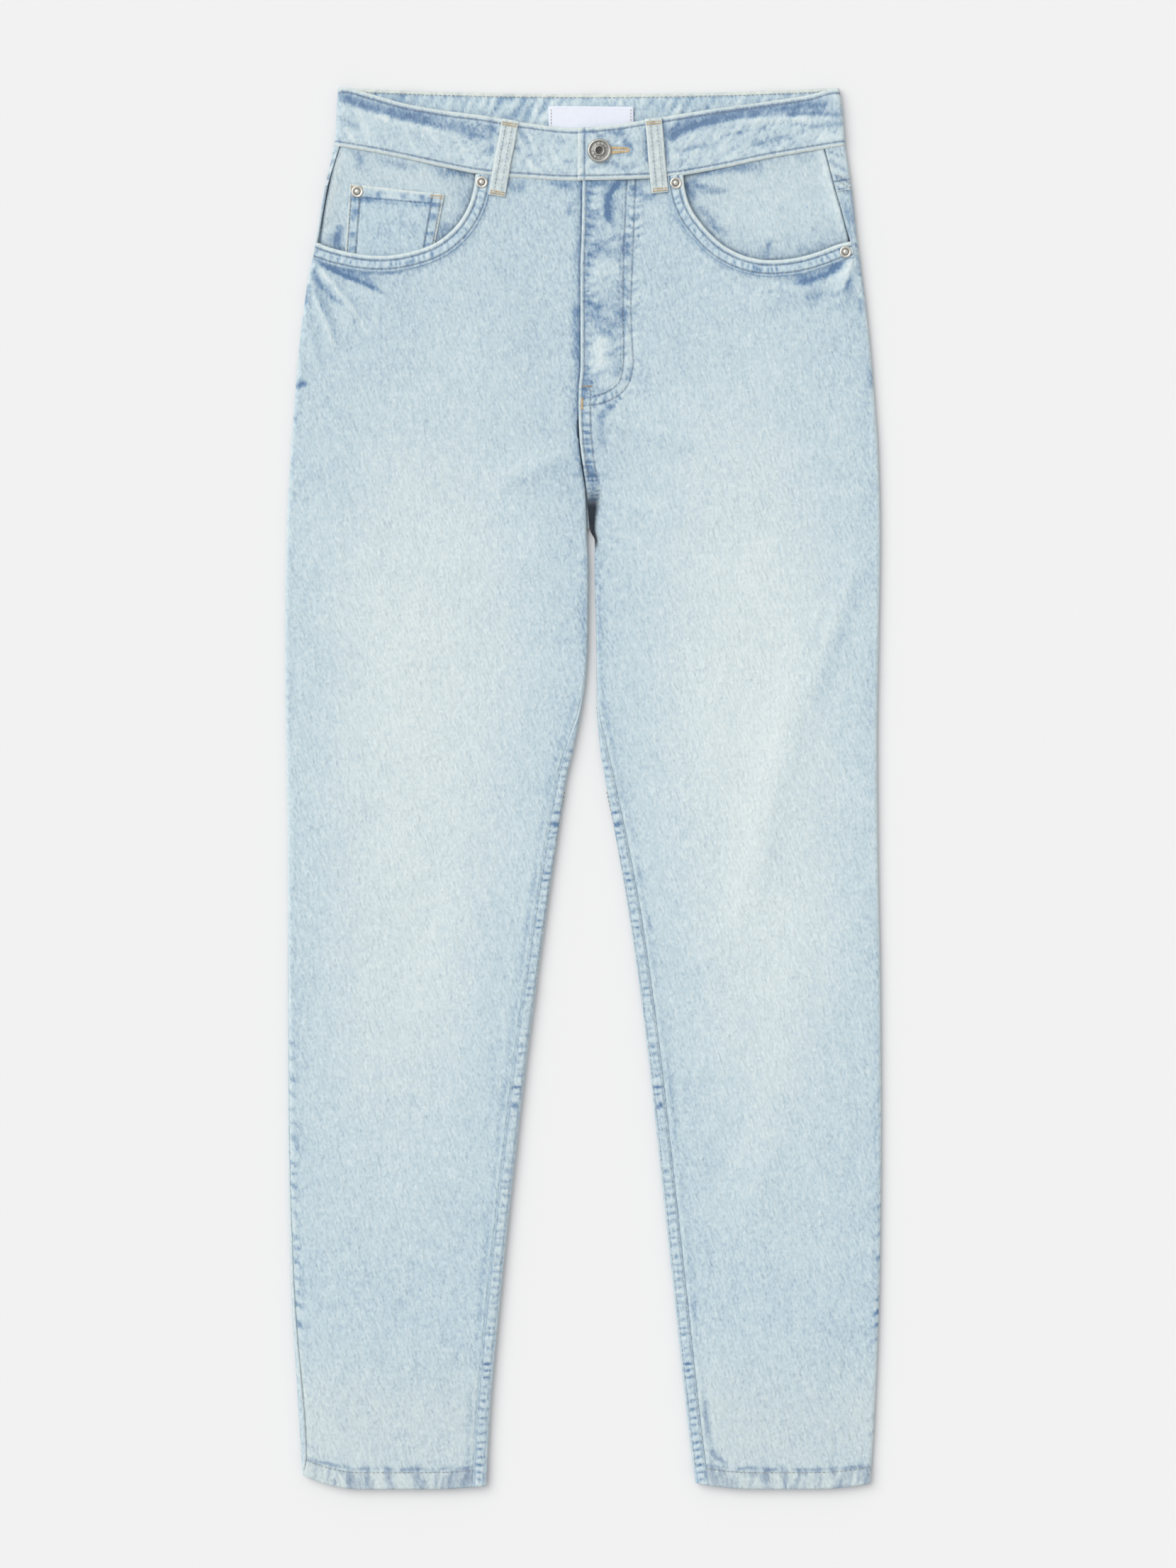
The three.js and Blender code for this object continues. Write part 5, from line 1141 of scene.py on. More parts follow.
# Columns from the outer seam on the top side, underneath, to the inner seam, on rows whose height may depend
# on x: a few rounds of y = rowHeight(x), x = underneath(y) settle them
def backGrid(side, rows, rowHeight, close, flatCount=61):
    count = flatCount + close[0] + close[1]
    x = np.full((len(rows), count), sideEdge[side](300.0))
    x = x + inward[side] * np.linspace(0, 200, count)[None, :]
    nz = -np.ones_like(x)
    row = rows[:, None]
    for _ in range(5):
        y = rowHeight(row, x, nz)
        s = sectionAt(side, y)
        split = y > cut["crotchY"]
        flat = np.abs(np.where(split, cut["seatX"], s["fold"]) - s["outer"]) - edgeRadius
        start = -arcTo(wrapCurve[side + "Outer"](y))
        finish = quarterTurn + flat + np.where(split, 0, quarterTurn + arcTo(wrapCurve[side + "Inner"](y)))
        order = np.arange(count)[None, :]
        a = np.clip(order / close[0], 0, 1)
        b = np.clip((order - close[0]) / (flatCount - 1), 0, 1)
        c = np.clip((order - close[0] - flatCount + 1) / close[1], 0, 1)
        along = np.where(order < close[0], blend(start, quarterTurn, a ** 1.1),
                         np.where(c > 0, blend(quarterTurn + flat, finish, 1 - (1 - c) ** 1.1),
                                  quarterTurn + flat * b))
        x, z, nx, nz = underneath(s, along)
    return x, y, z, nx, nz, along, start, finish


# Outer and inner surface of a back piece, kept just above the table
def backWalls(x, y, z, nx, nz, height, lift):
    outer = offset(x, y, z, nx, nz, height, lift)
    outer[..., 2] = np.maximum(outer[..., 2], 0.02)
    return outer, offset(x, y, z, nx, nz, -cut["wall"], lift)


# Rows run from the yoke seam down to the hem
def backPanel(side):
    top, closeRows = back["sideTop"], 3.0  # the uppermost rows follow the yoke seam
    rows = fitToFour(rowsOf([(top + closeRows, top, 0.75), (top, 80, 2.3), (80, -480, 1.6),
                             (-480, cut["hemY"], 0.9)]))

    def rowHeight(row, x, nz):
        return np.where(row > top, blend(top, yokeSeam(x), (row - top) / closeRows), row) + 0 * x

    x, y, z, nx, nz, along, start, finish = backGrid(side, rows, rowHeight, (10, 18))
    y = downToHem(side, x, y)
    onTop = nz > 0
    fellOut = (along - start, np.where(y < cut["backBandSeamY"], wrapCurve[side + "Outer"](y), 0))
    fellIn = (finish - along, np.where(y < cut["crotchY"], wrapCurve[side + "Inner"](y), 0))
    height, tone, warm = backDetail(side, x, y, onTop, fellIn, fellOut)
    height = np.where(onTop, height * np.clip(nz, 0, 1), np.minimum(height, 0.1))
    lift = underLift(x, y, [patchOutline(side)]) * (nz < -0.9)
    outer, inner = backWalls(x, y, z, nx, nz, height, lift)
    fell = np.where(onTop & (y < 70), fellIn[0], 9.0)
    hem = [np.where(~onTop, row, 9.0) for row in rowsFrom("hem", y - hemLine(side, x))]
    seat = np.where(~onTop & (y > 186) & (np.abs(x - cut["seatX"]) < 16), np.abs(x - cut["seatX"]), 30.0)
    marks = {"tone": tone, "warmth": warm, **nearestRow(*rowsFrom("fell", fell), *hem, *rowsFrom("seat", seat))}
    marks["rowShare"] = marks["rowShare"] * np.where(onTop, 0.4, 1.0)
    return wallPiece(f"back_panel_{side}", outer, inner, marks, denim, "denim", (f"back_{side}",))


backs = {side: backPanel(side) for side in sides}


# Rows run from the waist seam down to the yoke seam
def yokePanel(side):
    rows = fitToFour(np.linspace(1, 0, 21))
    mine = [loopOutline(n) for n in (f"back_{side}", "back_centre")]

    def rowHeight(row, x, nz):
        top = np.where(nz > 0, waistSeam(x) + 1.0, backBandBottom(x))
        return blend(yokeSeam(x), top, row)

    x, y, z, nx, nz, along, start, _ = backGrid(side, rows, rowHeight, (16, 4))
    onTop = nz > 0
    up = y - yokeSeam(x)
    tone = 0.62 + 0.08 * layeredNoise(x, y, 16, 91) + np.where(onTop, 0.04, 0)
    tone += 0.16 * bell(up - 1.2, 1.6) - 0.14 * bell(up - 9, 3)
    tone -= 0.1 * bell(y - np.where(onTop, waistSeam(x), 455), 4)
    tone -= onTop * 0.3 * smoothStep(0.0, 0.7, pucker(y, along - start - 4, 8, 8, 93))
    tone += onTop * 0.14 * bell(along - start - 0.6, 1.0)
    height = 0.05 * layeredNoise(x, y, 13, 94) + onTop * (0.3 * bell(along - start - 0.9, 0.9))
    height += 0.25 * bell(up - 1.4, 1.4) * np.where(onTop, 1, -0.3) - 0.2 * bell(up - 2.6, 0.6)
    lift = underLift(x, y, mine) * (nz < -0.9)
    outer, inner = backWalls(x, y, z, nx, nz, height, lift)
    marks = {"tone": tone, "warmth": 0.1 * onTop, **nearestRow(*rowsFrom("yoke", up))}
    return wallPiece(f"back_yoke_{side}", outer, inner, marks, denim, "denim", (f"yoke_{side}",))


yokes = {side: yokePanel(side) for side in sides}
print("stage: legs and yokes done")

# The hip pieces behind the pocket openings
hip = {"wall": 1.2, "top": 2.9, "rise": 1.8, "riseSpan": 30.0, "sideSpan": 12.0, "under": 8.0, "past": 12.0}
openingCurve = {s: curveThrough(pocketRows[s]) for s in sides}


# A hip piece's outer seam, where the back comes over
def hipSeam(side, y):
    return sideEdge[side](y) + inward[side] * (np.maximum(wrapCurve[side + "Outer"](y), edgeRadius) + 0.1)


# Height of a hip piece: low behind the opening, rising to the waist seam and to the side seam
def hipTop(side, x, y):
    corner = pocketRows[side][-1]
    outside = np.maximum(0, np.abs(x) - abs(corner[0]))
    waist = (1 - smoothStep(0, hip["riseSpan"], waistSeam(x) - y)) * smoothStep(4, 26, outside)
    sideRise = (1 - smoothStep(0, hip["sideSpan"], np.abs(x - hipSeam(side, y)))) * smoothStep(394, 412, y)
    return hip["top"] + hip["rise"] * np.maximum(waist, sideRise)


# Path, width, strength
hipBlue = {
    "right": [
        ([(-173, 402), (-174.5, 390), (-173, 379)], 2.6, 0.5), ([(-178, 396), (-179, 386)], 3.6, 0.2),
        ([(-109, 447), (-100, 437), (-90, 432)], 3.0, 0.3), ([(-98, 440.5), (-88, 437), (-80, 434)], 2.6, 0.36),
        ([(-96, 404), (-101, 396), (-107, 390)], 4.0, 0.2), ([(-163, 452), (-158, 446), (-163, 440)], 3.0, 0.3),
        ([(-150, 448), (-130, 443), (-112, 438)], 2.4, 0.24),
    ],
    "left": [
        ([(75, 434), (82, 428.5), (94, 425), (108, 425)], 2.6, 0.4),
        ([(82, 416), (92, 402), (104, 391)], 2.4, 0.26),
        ([(80, 438), (96, 440), (112, 441), (132, 444)], 3.0, 0.34),
        ([(73, 432), (76, 424), (80, 416)], 2.4, 0.36), ([(150, 448), (160, 447), (168, 449)], 3.0, 0.16),
        # the second mark below is painted shade in a short crease
        ([(120, 441), (130, 437)], 4.0, 0.16), ([(130.5, 378), (131.5, 384), (134.5, 393)], 1.5, 0.36),
    ],
}


# Rows run from the waist seam to a little under the opening, columns from the outer seam inwards
def hipPanel(side):
    way = inward[side]
    corner = pocketRows[side][-1]
    finish = corner[0] + way * hip["past"]
    v, u = np.linspace(0, 1, 41)[:, None], np.linspace(0, 1, 65)[None, :]
    x = blend(hipSeam(side, 456.0) + 0 * v, finish, u)
    for _ in range(6):
        low = openingCurve[side](x - way * hip["past"]) - hip["under"]
        y = blend(waistSeam(x) + 1.0, low, v)
        x = blend(hipSeam(side, y), finish, u)
    z = hipTop(side, x, y) + 0.3 * layeredNoise(x, y, 26, 101) * smoothStep(0, 0.1, u) * smoothStep(0, 0.15, v)
    under = waistSeam(x) - y
    fromSide = np.abs(x - hipSeam(side, y))
    tone = 0.65 + 0.05 * layeredNoise(x, y, 30, 102) + 0.03 * layeredNoise(x, y, 8, 103)
    for mark, strength in streaks(x, y, hipBlue[side]):
        tone, z = tone - strength * mark, z - 0.15 * mark
    tone -= 0.12 * bell(under - 1.0, 3.5) * (0.8 + layeredNoise(x, y, 14, 104))
    z += 0.12 * pucker(x, under - 2, 9, 6, 105)
    tone += 0.14 * bell(fromSide - 3.2, 2.4) - 0.3 * bell(fromSide - 0.2, 0.8)
    z = z + 0.35 * bell(fromSide - 1.8, 1.3)
    # painted shade along the opening, where the front's edge overhangs the hip piece
    away = nearPath(openingPath[side][::2], x, y)[0]
    tone -= 0.1 * bell(away, 4.0) + 0.13 * bell(away, 13.0)
    # painted shade, much darker, just under the opening's edge and in the seam at the outer side
    hollow = 0.3 * bell(np.maximum(away - 0.8, 0), 1.3) + 0.55 * bell(fromSide - 0.1, 0.7)
    outer, inner = stack3(x, y, z), stack3(x, y, z - hip["wall"])
    marks = {"tone": tone, "warmth": 0.08 + 0 * tone, "hollow": hollow}
    return wallPiece(f"hip_panel_{side}", outer, inner, marks, denimInside, "denim_shaded", (f"hip_piece_{side}",))


hips = {side: hipPanel(side) for side in sides}


# A profile carried along a path: at each point of the path, d millimetres to its left and h above ground
def carried(path, profile, ground):
    normals = pathNormals(path)
    d, h = profile[:, 0][None, :], profile[:, 1][None, :]
    x, y = (path[:, [k]] + normals[:, [k]] * d for k in (0, 1))
    return x, y, ground(x, y) + h


# A closed tube of rings, with a fan of faces over each end
def ringFaces(rings, around):
    index = np.arange(rings * around).reshape(rings, around)
    wrapped = np.concatenate([index, index[:, :1]], axis=1)
    first, last = rings * around, rings * around + 1
    fan = lambda ring, centre, flip: np.stack([ring[:-1], ring[1:], np.full(around, centre)], -1)[:, ::flip]
    return [gridQuads(wrapped), fan(wrapped[0], first, -1), fan(wrapped[-1], last, 1)]


# A piece made of such a tube; x, y and z have a row for each ring
def ringPiece(name, x, y, z, marks, material, slot, replaced=()):
    points = np.stack([x, y, z], -1)
    ends = np.stack([points[0].mean(0), points[-1].mean(0)])
    full = {k: np.r_[np.ravel(v), v[0].mean(), v[-1].mean()] for k, v in marks.items()}
    faces = ringFaces(*x.shape)
    return makePiece(name, np.vstack([points.reshape(-1, 3), ends]), faces, material, slot, replaced, full)


# The turned and double-stitched edge of each front pocket: depth below the edge roll, welt, two grooves
pocketProfile = np.array([
    (0.9, -1.3), (0.1, -0.9), (-0.15, -0.35), (0.0, 0.2), (0.35, 0.65), (0.95, 0.95), (1.7, 1.05), (2.5, 0.98),
    (3.1, 0.72), (3.6, 0.6), (4.1, 0.74), (4.9, 0.92), (5.8, 0.96), (6.7, 0.96), (7.6, 0.93), (8.5, 0.88),
    (9.1, 0.66), (9.6, 0.56), (10.1, 0.66), (10.9, 0.7), (11.5, 0.5), (12.0, 0.1), (12.2, -0.5), (6.0, -0.9),
])


# Height of the front below the pocket's edge
def pocketGround(side):
    return lambda x, y: 2 * edgeRadius + topRelief(side, x, y)


# The profile carried round the opening, with a ladder of puckers between its two rows
def pocketEdge(side):
    path = smoothPath(pocketRows[side], 1.1)[:-1]
    profile = pocketProfile * [-inward[side], 1]
    x, y, z = carried(path, profile, pocketGround(side))
    x = -inward[side] * np.minimum(np.abs(x), np.abs(sideEdge[side](y)) - 0.7)
    s, d = pathLength(path)[:, None] + 0 * x, np.abs(profile[:, 0])[None, :] + 0 * x
    ladder = pucker(s, d - 6.6, 4.9, 2.8, 111, lean=0.25)
    isOpen = profile[:, 1][None, :] > 0.3
    z = z + isOpen * (0.2 * ladder + 0.1 * pucker(s, d - 1.5, 7, 2, 112))
    tone = 0.6 + 0.26 * bell(d - 0.9, 1.15)
    tone = tone + 0.14 * smoothStep(0, 0.7, ladder) - 0.3 * smoothStep(0.0, 0.7, -ladder) * bell(d - 6.6, 2.8)
    tone = tone - 0.26 * smoothStep(10.4, 11.6, d) + 0.06 * layeredNoise(s, d, 20, 113)
    tone = np.where(isOpen, tone, 0.45)
    marks = {"tone": tone, "warmth": 0.26 * bell(d - 0.9, 1.2), **nearestRow(*rowsFrom("pocket", d))}
    return ringPiece(f"pocket_edge_{side}", x, y, z, marks, denimTrim, "denim_trim")


pocketEdges = {side: pocketEdge(side) for side in sides}

# The coin pocket: u runs from its outer to its inner side, v down from its top edge
coin = {"topOuter": (-166.1, 430.0), "topInner": (-98.5, 422.2), "bottomInner": (-106.8, 379.5),
        "bottomOuter": (-169.9, 374.0), "width": 66.0, "depth": 52.0, "hem": 9.6, "wall": 1.0}
# Path, width, strength
coinBlue = [([(-146, 425), (-145, 418)], 2.4, 0.3), ([(-128, 424), (-127, 418)], 2.2, 0.3),
            ([(-115, 423), (-114, 416)], 2.2, 0.3), ([(-109, 421), (-108, 415)], 2.0, 0.3),
            ([(-156, 419), (-149, 421)], 2.4, 0.2)]


# Place of u, v: the corners blended both ways, lying on the hip piece
def coinPlace(u, v):
    x, y = (blend(blend(coin["topOuter"][k], coin["topInner"][k], u),
                  blend(coin["bottomOuter"][k], coin["bottomInner"][k], u), v) for k in (0, 1))
    return x, y, hipTop("right", x, y) + cut["layGap"] + coin["wall"]


# Raised hem, rolled rim, a groove at each row and puckers along its sides
def coinPocket():
    v = fitToFour(np.r_[0, 0.006, 0.015, np.linspace(0.03, 1, 43)])[:, None]
    u = fitToFour(np.r_[0, 0.006, 0.015, np.linspace(0.03, 0.97, 51), 0.985, 0.994, 1])[None, :]
    x, y, z = coinPlace(u, v)
    down = v * coin["depth"] + 0 * u
    side = np.minimum(u * coin["width"] + 0 * v, (1 - u) * coin["width"] + 0 * v)
    rim = np.minimum(side, down)
    onHem = smoothStep(coin["hem"] + 0.4, coin["hem"] - 0.4, down)
    height = 0.45 * onHem + 0.15 * layeredNoise(x, y, 14, 121) - 0.8 * edgeRoll(rim, 0.9)
    first, second = rowsFrom("coinSide", side)
    height -= 0.22 * bell(down - rowAt["coinHem"], 0.6) + 0.2 * bell(first, 0.6) * (down > 2)
    height -= 0.16 * bell(second, 0.6)
    cells = pucker(down, side - 5, 9.5, 4.5, 122, lean=0.1)
    height += 0.16 * cells
    tone = 0.58 + 0.07 * layeredNoise(x, y, 12, 123) + 0.26 * bell(rim - 0.8, 1.1)
    tone -= 0.34 * smoothStep(0.1, 0.8, cells) * bell(side - 5, 3.6) * (down > 9)
    tone -= 0.16 * bell(down - 10.6, 1.6) * (1 + layeredNoise(x, y, 6, 124)) - 0.06 * onHem
    for mark, strength in streaks(x, y, coinBlue, seed=125, fadeIn=0.2, fadeOut=0.2):
        tone -= strength * mark
    outer, inner = stack3(x, y, z + height), stack3(x, y, z - coin["wall"])
    marks = {"tone": tone, "warmth": 0.25 * bell(rim - 0.8, 1.2),
             **nearestRow(*rowsFrom("coinHem", down), first, second)}
    return wallPiece("coin_patch", outer, inner, marks, denimInside, "denim_shaded", ("coin_pocket",))


coinPatch = coinPocket()

# The waistband: two fronts that lap at the fly, and the back, whose inside shows above them
band = {"lift": 2.3, "flat": 32, "fade": 62, "end": {"right": 30.0, "left": -3.9}, "overhang": 0.6,
        "tone": {"right": 0.67, "left": 0.64}, "slant": {"right": -1.05, "left": 0.9},
        "hole": [(19.0, 453.0), (32.0, 453.2)]}
# Path, width, strength
bandBlue = {
    "right": [
        ([(-178, 493), (-165, 489.5), (-153, 485.5), (-131, 480.5), (-106, 475), (-81, 469.5), (-58, 465)], 4.6,
         0.38),
        ([(-176, 490), (-150, 482.5), (-128, 476.5), (-104, 471), (-80, 464.5), (-62, 460)], 2.0, 0.24),
        ([(-66, 478), (-64, 466), (-65.5, 448)], 2.2, 0.34), ([(-176, 478), (-166, 472), (-156, 468)], 2.0, 0.16),
        ([(-46, 470), (-42, 462), (-36, 456)], 1.6, 0.3), ([(-52, 456), (-44, 453)], 1.6, 0.3),
        ([(-40, 450), (-32, 447)], 1.8, 0.2), ([(-20, 462), (-12, 458)], 2.0, 0.16),
        ([(-14, 446), (-7, 445)], 1.6, 0.3),
    ],
    "left": [
        ([(58, 463), (70, 470), (88, 476), (118, 481), (160, 484.5), (186, 486)], 4.4, 0.46),
        ([(60, 459), (72, 467), (88, 472), (112, 476.5), (134, 478)], 2.0, 0.3),
        ([(96, 462), (112, 466), (132, 470)], 1.8, 0.2), ([(66, 452), (84, 456), (98, 458)], 1.8, 0.2),
        ([(6, 440), (16, 444), (26, 443)], 1.8, 0.3), ([(6, 468), (12, 462), (18, 466), (28, 464)], 1.6, 0.26),
        ([(120, 456), (138, 462), (152, 463)], 1.6, 0.2), ([(60, 460), (66, 466), (80, 471), (100, 475)], 2.2, 0.26),
        ([(143, 478), (162, 479.5), (187, 478.5)], 1.7, 0.4), ([(160, 469.5), (172, 471.5), (187, 472)], 1.6, 0.26),
        # kept blue with painted shadow of the left belt loop: the marks from (26, 469) on this line and from (46,
        # 470) on the next
        ([(56, 478), (58, 462), (61, 440)], 1.8, 0.34), ([(26, 469), (30, 460), (36, 455)], 2.2, 0.36),
        ([(46, 470), (45, 455), (47, 442)], 2.4, 0.4), ([(-1, 466), (2, 470), (10, 470)], 1.8, 0.2),
        ([(38, 444), (30, 440), (22, 442)], 2.6, 0.2),
    ],
}
# Path and width of the long crease in each front
bandRidge = {"right": ([(-174, 484), (-150, 478.5), (-120, 470), (-84, 461)], 2.2),
             "left": ([(74, 468), (100, 473), (140, 475.5), (184, 474.5)], 1.8)}
nowhere = 99.0  # distance to an end or a hole that a piece doesn't have


# Plain height of a waistband front; the left one rises where it laps over the right one
def bandHeight(side, x):
    lap = band["lift"] * (1 - smoothStep(band["flat"], band["fade"], x)) if side == "left" else 0
    return 2 * cut["bandRadius"] + lap


# Relief, tone and warmth of a front: rubbed cracks between the rows, the marks, the buttonhole's dip, rolled
# edges, a groove at each row and puckers along both edges
def bandDetail(side, x, y, up, down, fromEnd):
    crack = crackle(x, y, band["slant"][side], 4.2, 131 + len(side))
    hole = nearPath(band["hole"], x, y)[0] if side == "left" else nowhere + 0 * x
    inner = smoothStep(3, 6, up) * smoothStep(3.5, 7, down) * smoothStep(2.5, 6, hole)
    line = bell(crack - 0.04, 0.1) * (0.35 + 0.65 * smoothStep(-0.25, 0.3, layeredNoise(x, y, 24, 133)))
    tone = band["tone"][side] + 0.05 * layeredNoise(x, y, 30, 134)
    tone += inner * (0.2 * np.clip(crack, 0, 1) - 0.14 * np.clip(-crack, 0, 1) - 0.26 * line)
    height = inner * (0.5 * np.abs(crack) - 0.3 * line) + 0.25 * layeredNoise(x, y, 24, 135)
    for mark, strength in streaks(x, y, bandBlue[side], fadeIn=0.05, fadeOut=0.15, rag=0.2):
        tone, height = tone - strength * mark, height - 0.3 * mark
    ridge = streak(x, y, *bandRidge[side], seed=8)
    tone, height = tone + 0.16 * ridge, height + 0.4 * ridge
    tone, height = tone - 0.3 * bell(hole - 3.2, 1.2), height * smoothStep(1.5, 6, hole)
    rim = np.minimum(np.minimum(up, down), fromEnd)
    height -= 1.1 * edgeRoll(rim, 1.6)
    for row in bandRows(up, down, fromEnd):
        height -= 0.28 * bell(row, 0.7)
        tone -= 0.08 * bell(row, 0.8)
    height += 0.14 * pucker(x, down - 1.5, 6.0, 3.5, 136) + 0.14 * pucker(x, up - 1.5, 6.0, 3.5, 137)
    tone += 0.16 * bell(np.minimum(rim, 9) - 0.8, 0.9)
    tone -= 0.1 * np.clip(pucker(x, up - 5, 7, 3, 138), 0, 1) + 0.08 * np.clip(pucker(x, down - 6, 7, 3, 139), 0, 1)
    return height, tone, 0.08 + 0.3 * bell(rim - 0.9, 1.1)


# Distances to the three stitched rows of a front
def bandRows(up, down, fromEnd):
    return [*rowsFrom("bandTop", down), *rowsFrom("bandSeam", up), *rowsFrom("bandEnd", fromEnd)]


# Distances of a place on a front from its seam, its top edge and its end over the fly
def bandEdges(side, x, y):
    fromEnd = np.abs(x - band["end"][side]) if side == "left" else nowhere + 0 * x
    return y - (waistSeam(x) - band["overhang"]), bandTop(x) - y, fromEnd


# Columns turn a quarter round the side fold, then run level to the end at the fly
def frontBand(side):
    way, radius = inward[side], cut["bandRadius"]
    v = fitToFour(np.r_[0, 0.008, 0.02, 0.038, np.linspace(0.06, 0.94, 33), 0.962, 0.98, 0.992, 1])[:, None]
    edge = bandEdge[side](blend(cut["backBandSeamY"], cut["bandTopY"], v))
    turn = np.linspace(0, np.pi / 2, 9)[None, :]
    steps = np.r_[np.linspace(0, 0.992, 118)[1:], 0.9955, 0.998, 1.0][None, :]
    x = np.concatenate([edge + way * radius * (1 - np.cos(turn)),
                        blend(edge + way * radius, band["end"][side], steps)], axis=1)
    a = np.r_[turn[0], np.full(steps.shape[1], np.pi / 2)][None, :]
    y = blend(waistSeam(x) - band["overhang"], bandTop(x), v)
    nx, nz = -way * np.cos(a) + 0 * x, np.sin(a) + 0 * x
    z = radius * (1 + nz) + bandHeight(side, x) - 2 * radius
    edges = bandEdges(side, x, y)
    height, tone, warm = bandDetail(side, x, y, *edges)
    outer, inner = offset(x, y, z, nx, nz, height), offset(x, y, z, nx, nz, -cut["bandWall"])
    marks = {"tone": tone, "warmth": warm, **nearestRow(*bandRows(*edges))}
    return wallPiece(f"waist_front_{side}", outer, inner, marks, denimTrim, "denim_trim",
                     (f"waistband_front_{side}",))


# Height of a waistband front's finished surface
def bandSurface(side, x, y):
    return bandHeight(side, x) + bandDetail(side, x, y, *bandEdges(side, x, y))[0]


waistFronts = {side: frontBand(side) for side in sides}


# One wall from side fold to side fold: its outer grid lies underneath, its inner one shows above the fronts
def backBand():
    radius, seamLap = cut["bandRadius"], 0.4
    v = np.r_[0, 0.008, 0.02, 0.04, np.linspace(0.07, 0.94, 32), 0.965, 0.984, 0.995, 1][:, None]
    level = blend(cut["backBandSeamY"], cut["bandTopY"], v)
    right, left = bandEdge["right"](level), bandEdge["left"](level)
    turn = np.linspace(0, np.pi / 2, 8)[None, :]
    flats = np.linspace(0, 1, 211)[1:-1][None, :]
    x = np.concatenate([right + radius * (1 - np.cos(turn)), blend(right + radius, left - radius, flats),
                        left - radius * (1 - np.cos(turn[:, ::-1]))], axis=1)
    a = np.r_[turn[0], np.full(flats.shape[1], np.pi / 2), turn[0, ::-1]][None, :] + 0 * x
    nx, nz = -np.cos(a) * np.sign(5 - x), -np.sin(a)
    low, high = backBandBottom(x) - seamLap, backBandTop(x)
    y, z = blend(low, high, v), radius * (1 + nz)
    up, down = y - low, high - y
    rim = np.minimum(up, down)
    roll = 0.9 * edgeRoll(rim, 1.5)
    slant = crackle(x, y, 1.2, 3.0, 141)
    lift = underLift(x, y, [loopOutline(name) for name in loopRows if name.startswith("back")]) * (nz < -0.9)
    under = 0.2 * np.clip(-slant, 0, 1) + roll + lift
    outer = stack3(x - nx * under, y, np.maximum(z - nz * under, 0.02))
    wall = blend(cut["bandWall"], cut["backBandWall"], smoothStep(-0.7, -1, nz))
    wall = np.where(nz < -0.98, cut["backBandWall"], wall)
    # the inside, seen above the fronts: crossed by many upright wrinkles and edged with a stitched turning
    wrinkle = 0.6 * pucker(x, down - 12, 9.5, 40, 143, lean=0.55) + 0.9 * crackle(x, y, 1.2, 4.2, 146)
    inside = wall - roll + 0.35 * wrinkle * smoothStep(1.5, 6, down) - 0.3 * bell(down - 2.6, 0.6)
    inner = offset(x, y, z, nx, nz, -inside)
    rows = nearestRow(*rowsFrom("backBandTop", down), *rowsFrom("backBandSeam", up))
    edgeTone = 0.2 * bell(down - 1.0, 1.2) - 0.2 * bell(down - rowAt["backBandTop"], 0.8)
    toneUnder = 0.62 + 0.2 * np.clip(slant, 0, 1) - 0.3 * np.clip(-slant - 0.1, 0, 1) + edgeTone
    shade = streak(x, y, [(-176, 497), (-150, 490), (-120, 484), (-100, 481)], 5.0, 0.05, 0.4, seed=9)
    toneIn = 0.58 + 0.24 * smoothStep(0.05, 0.75, wrinkle) - 0.22 * smoothStep(0.1, 0.75, -wrinkle) - 0.16 * shade
    toneIn += 0.04 * layeredNoise(x, y, 12, 145) + 0.2 * bell(down - 1.0, 1.2)
    points, faces = clothWall(outer, inner, 1)
    marks = {"tone": (toneUnder, toneIn), "warmth": (0 * x, 0.7 * bell(down - 1.0, 1.1)),
             "row": (rows["row"], rows["row"]), "rowShare": (rows["rowShare"], 0.3 * rows["rowShare"])}
    marks = {key: np.concatenate([np.ravel(values) for values in pair]) for key, pair in marks.items()}
    return makePiece("waist_back", points, faces, denimInside, "denim_shaded", ("waistband_back",), marks)


waistBack = backBand()


# What a front loop lies on: the waistband, then the front panel below the waist seam, bowed by sin(pi v)
def loopBed(name, x, y, v, seamY):
    x0, y0, _, y1 = loopRows[name]
    side, seam = "right" if x0 < 0 else "left", (y0 - waistSeam(x0)) / (y0 - y1)
    low = 2 * edgeRadius + topRelief(side, x, np.minimum(y, seamY - 2)) + 0.2
    ground = blend(bandHeight(side, x), low, smoothStep(seam - 0.02, seam + 0.14, v))
    return ground + cut["layGap"] + loopShape["bow"] * np.sin(np.pi * v)


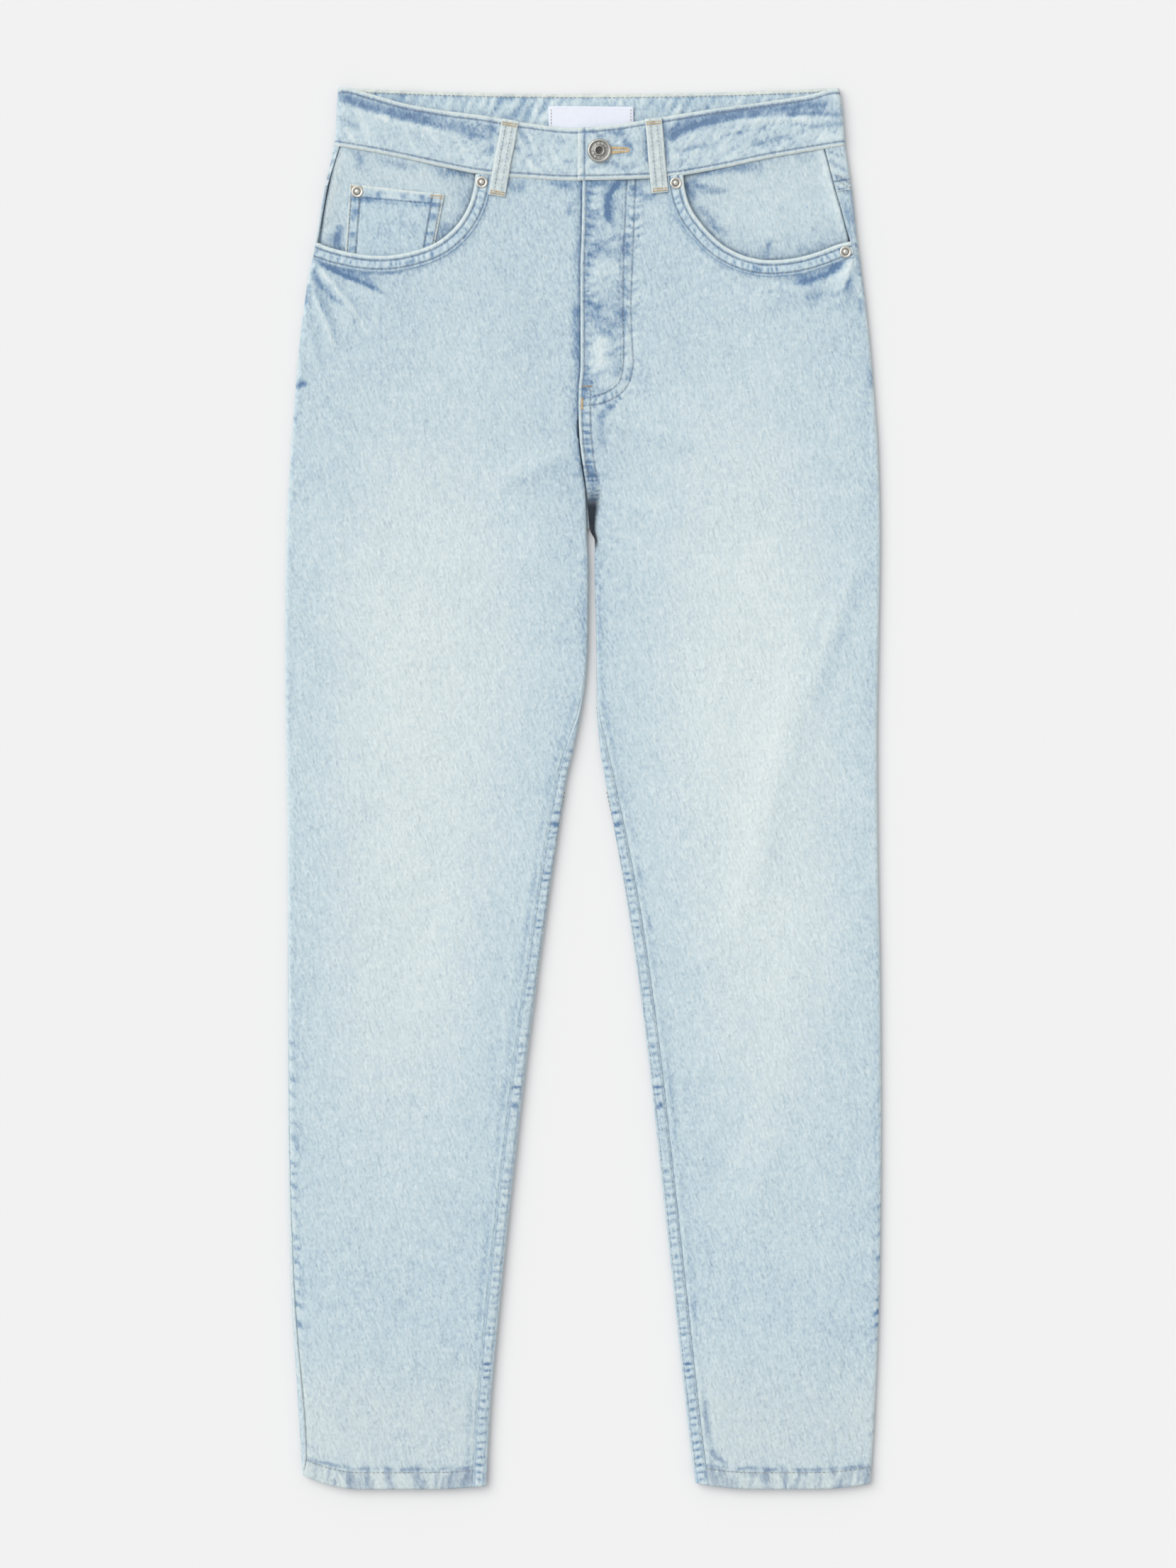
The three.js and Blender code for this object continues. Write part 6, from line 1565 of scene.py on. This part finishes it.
# A belt loop: a folded strip with two raised ribs, turned under and tacked down at both ends
def beltLoop(name):
    x0, y0, x1, y1 = loopRows[name]
    _, _, along, across = loopLine(name)
    length, half = np.hypot(x1 - x0, y1 - y0), loopShape["half"]
    v = fitToFour(np.r_[0, 0.006, 0.016, np.linspace(0.03, 0.97, 43), 0.984, 0.994, 1])[:, None]
    u = np.r_[-1, -0.97, -0.9, np.linspace(-0.8, 0.8, 15), 0.9, 0.97, 1][None, :]
    d = u * half + 0.25 * softNoise(v * length, 0 * v, 14, 151)
    x, y = x0 + along[0] * v * length + across[0] * d, y0 + along[1] * v * length + across[1] * d
    fromEnd = np.minimum(v, 1 - v) * length + 0 * u
    rim = np.minimum(fromEnd, (1 - np.abs(u)) * half)
    detail = 0.3 * bell(np.abs(d) - loopShape["rib"], 0.8) - 0.12 * bell(d, 1.6) - 0.6 * edgeRoll(rim, 0.8)
    detail += 0.08 * pucker(v * length, d, 4.5, 5, 152) + 0.25 * bell(fromEnd - 3.0, 1.6)
    tone = 0.72 + 0.06 * layeredNoise(x, y, 8, 153) + 0.16 * bell(rim - 0.7, 1.0)
    tone -= 0.16 * bell(np.abs(d) - loopShape["rib"] - 0.9, 0.6) + 0.12 * bell(np.abs(d) - 1.9, 0.5)
    tone -= 0.14 * np.clip(pucker(v * length, d, 9, 6, 154), 0, 1)
    if name.startswith("front"):
        z = loopBed(name, x, y, v, waistSeam(x))
        outer, inner = stack3(x, y, z + loopShape["wall"] + detail), stack3(x, y, z)
    else:
        outer, inner = stack3(x, y, np.maximum(0.25 - detail, 0.0)), stack3(x, y, loopShape["wall"])
    points, faces = clothWall(outer, inner, 1)
    marks = {"tone": tone, "warmth": 0.28 + 0 * tone, **nearestRow(*rowsFrom("loop", np.abs(d) + 0 * v))}
    marks["rowShare"] = 0.3 * marks["rowShare"]
    marks = {key: np.tile(values.ravel(), 2) for key, values in marks.items()}
    return makePiece(f"loop_{name}", points, faces, denimTrim, "denim_trim", (f"belt_loop_{name}",), marks)


loops = {name: beltLoop(name) for name in loopRows}


# A patch pocket on the back: u across, v down to its blunt point, with a hem and two rows all round
def backPocket(side):
    way = -inward[side]
    v = fitToFour(np.r_[0, 0.005, 0.012, np.linspace(0.025, 0.975, 60), 0.988, 0.995, 1])[:, None]
    u = fitToFour(np.r_[-1, -0.992, -0.98, np.linspace(-0.96, 0.96, 60), 0.98, 0.992, 1])[None, :]
    bottom = blend(patch["point"], patch["side"], np.abs(u))
    down = v * bottom
    half = patch["half"] - patch["narrowing"] * np.clip(down / patch["side"], 0, 1)
    localX, localY = u * half, -down
    a = np.radians(patch["tilt"]) * way
    x = cut["seatX"] + way * patch["offset"] + localX * np.cos(a) - localY * np.sin(a)
    y = patch["topY"] + localX * np.sin(a) + localY * np.cos(a)
    sideRim = np.minimum(half - np.abs(localX), (bottom - down) * 0.93)
    rim = np.minimum(sideRim, down)
    rows = [*rowsFrom("patchSide", sideRim), *rowsFrom("patchHem", down + 0 * u)]
    detail = 0.1 * layeredNoise(x, y, 14, 161) - 0.7 * edgeRoll(rim, 0.9) - 0.2 * sum(bell(row, 0.6) for row in rows)
    cells = pucker(down + np.abs(localX) * (bottom - down < 14), sideRim - 5, 8.0, 4, 162, lean=0.2)
    detail += 0.16 * cells * (down > rowAt["patchHem"])
    tone = 0.66 + 0.08 * layeredNoise(x, y, 20, 163) + 0.2 * bell(rim - 0.8, 1.2)
    tone += 0.08 * bell(u, 0.5) * bell(v - 0.5, 0.4)
    tone -= 0.26 * smoothStep(0.1, 0.8, cells) * bell(sideRim - 5, 3.4) + 0.14 * bell(down - 16, 2)
    outer = stack3(x, y, np.maximum(0.18 - detail, 0.0))
    inner = stack3(x, y, patch["wall"] + 0 * x)
    marks = {"tone": tone, "warmth": 0.2 * bell(rim - 0.8, 1.2), **nearestRow(*rows)}
    return wallPiece(f"patch_pocket_{side}", outer, inner, marks, denim, "denim", (f"back_pocket_{side}",))


patches = {side: backPocket(side) for side in sides}

# The plain woven waist label, left bare, lying a little uneven on the back band's inside
label = {"x0": -24.7, "x1": 36.0, "y0": 461.0, "y1": 485.4, "tilt": -0.6, "base": 3.2, "thick": 0.75}


# A grid between the label's corners with slightly uneven edges and waves
def waistLabel():
    u, v = np.linspace(0, 1, 61)[None, :], np.linspace(0, 1, 29)[:, None]
    x = blend(label["x0"], label["x1"], u) + 0.25 * softNoise(v * 24, 0 * v, 9, 171)
    y = blend(label["y0"], label["y1"], v) + label["tilt"] * u + 0.2 * softNoise(u * 60, 0 * u, 17, 172)
    wave = 0.22 * layeredNoise(x, y, 17, 173) + 0.15 * bell(v - 1, 0.06) + 0.1 * bell(u - 1, 0.03)
    width, tall = label["x1"] - label["x0"], label["y1"] - label["y0"]
    rim = np.minimum(np.minimum(u, 1 - u) * width, np.minimum(v, 1 - v) * tall)
    top = label["base"] + label["thick"] + wave - 0.3 * (1 - smoothStep(0, 0.8, rim)) - 0.12 * bell(rim - 2.2, 0.5)
    return wallPiece("waist_ribbon", stack3(x, y, top), stack3(x, y, label["base"] + 0 * x), {"tone": 0 * top},
                     labelCloth, "label", ("waist_label",))


ribbon = waistLabel()
print("stage: waistband, loops, pockets and label done")


# A profile of (radius, height) turned round an upright axis, with a fine knurl where its third value is set
def turned(name, profile, centre, segments, material, slot, replaced, knurl=0.0):
    p = np.asarray(profile, float)
    angle = np.linspace(0, 2 * np.pi, segments, endpoint=False)[None, :]
    r, h = p[:, 0][:, None], p[:, 1][:, None] + knurl * p[:, 2][:, None] * np.cos(angle * segments / 4)
    x, y = centre[0] + r * np.cos(angle), centre[1] + r * np.sin(angle)
    recess = p[:, 3][:, None] + 0 * angle
    return ringPiece(name, x, y, centre[2] + h + 0 * x, {"recess": recess}, material, slot, replaced)


# radius, height, knurl, darkness
buttonProfile = [
    (1.5, -2.3, 0, 0.9), (1.5, 0.0, 0, 0.9), (6.9, 0.05, 0, 0.8), (8.1, 0.3, 0, 0.5), (8.5, 0.9, 0, 0.1),
    (8.4, 1.4, 0, 0.0), (8.0, 1.85, 0, -0.1), (7.4, 2.02, 0.3, 0.0), (6.9, 1.9, 0, 0.35), (6.5, 1.55, 0, 0.8),
    (6.0, 1.5, 1.0, 0.45), (5.2, 1.58, 1.0, 0.4), (4.4, 1.66, 1.0, 0.45), (3.9, 1.7, 0, 0.85), (3.6, 2.1, 0, 0.2),
    (3.25, 2.35, 0, 0.0), (2.95, 2.3, 0, 0.3), (2.7, 2.05, 0, 0.95), (1.6, 1.98, 0, 1.0), (0.5, 2.0, 0, 1.0),
]
turned("waist_button", buttonProfile, (11.6, 452.7, 9.25), 48, buttonMetal, "button_metal", ("button",), 0.09)
rivetProfile = [
    (2.0, -0.1, 0, 0.6), (4.1, -0.05, 0, 0.5), (4.3, 0.15, 0, 0.2), (4.15, 0.42, 0, 0.0), (3.75, 0.62, 0, -0.1),
    (3.2, 0.6, 0, 0.1), (2.7, 0.42, 0, 0.4), (2.25, 0.34, 0, 0.9), (1.95, 0.5, 0, 0.8), (1.75, 0.95, 0, 0.1),
    (1.35, 1.3, 0, -0.1), (0.8, 1.43, 0, 0.0), (0.3, 1.45, 0, 0.1),
]
rivetRows = {"right_waist": (-72.0, 430.6), "left_waist": (66.0, 430.0), "left_side": (186.6, 381.0),
             "coin_pocket": (-160.6, 424.2)}
for name, (x, y) in rivetRows.items():
    if name == "coin_pocket":
        ground = hipTop("right", x, y) + 1.75
    else:
        ground = pocketGround("right" if x < 0 else "left")(np.array(x), np.array(y)) + 0.95
    turned(f"rivet_cap_{name}", rivetProfile, (x, y, float(ground)), 28, rivetMetal, "rivet_metal",
           (f"rivet_{name}",))

# The closed zip behind the fly: a ribbed tape and two rows of interlocked teeth
zipper = {"x": 4.0, "half": 11.0, "top": 424.0, "bottom": 288.0, "base": 1.9, "tape": 1.0, "pitch": 2.6,
          "tooth": (1.9, 0.55, 0.6)}  # a tooth's half width, half length and height


# The tape's ribs are 0.12 cos(30 u); each tooth is a small block
def flyZip():
    u, v = np.linspace(-1, 1, 25)[None, :], np.linspace(0, 1, 69)[:, None]
    x = zipper["x"] + zipper["half"] * u + 0 * v
    y = blend(zipper["bottom"], zipper["top"], v) + 0 * u
    z = zipper["base"] + zipper["tape"] + 0.12 * np.cos(u * 30) + 0.1 * layeredNoise(x, y, 20, 181)
    tape = wallPiece("zip_band", stack3(x, y, z), stack3(x, y, zipper["base"]), {"tone": 0 * x}, zipTape,
                     "zip_tape", ("fly_zip",), step=1)
    cube = np.array([(a, b, c) for a in (-1, 1) for b in (-1, 1) for c in (0, 1)], float)
    cubeFaces = np.array([(0, 1, 3, 2), (4, 6, 7, 5), (0, 4, 5, 1), (2, 3, 7, 6), (0, 2, 6, 4), (1, 5, 7, 3)])
    rows = np.arange(zipper["bottom"] + 4, zipper["top"] - 4, zipper["pitch"])
    centres = np.concatenate([stack3(zipper["x"] - 0.7, rows, zipper["base"] + 0.9),
                              stack3(zipper["x"] + 0.7, rows + zipper["pitch"] / 2, zipper["base"] + 0.9)])
    points = cube[None] * zipper["tooth"] + centres[:, None]
    faces = (cubeFaces[None] + 8 * np.arange(len(centres))[:, None, None]).reshape(-1, 4)
    makePiece("zip_teeth", points.reshape(-1, 3), [faces], rivetMetal, "zip_tape", ("fly_zip",),
              {"recess": np.full(8 * len(centres), 0.3)}, smooth=False)
    return tape


zipBand = flyZip()
print("stage: metal and zip done")

# Stitching. A stitch is a flattened capsule: three rings of five points and a tip at each end.
sewing = {"pitch": 3.1, "width": 0.62, "tall": 0.5, "gap": 0.14}
underSkin, patchSkin = 0.3, 0.34  # heights of the rows that lie against the table
tackHalf, tackWide = 4.9, 1.2  # of the tacks across a belt loop


# Rings at -0.36, 0 and 0.36 of each stitch's length, and tips at its ends, all sagging a little at the ends
def capsules(starts, ends, width, tall, upward):
    axis = ends - starts
    length = np.linalg.norm(axis, axis=1, keepdims=True)
    e = axis / length
    side = np.cross([0.0, 0.0, 1.0], e)
    side /= np.linalg.norm(side, axis=1, keepdims=True)
    up = np.cross(e, side) * upward
    t = np.repeat([-0.36, 0.0, 0.36], 5)
    fat = np.repeat([0.78, 1.0, 0.78], 5)
    a = np.tile(np.linspace(0, 2 * np.pi, 5, endpoint=False) + np.pi / 2, 3)
    middle = (starts + ends)[:, None] / 2
    sag = np.repeat([-0.35, 0.0, -0.35], 5)

    def lie(along, across, high):
        point = middle + e[:, None] * length[:, None] * along[None, :, None]
        point = point + side[:, None] * across[None, :, None] * width / 2
        return point + up[:, None] * high[None, :, None] * tall / 2

    body = lie(t, fat * np.cos(a), fat * np.sin(a) + sag)
    tips = lie(np.array([-0.5, 0.5]), np.zeros(2), np.array([-0.95, -0.95]))
    points = np.concatenate([body, tips], axis=1)
    quads = gridQuads(np.concatenate([np.arange(15).reshape(3, 5), np.arange(0, 15, 5)[:, None]], axis=1))
    k, n = np.arange(5), np.r_[1, 2, 3, 4, 0]
    caps = np.vstack([np.stack([n, k, np.full(5, 15)], -1), np.stack([k + 10, n + 10, np.full(5, 16)], -1)])
    base = 17 * np.arange(len(starts))[:, None, None]
    return points.reshape(-1, 3), (quads + base).reshape(-1, 4), (caps + base).reshape(-1, 3)


# Stitches of equal pitch along a path that lies on ground
def rowOfStitches(path, ground, pitch=None, upward=1):
    p = evenPath(np.asarray(path, float), pitch or sewing["pitch"])[:, :2]
    a, b = blend(p[:-1], p[1:], sewing["gap"]), blend(p[1:], p[:-1], sewing["gap"])
    lift = 0.06 * upward
    return (np.column_stack([a, ground(a[:, 0], a[:, 1]) + lift]),
            np.column_stack([b, ground(b[:, 0], b[:, 1]) + lift]))


# A bar tack or buttonhole edge: close stitches side by side, reaching from line a to line b
def tack(a, b, ground, count, upward=1):
    t = np.linspace(0, 1, count)[:, None]
    p, q = blend(np.array(a[0]), np.array(a[1]), t), blend(np.array(b[0]), np.array(b[1]), t)
    return (np.column_stack([p, ground(p[:, 0], p[:, 1]) + 0.1 * upward]),
            np.column_stack([q, ground(q[:, 0], q[:, 1]) + 0.1 * upward]))


# One mesh of all the stitches in runs
def sewnPiece(name, runs, material, slot, seed, upward=1):
    starts, ends = (np.vstack([run[k] for run in runs]) for k in (0, 1))
    points, quads, caps = capsules(starts, ends, sewing["width"], sewing["tall"], upward)
    shade = np.repeat(np.random.RandomState(seed).uniform(0.25, 0.95, len(starts)), 17)
    return makePiece(name, points, [quads, caps], material, slot, (), {"shade": shade})


# Top of a leg at any x, also over its turned edges
def legTop(side, x, y, extra=0.0):
    outer, end = sideEdge[side](y), legEdge[side](y)
    near = np.clip(np.minimum(np.abs(x - outer), np.abs(end - x)), 0, edgeRadius)
    rise = np.sqrt(edgeRadius ** 2 - (edgeRadius - near) ** 2)
    return edgeRadius + rise + (topRelief(side, x, y) + extra) * (rise / edgeRadius) ** 2


# Points of a path from x and y, either of which may be one number
def pathOf(x, y):
    return np.column_stack(np.broadcast_arrays(x, y))


# A path down the garment at x = xAt(y)
def lineDown(xAt, high, low):
    y = np.linspace(high, low, 80)
    return pathOf(xAt(y), y)


# Top of a front loop, for its stitches
def onLoop(name, x, y):
    first, last, _, _ = loopLine(name)
    bed = loopBed(name, x, y, (first[1] - y) / (first[1] - last[1]), waistSeam(first[0]))
    return bed + loopShape["wall"] + 0.12


flat = lambda z: lambda x, y: z + 0 * x
greyRuns, tanRuns, underRuns = [], [], []


# A row on the top side
def sewOn(path, ground, pitch=None):
    greyRuns.append(rowOfStitches(path, ground, pitch))


# A row on the side that lies down
def sewUnder(path, skin=underSkin):
    underRuns.append(rowOfStitches(path, flat(skin), upward=-1))


for side in sides:
    way = inward[side]
    onFront = lambda x, y: frontSurface(side, x, y)
    x = np.linspace(sideEdge[side](-487) + way * 1.4, legEdge[side](-487) - way * 1.4, 120)
    hemPath = pathOf(x, hemLine(side, x) + rowAt["hem"])
    sewOn(hemPath, lambda x, y: legTop(side, x, y, cut["hemRaise"] - 0.15))
    sewUnder(hemPath[4:-4])
    # felled inseams
    for d, high in zip(rowAt["fell"], (58, -2)):
        xAt = lambda y: legEdge[side](y) - way * (wrapCurve[side + "Inner"](y) - d)
        sewOn(lineDown(xAt, high, -485), lambda x, y: legTop(side, x, y, 0.35))
    # pocket openings
    path = smoothPath(pocketRows[side], 1.5)
    for d in rowAt["pocket"]:
        row = path + pathNormals(path) * -way * d
        keep = (np.abs(row[:, 0]) < np.abs(sideEdge[side](row[:, 1])) - 1.0) & (row[:, 1] < waistSeam(row[:, 0]) - 1)
        sewOn(row[keep], lambda x, y: pocketGround(side)(x, y) + 0.6)
    # waistband front
    finish = band["end"]["left"] + (rowAt["bandEnd"] if side == "left" else -1.0)
    x = np.linspace(bandEdge[side](470) + way * 2.2, finish, 90)
    onBand = lambda x, y: bandSurface(side, x, y)
    sewOn(pathOf(x, bandTop(x) - rowAt["bandTop"]), onBand)
    sewOn(pathOf(x, waistSeam(x) - band["overhang"] + rowAt["bandSeam"]), onBand)
    if side == "left":
        sewOn(lineDown(lambda y: finish + 0 * y, 466, 435.5), onBand)
        sewOn(lineDown(lambda y: flyEdge(y) + rowAt["flyEdge"][0], 429, 287), onFront)
        for points in jStitch.values():
            sewOn(smoothPath(points, 2), onFront)
        for e, high in ((rowAt["flyEdge"][1], 268), (rowAt["belowFly"], 284)):
            sewOn(lineDown(lambda y: flyEdge(y) + e, high, 222), onFront)
        greyRuns.append(tack(((-0.6, 286.6), (6.4, 286.6)), ((-0.6, 284.4), (6.4, 284.4)), onFront, 13))
        tanRuns.append(tack(((-1.6, 277), (-1.9, 269)), ((0.5, 277), (0.3, 269)), onFront, 14))
        # buttonhole: two rows that close up to a bar at the far end
        onHole = lambda x, y: bandHeight("left", x) + 0.25 + 0 * y
        for sign in (1, -1):
            tanRuns.append(tack(((18.5, 453 + 0.4 * sign), (31, 453.2 + 0.25 * sign)),
                                ((18.9, 453 + 3.1 * sign), (31.6, 453.2 + 1.9 * sign)), onHole, 27))
        tanRuns.append(tack(((31.3, 451.4), (32.6, 451.5)), ((31.3, 455.0), (32.6, 454.9)), onHole, 4))
        # the short double row beside the left pocket
        for d in (1.6, 5.2):
            x = np.linspace(180.5, 190.5, 8)
            sewOn(pathOf(x, 430.8 - 0.62 * (x - 180.5) + d), lambda x, y: legTop("left", x, y, 0.1) + 0.1, 2.6)

# the coin pocket's hem, its doubled sides, and a tack at each top corner
coinTop = lambda x, y: hipTop("right", x, y) + cut["layGap"] + coin["wall"] + 0.05
v, u = np.linspace(0.02, 0.98, 40), np.linspace(0.02, 0.98, 40)
sewOn(pathOf(*coinPlace(u, rowAt["coinHem"] / coin["depth"] + 0 * u)[:2]), coinTop)
for d in rowAt["coinSide"]:
    for fromInner in (0, 1):
        row = pathOf(*coinPlace(np.abs(fromInner - d / coin["width"]) + 0 * v, v)[:2])
        sewOn(row[row[:, 1] > openingCurve["right"](row[:, 0]) - 4], coinTop)
for across in ((0.02, 0.14), (0.86, 0.985)):
    for v in (0.022, 0.06):
        a, b = ([coinPlace(np.array(u), np.array(w))[:2] for u in across] for w in (v, v + 0.028))
        tanRuns.append(tack(a, b, lambda x, y: coinTop(x, y) + 0.35, 14))

# belt loops: two rows on each, and a tack across both ends, tan on the front ones
for name in loopRows:
    first, last, along, across = loopLine(name)
    if name.startswith("front"):
        ground, upward, rowRuns, tackRuns = (lambda x, y: onLoop(name, x, y)), 1, greyRuns, tanRuns
    else:
        ground, upward, rowRuns, tackRuns = flat(patchSkin), -1, underRuns, underRuns
    for d in (-rowAt["loop"], rowAt["loop"]):
        path = np.array([first, last]) + across * d + np.outer([4.6, -4.6], along)
        rowRuns.append(rowOfStitches(path, ground, 2.7, upward))
    for end, step in ((first, 1), (last, -1)):
        for shift in (2.0, 3.6):
            middle = end + along * shift * step
            a = (middle - across * tackHalf, middle + across * tackHalf)
            b = [p + along * tackWide for p in a]
            tackRuns.append(tack(a, b, lambda x, y: ground(x, y) + 0.22 * upward, 15, upward))

# the back: yoke, seat, patch pockets and waistband, sewn on the side that lies down
for side in sides:
    way = inward[side]
    x = np.linspace(sideEdge[side](430) + way * 4, cut["seatX"] - way * 1, 80)
    for d in rowAt["yoke"]:
        sewUnder(pathOf(x, yokeSeam(x) + d))
    corners = patchOutline(side)[:-1]
    for d in rowAt["patchSide"]:
        sewUnder(blend(corners, corners.mean(0), d / patch["middle"]), patchSkin)
    hemRow = corners[[0, 4]] - [0, rowAt["patchHem"]]
    sewUnder(blend(hemRow, hemRow.mean(0), 0.03), patchSkin)
for e in rowAt["seat"]:
    sewUnder(lineDown(lambda y: cut["seatX"] + e + 0 * y, 386, 192))
x = np.linspace(-168, 178, 200)
sewUnder(pathOf(x, backBandBottom(x) + rowAt["backBandSeam"]))
sewUnder(pathOf(x, backBandTop(x) - rowAt["backBandTop"]))
sewOn(pathOf(x, backBandTop(x) - 2.6), flat(cut["backBandWall"] - 0.1))
for xEnd in (label["x0"] + 2.0, label["x1"] - 2.0):
    sewOn([(xEnd, 483.2), (xEnd, 463)], flat(label["base"] + label["thick"] + 0.05), 2.2)

sewnPiece("thread_top", greyRuns, thread, "denim_trim", 201)
sewnPiece("thread_tacks", tanRuns, tanThread, "denim_trim", 202)
sewnPiece("thread_back", underRuns, thread, "denim_trim", 203, -1)
print("stage: sewing done")

# Cloth pieces, cut as they lie here: width and length in metres, the shape's area in square metres where it
# isn't a plain strip, and what they rest on
cloths = [
    (fronts["right"], 0.220, 0.958, 0.160, ["back_right"]), (fronts["left"], 0.212, 0.958, 0.155, ["back_left"]),
    (backs["right"], 0.232, 0.925, 0.170, []), (backs["left"], 0.226, 0.925, 0.165, []),
    (yokes["right"], 0.196, 0.066, 0.0088, []), (yokes["left"], 0.199, 0.066, 0.0091, []),
    (hips["right"], 0.118, 0.090, 0.0081, ["yoke_right"]), (hips["left"], 0.122, 0.090, 0.0085, ["yoke_left"]),
    (pocketEdges["right"], 0.0125, 0.158, None, ["front_right"]),
    (pocketEdges["left"], 0.0125, 0.164, None, ["front_left"]),
    (coinPatch, 0.067, 0.052, 0.0032, ["hip_piece_right"]),
    (waistFronts["right"], 0.212, 0.0405, None, ["waistband_back"]),
    (waistFronts["left"], 0.195, 0.0405, None, ["waistband_back"]),
    (waistBack, 0.366, 0.041, None, []), (ribbon, 0.0607, 0.0244, None, ["waistband_back"]),
    (loops["front_right"], 0.0123, 0.0548, None, ["waistband_front_right"]),
    (loops["front_left"], 0.0123, 0.053, None, ["waistband_front_left"]),
    (loops["back_right"], 0.0123, 0.048, None, []), (loops["back_centre"], 0.0123, 0.0475, None, []),
    (loops["back_left"], 0.0123, 0.048, None, []),
    (patches["right"], 0.134, 0.138, 0.0155, []), (patches["left"], 0.134, 0.138, 0.0155, []),
    (zipBand, 0.022, 0.136, None, []),
]
for piece, width, length, area, below in cloths:
    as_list(below)

# Floor, studio light and camera
studio = {"ambient": 0.69, "key": 1.83, "from": (-0.95, 0.7, 1.3), "softness": 0.9}
floorSize, floorZ = 8.0, -0.0008
corners = [(a * floorSize, b * floorSize, floorZ) for a, b in ((-1, -1), (1, -1), (1, 1), (-1, 1))]
mesh = bpy.data.meshes.new("floor")
mesh.from_pydata(corners, [], [(0, 1, 2, 3)])
floor = bpy.data.objects.new("floor", mesh)
bpy.context.collection.objects.link(floor)
floor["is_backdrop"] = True
paper, _, shader = newMaterial("paper_floor")
setInputs(shader, {"Base Color": srgb(230, 230, 230), "Roughness": 0.9, "Specular IOR Level": 0.1})
mesh.materials.append(paper)

scene = bpy.context.scene
scene.view_settings.view_transform = "Standard"
world = bpy.data.worlds.new("studio")
scene.world = world
world.use_nodes = True
setInputs(world.node_tree.nodes["Background"], {"Color": (1.0, 1.0, 1.0, 1.0), "Strength": studio["ambient"]})

key = bpy.data.lights.new("key_light", "SUN")
key.energy, key.angle = studio["key"], studio["softness"]
keyObject = bpy.data.objects.new("key_light", key)
keyObject.rotation_euler = Vector(studio["from"]).to_track_quat("Z", "Y").to_euler()
bpy.context.collection.objects.link(keyObject)

# Straight down; the photo's 1117 mm of height fills the long side of the frame
view = {"centre": (0.0035, 0.0028), "distance": 3.2, "height": 1.117, "sensor": 36.0}
camera = bpy.data.cameras.new("camera")
camera.sensor_width = view["sensor"]
camera.lens = view["sensor"] * view["distance"] / view["height"]
cameraObject = bpy.data.objects.new("camera", camera)
cameraObject.location = (*view["centre"], view["distance"])
bpy.context.collection.objects.link(cameraObject)
scene.camera = cameraObject

boxes = {"cad": cadBox, "visual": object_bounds()}
{name: [[float(n) for n in corner] for corner in box] for name, box in boxes.items()}
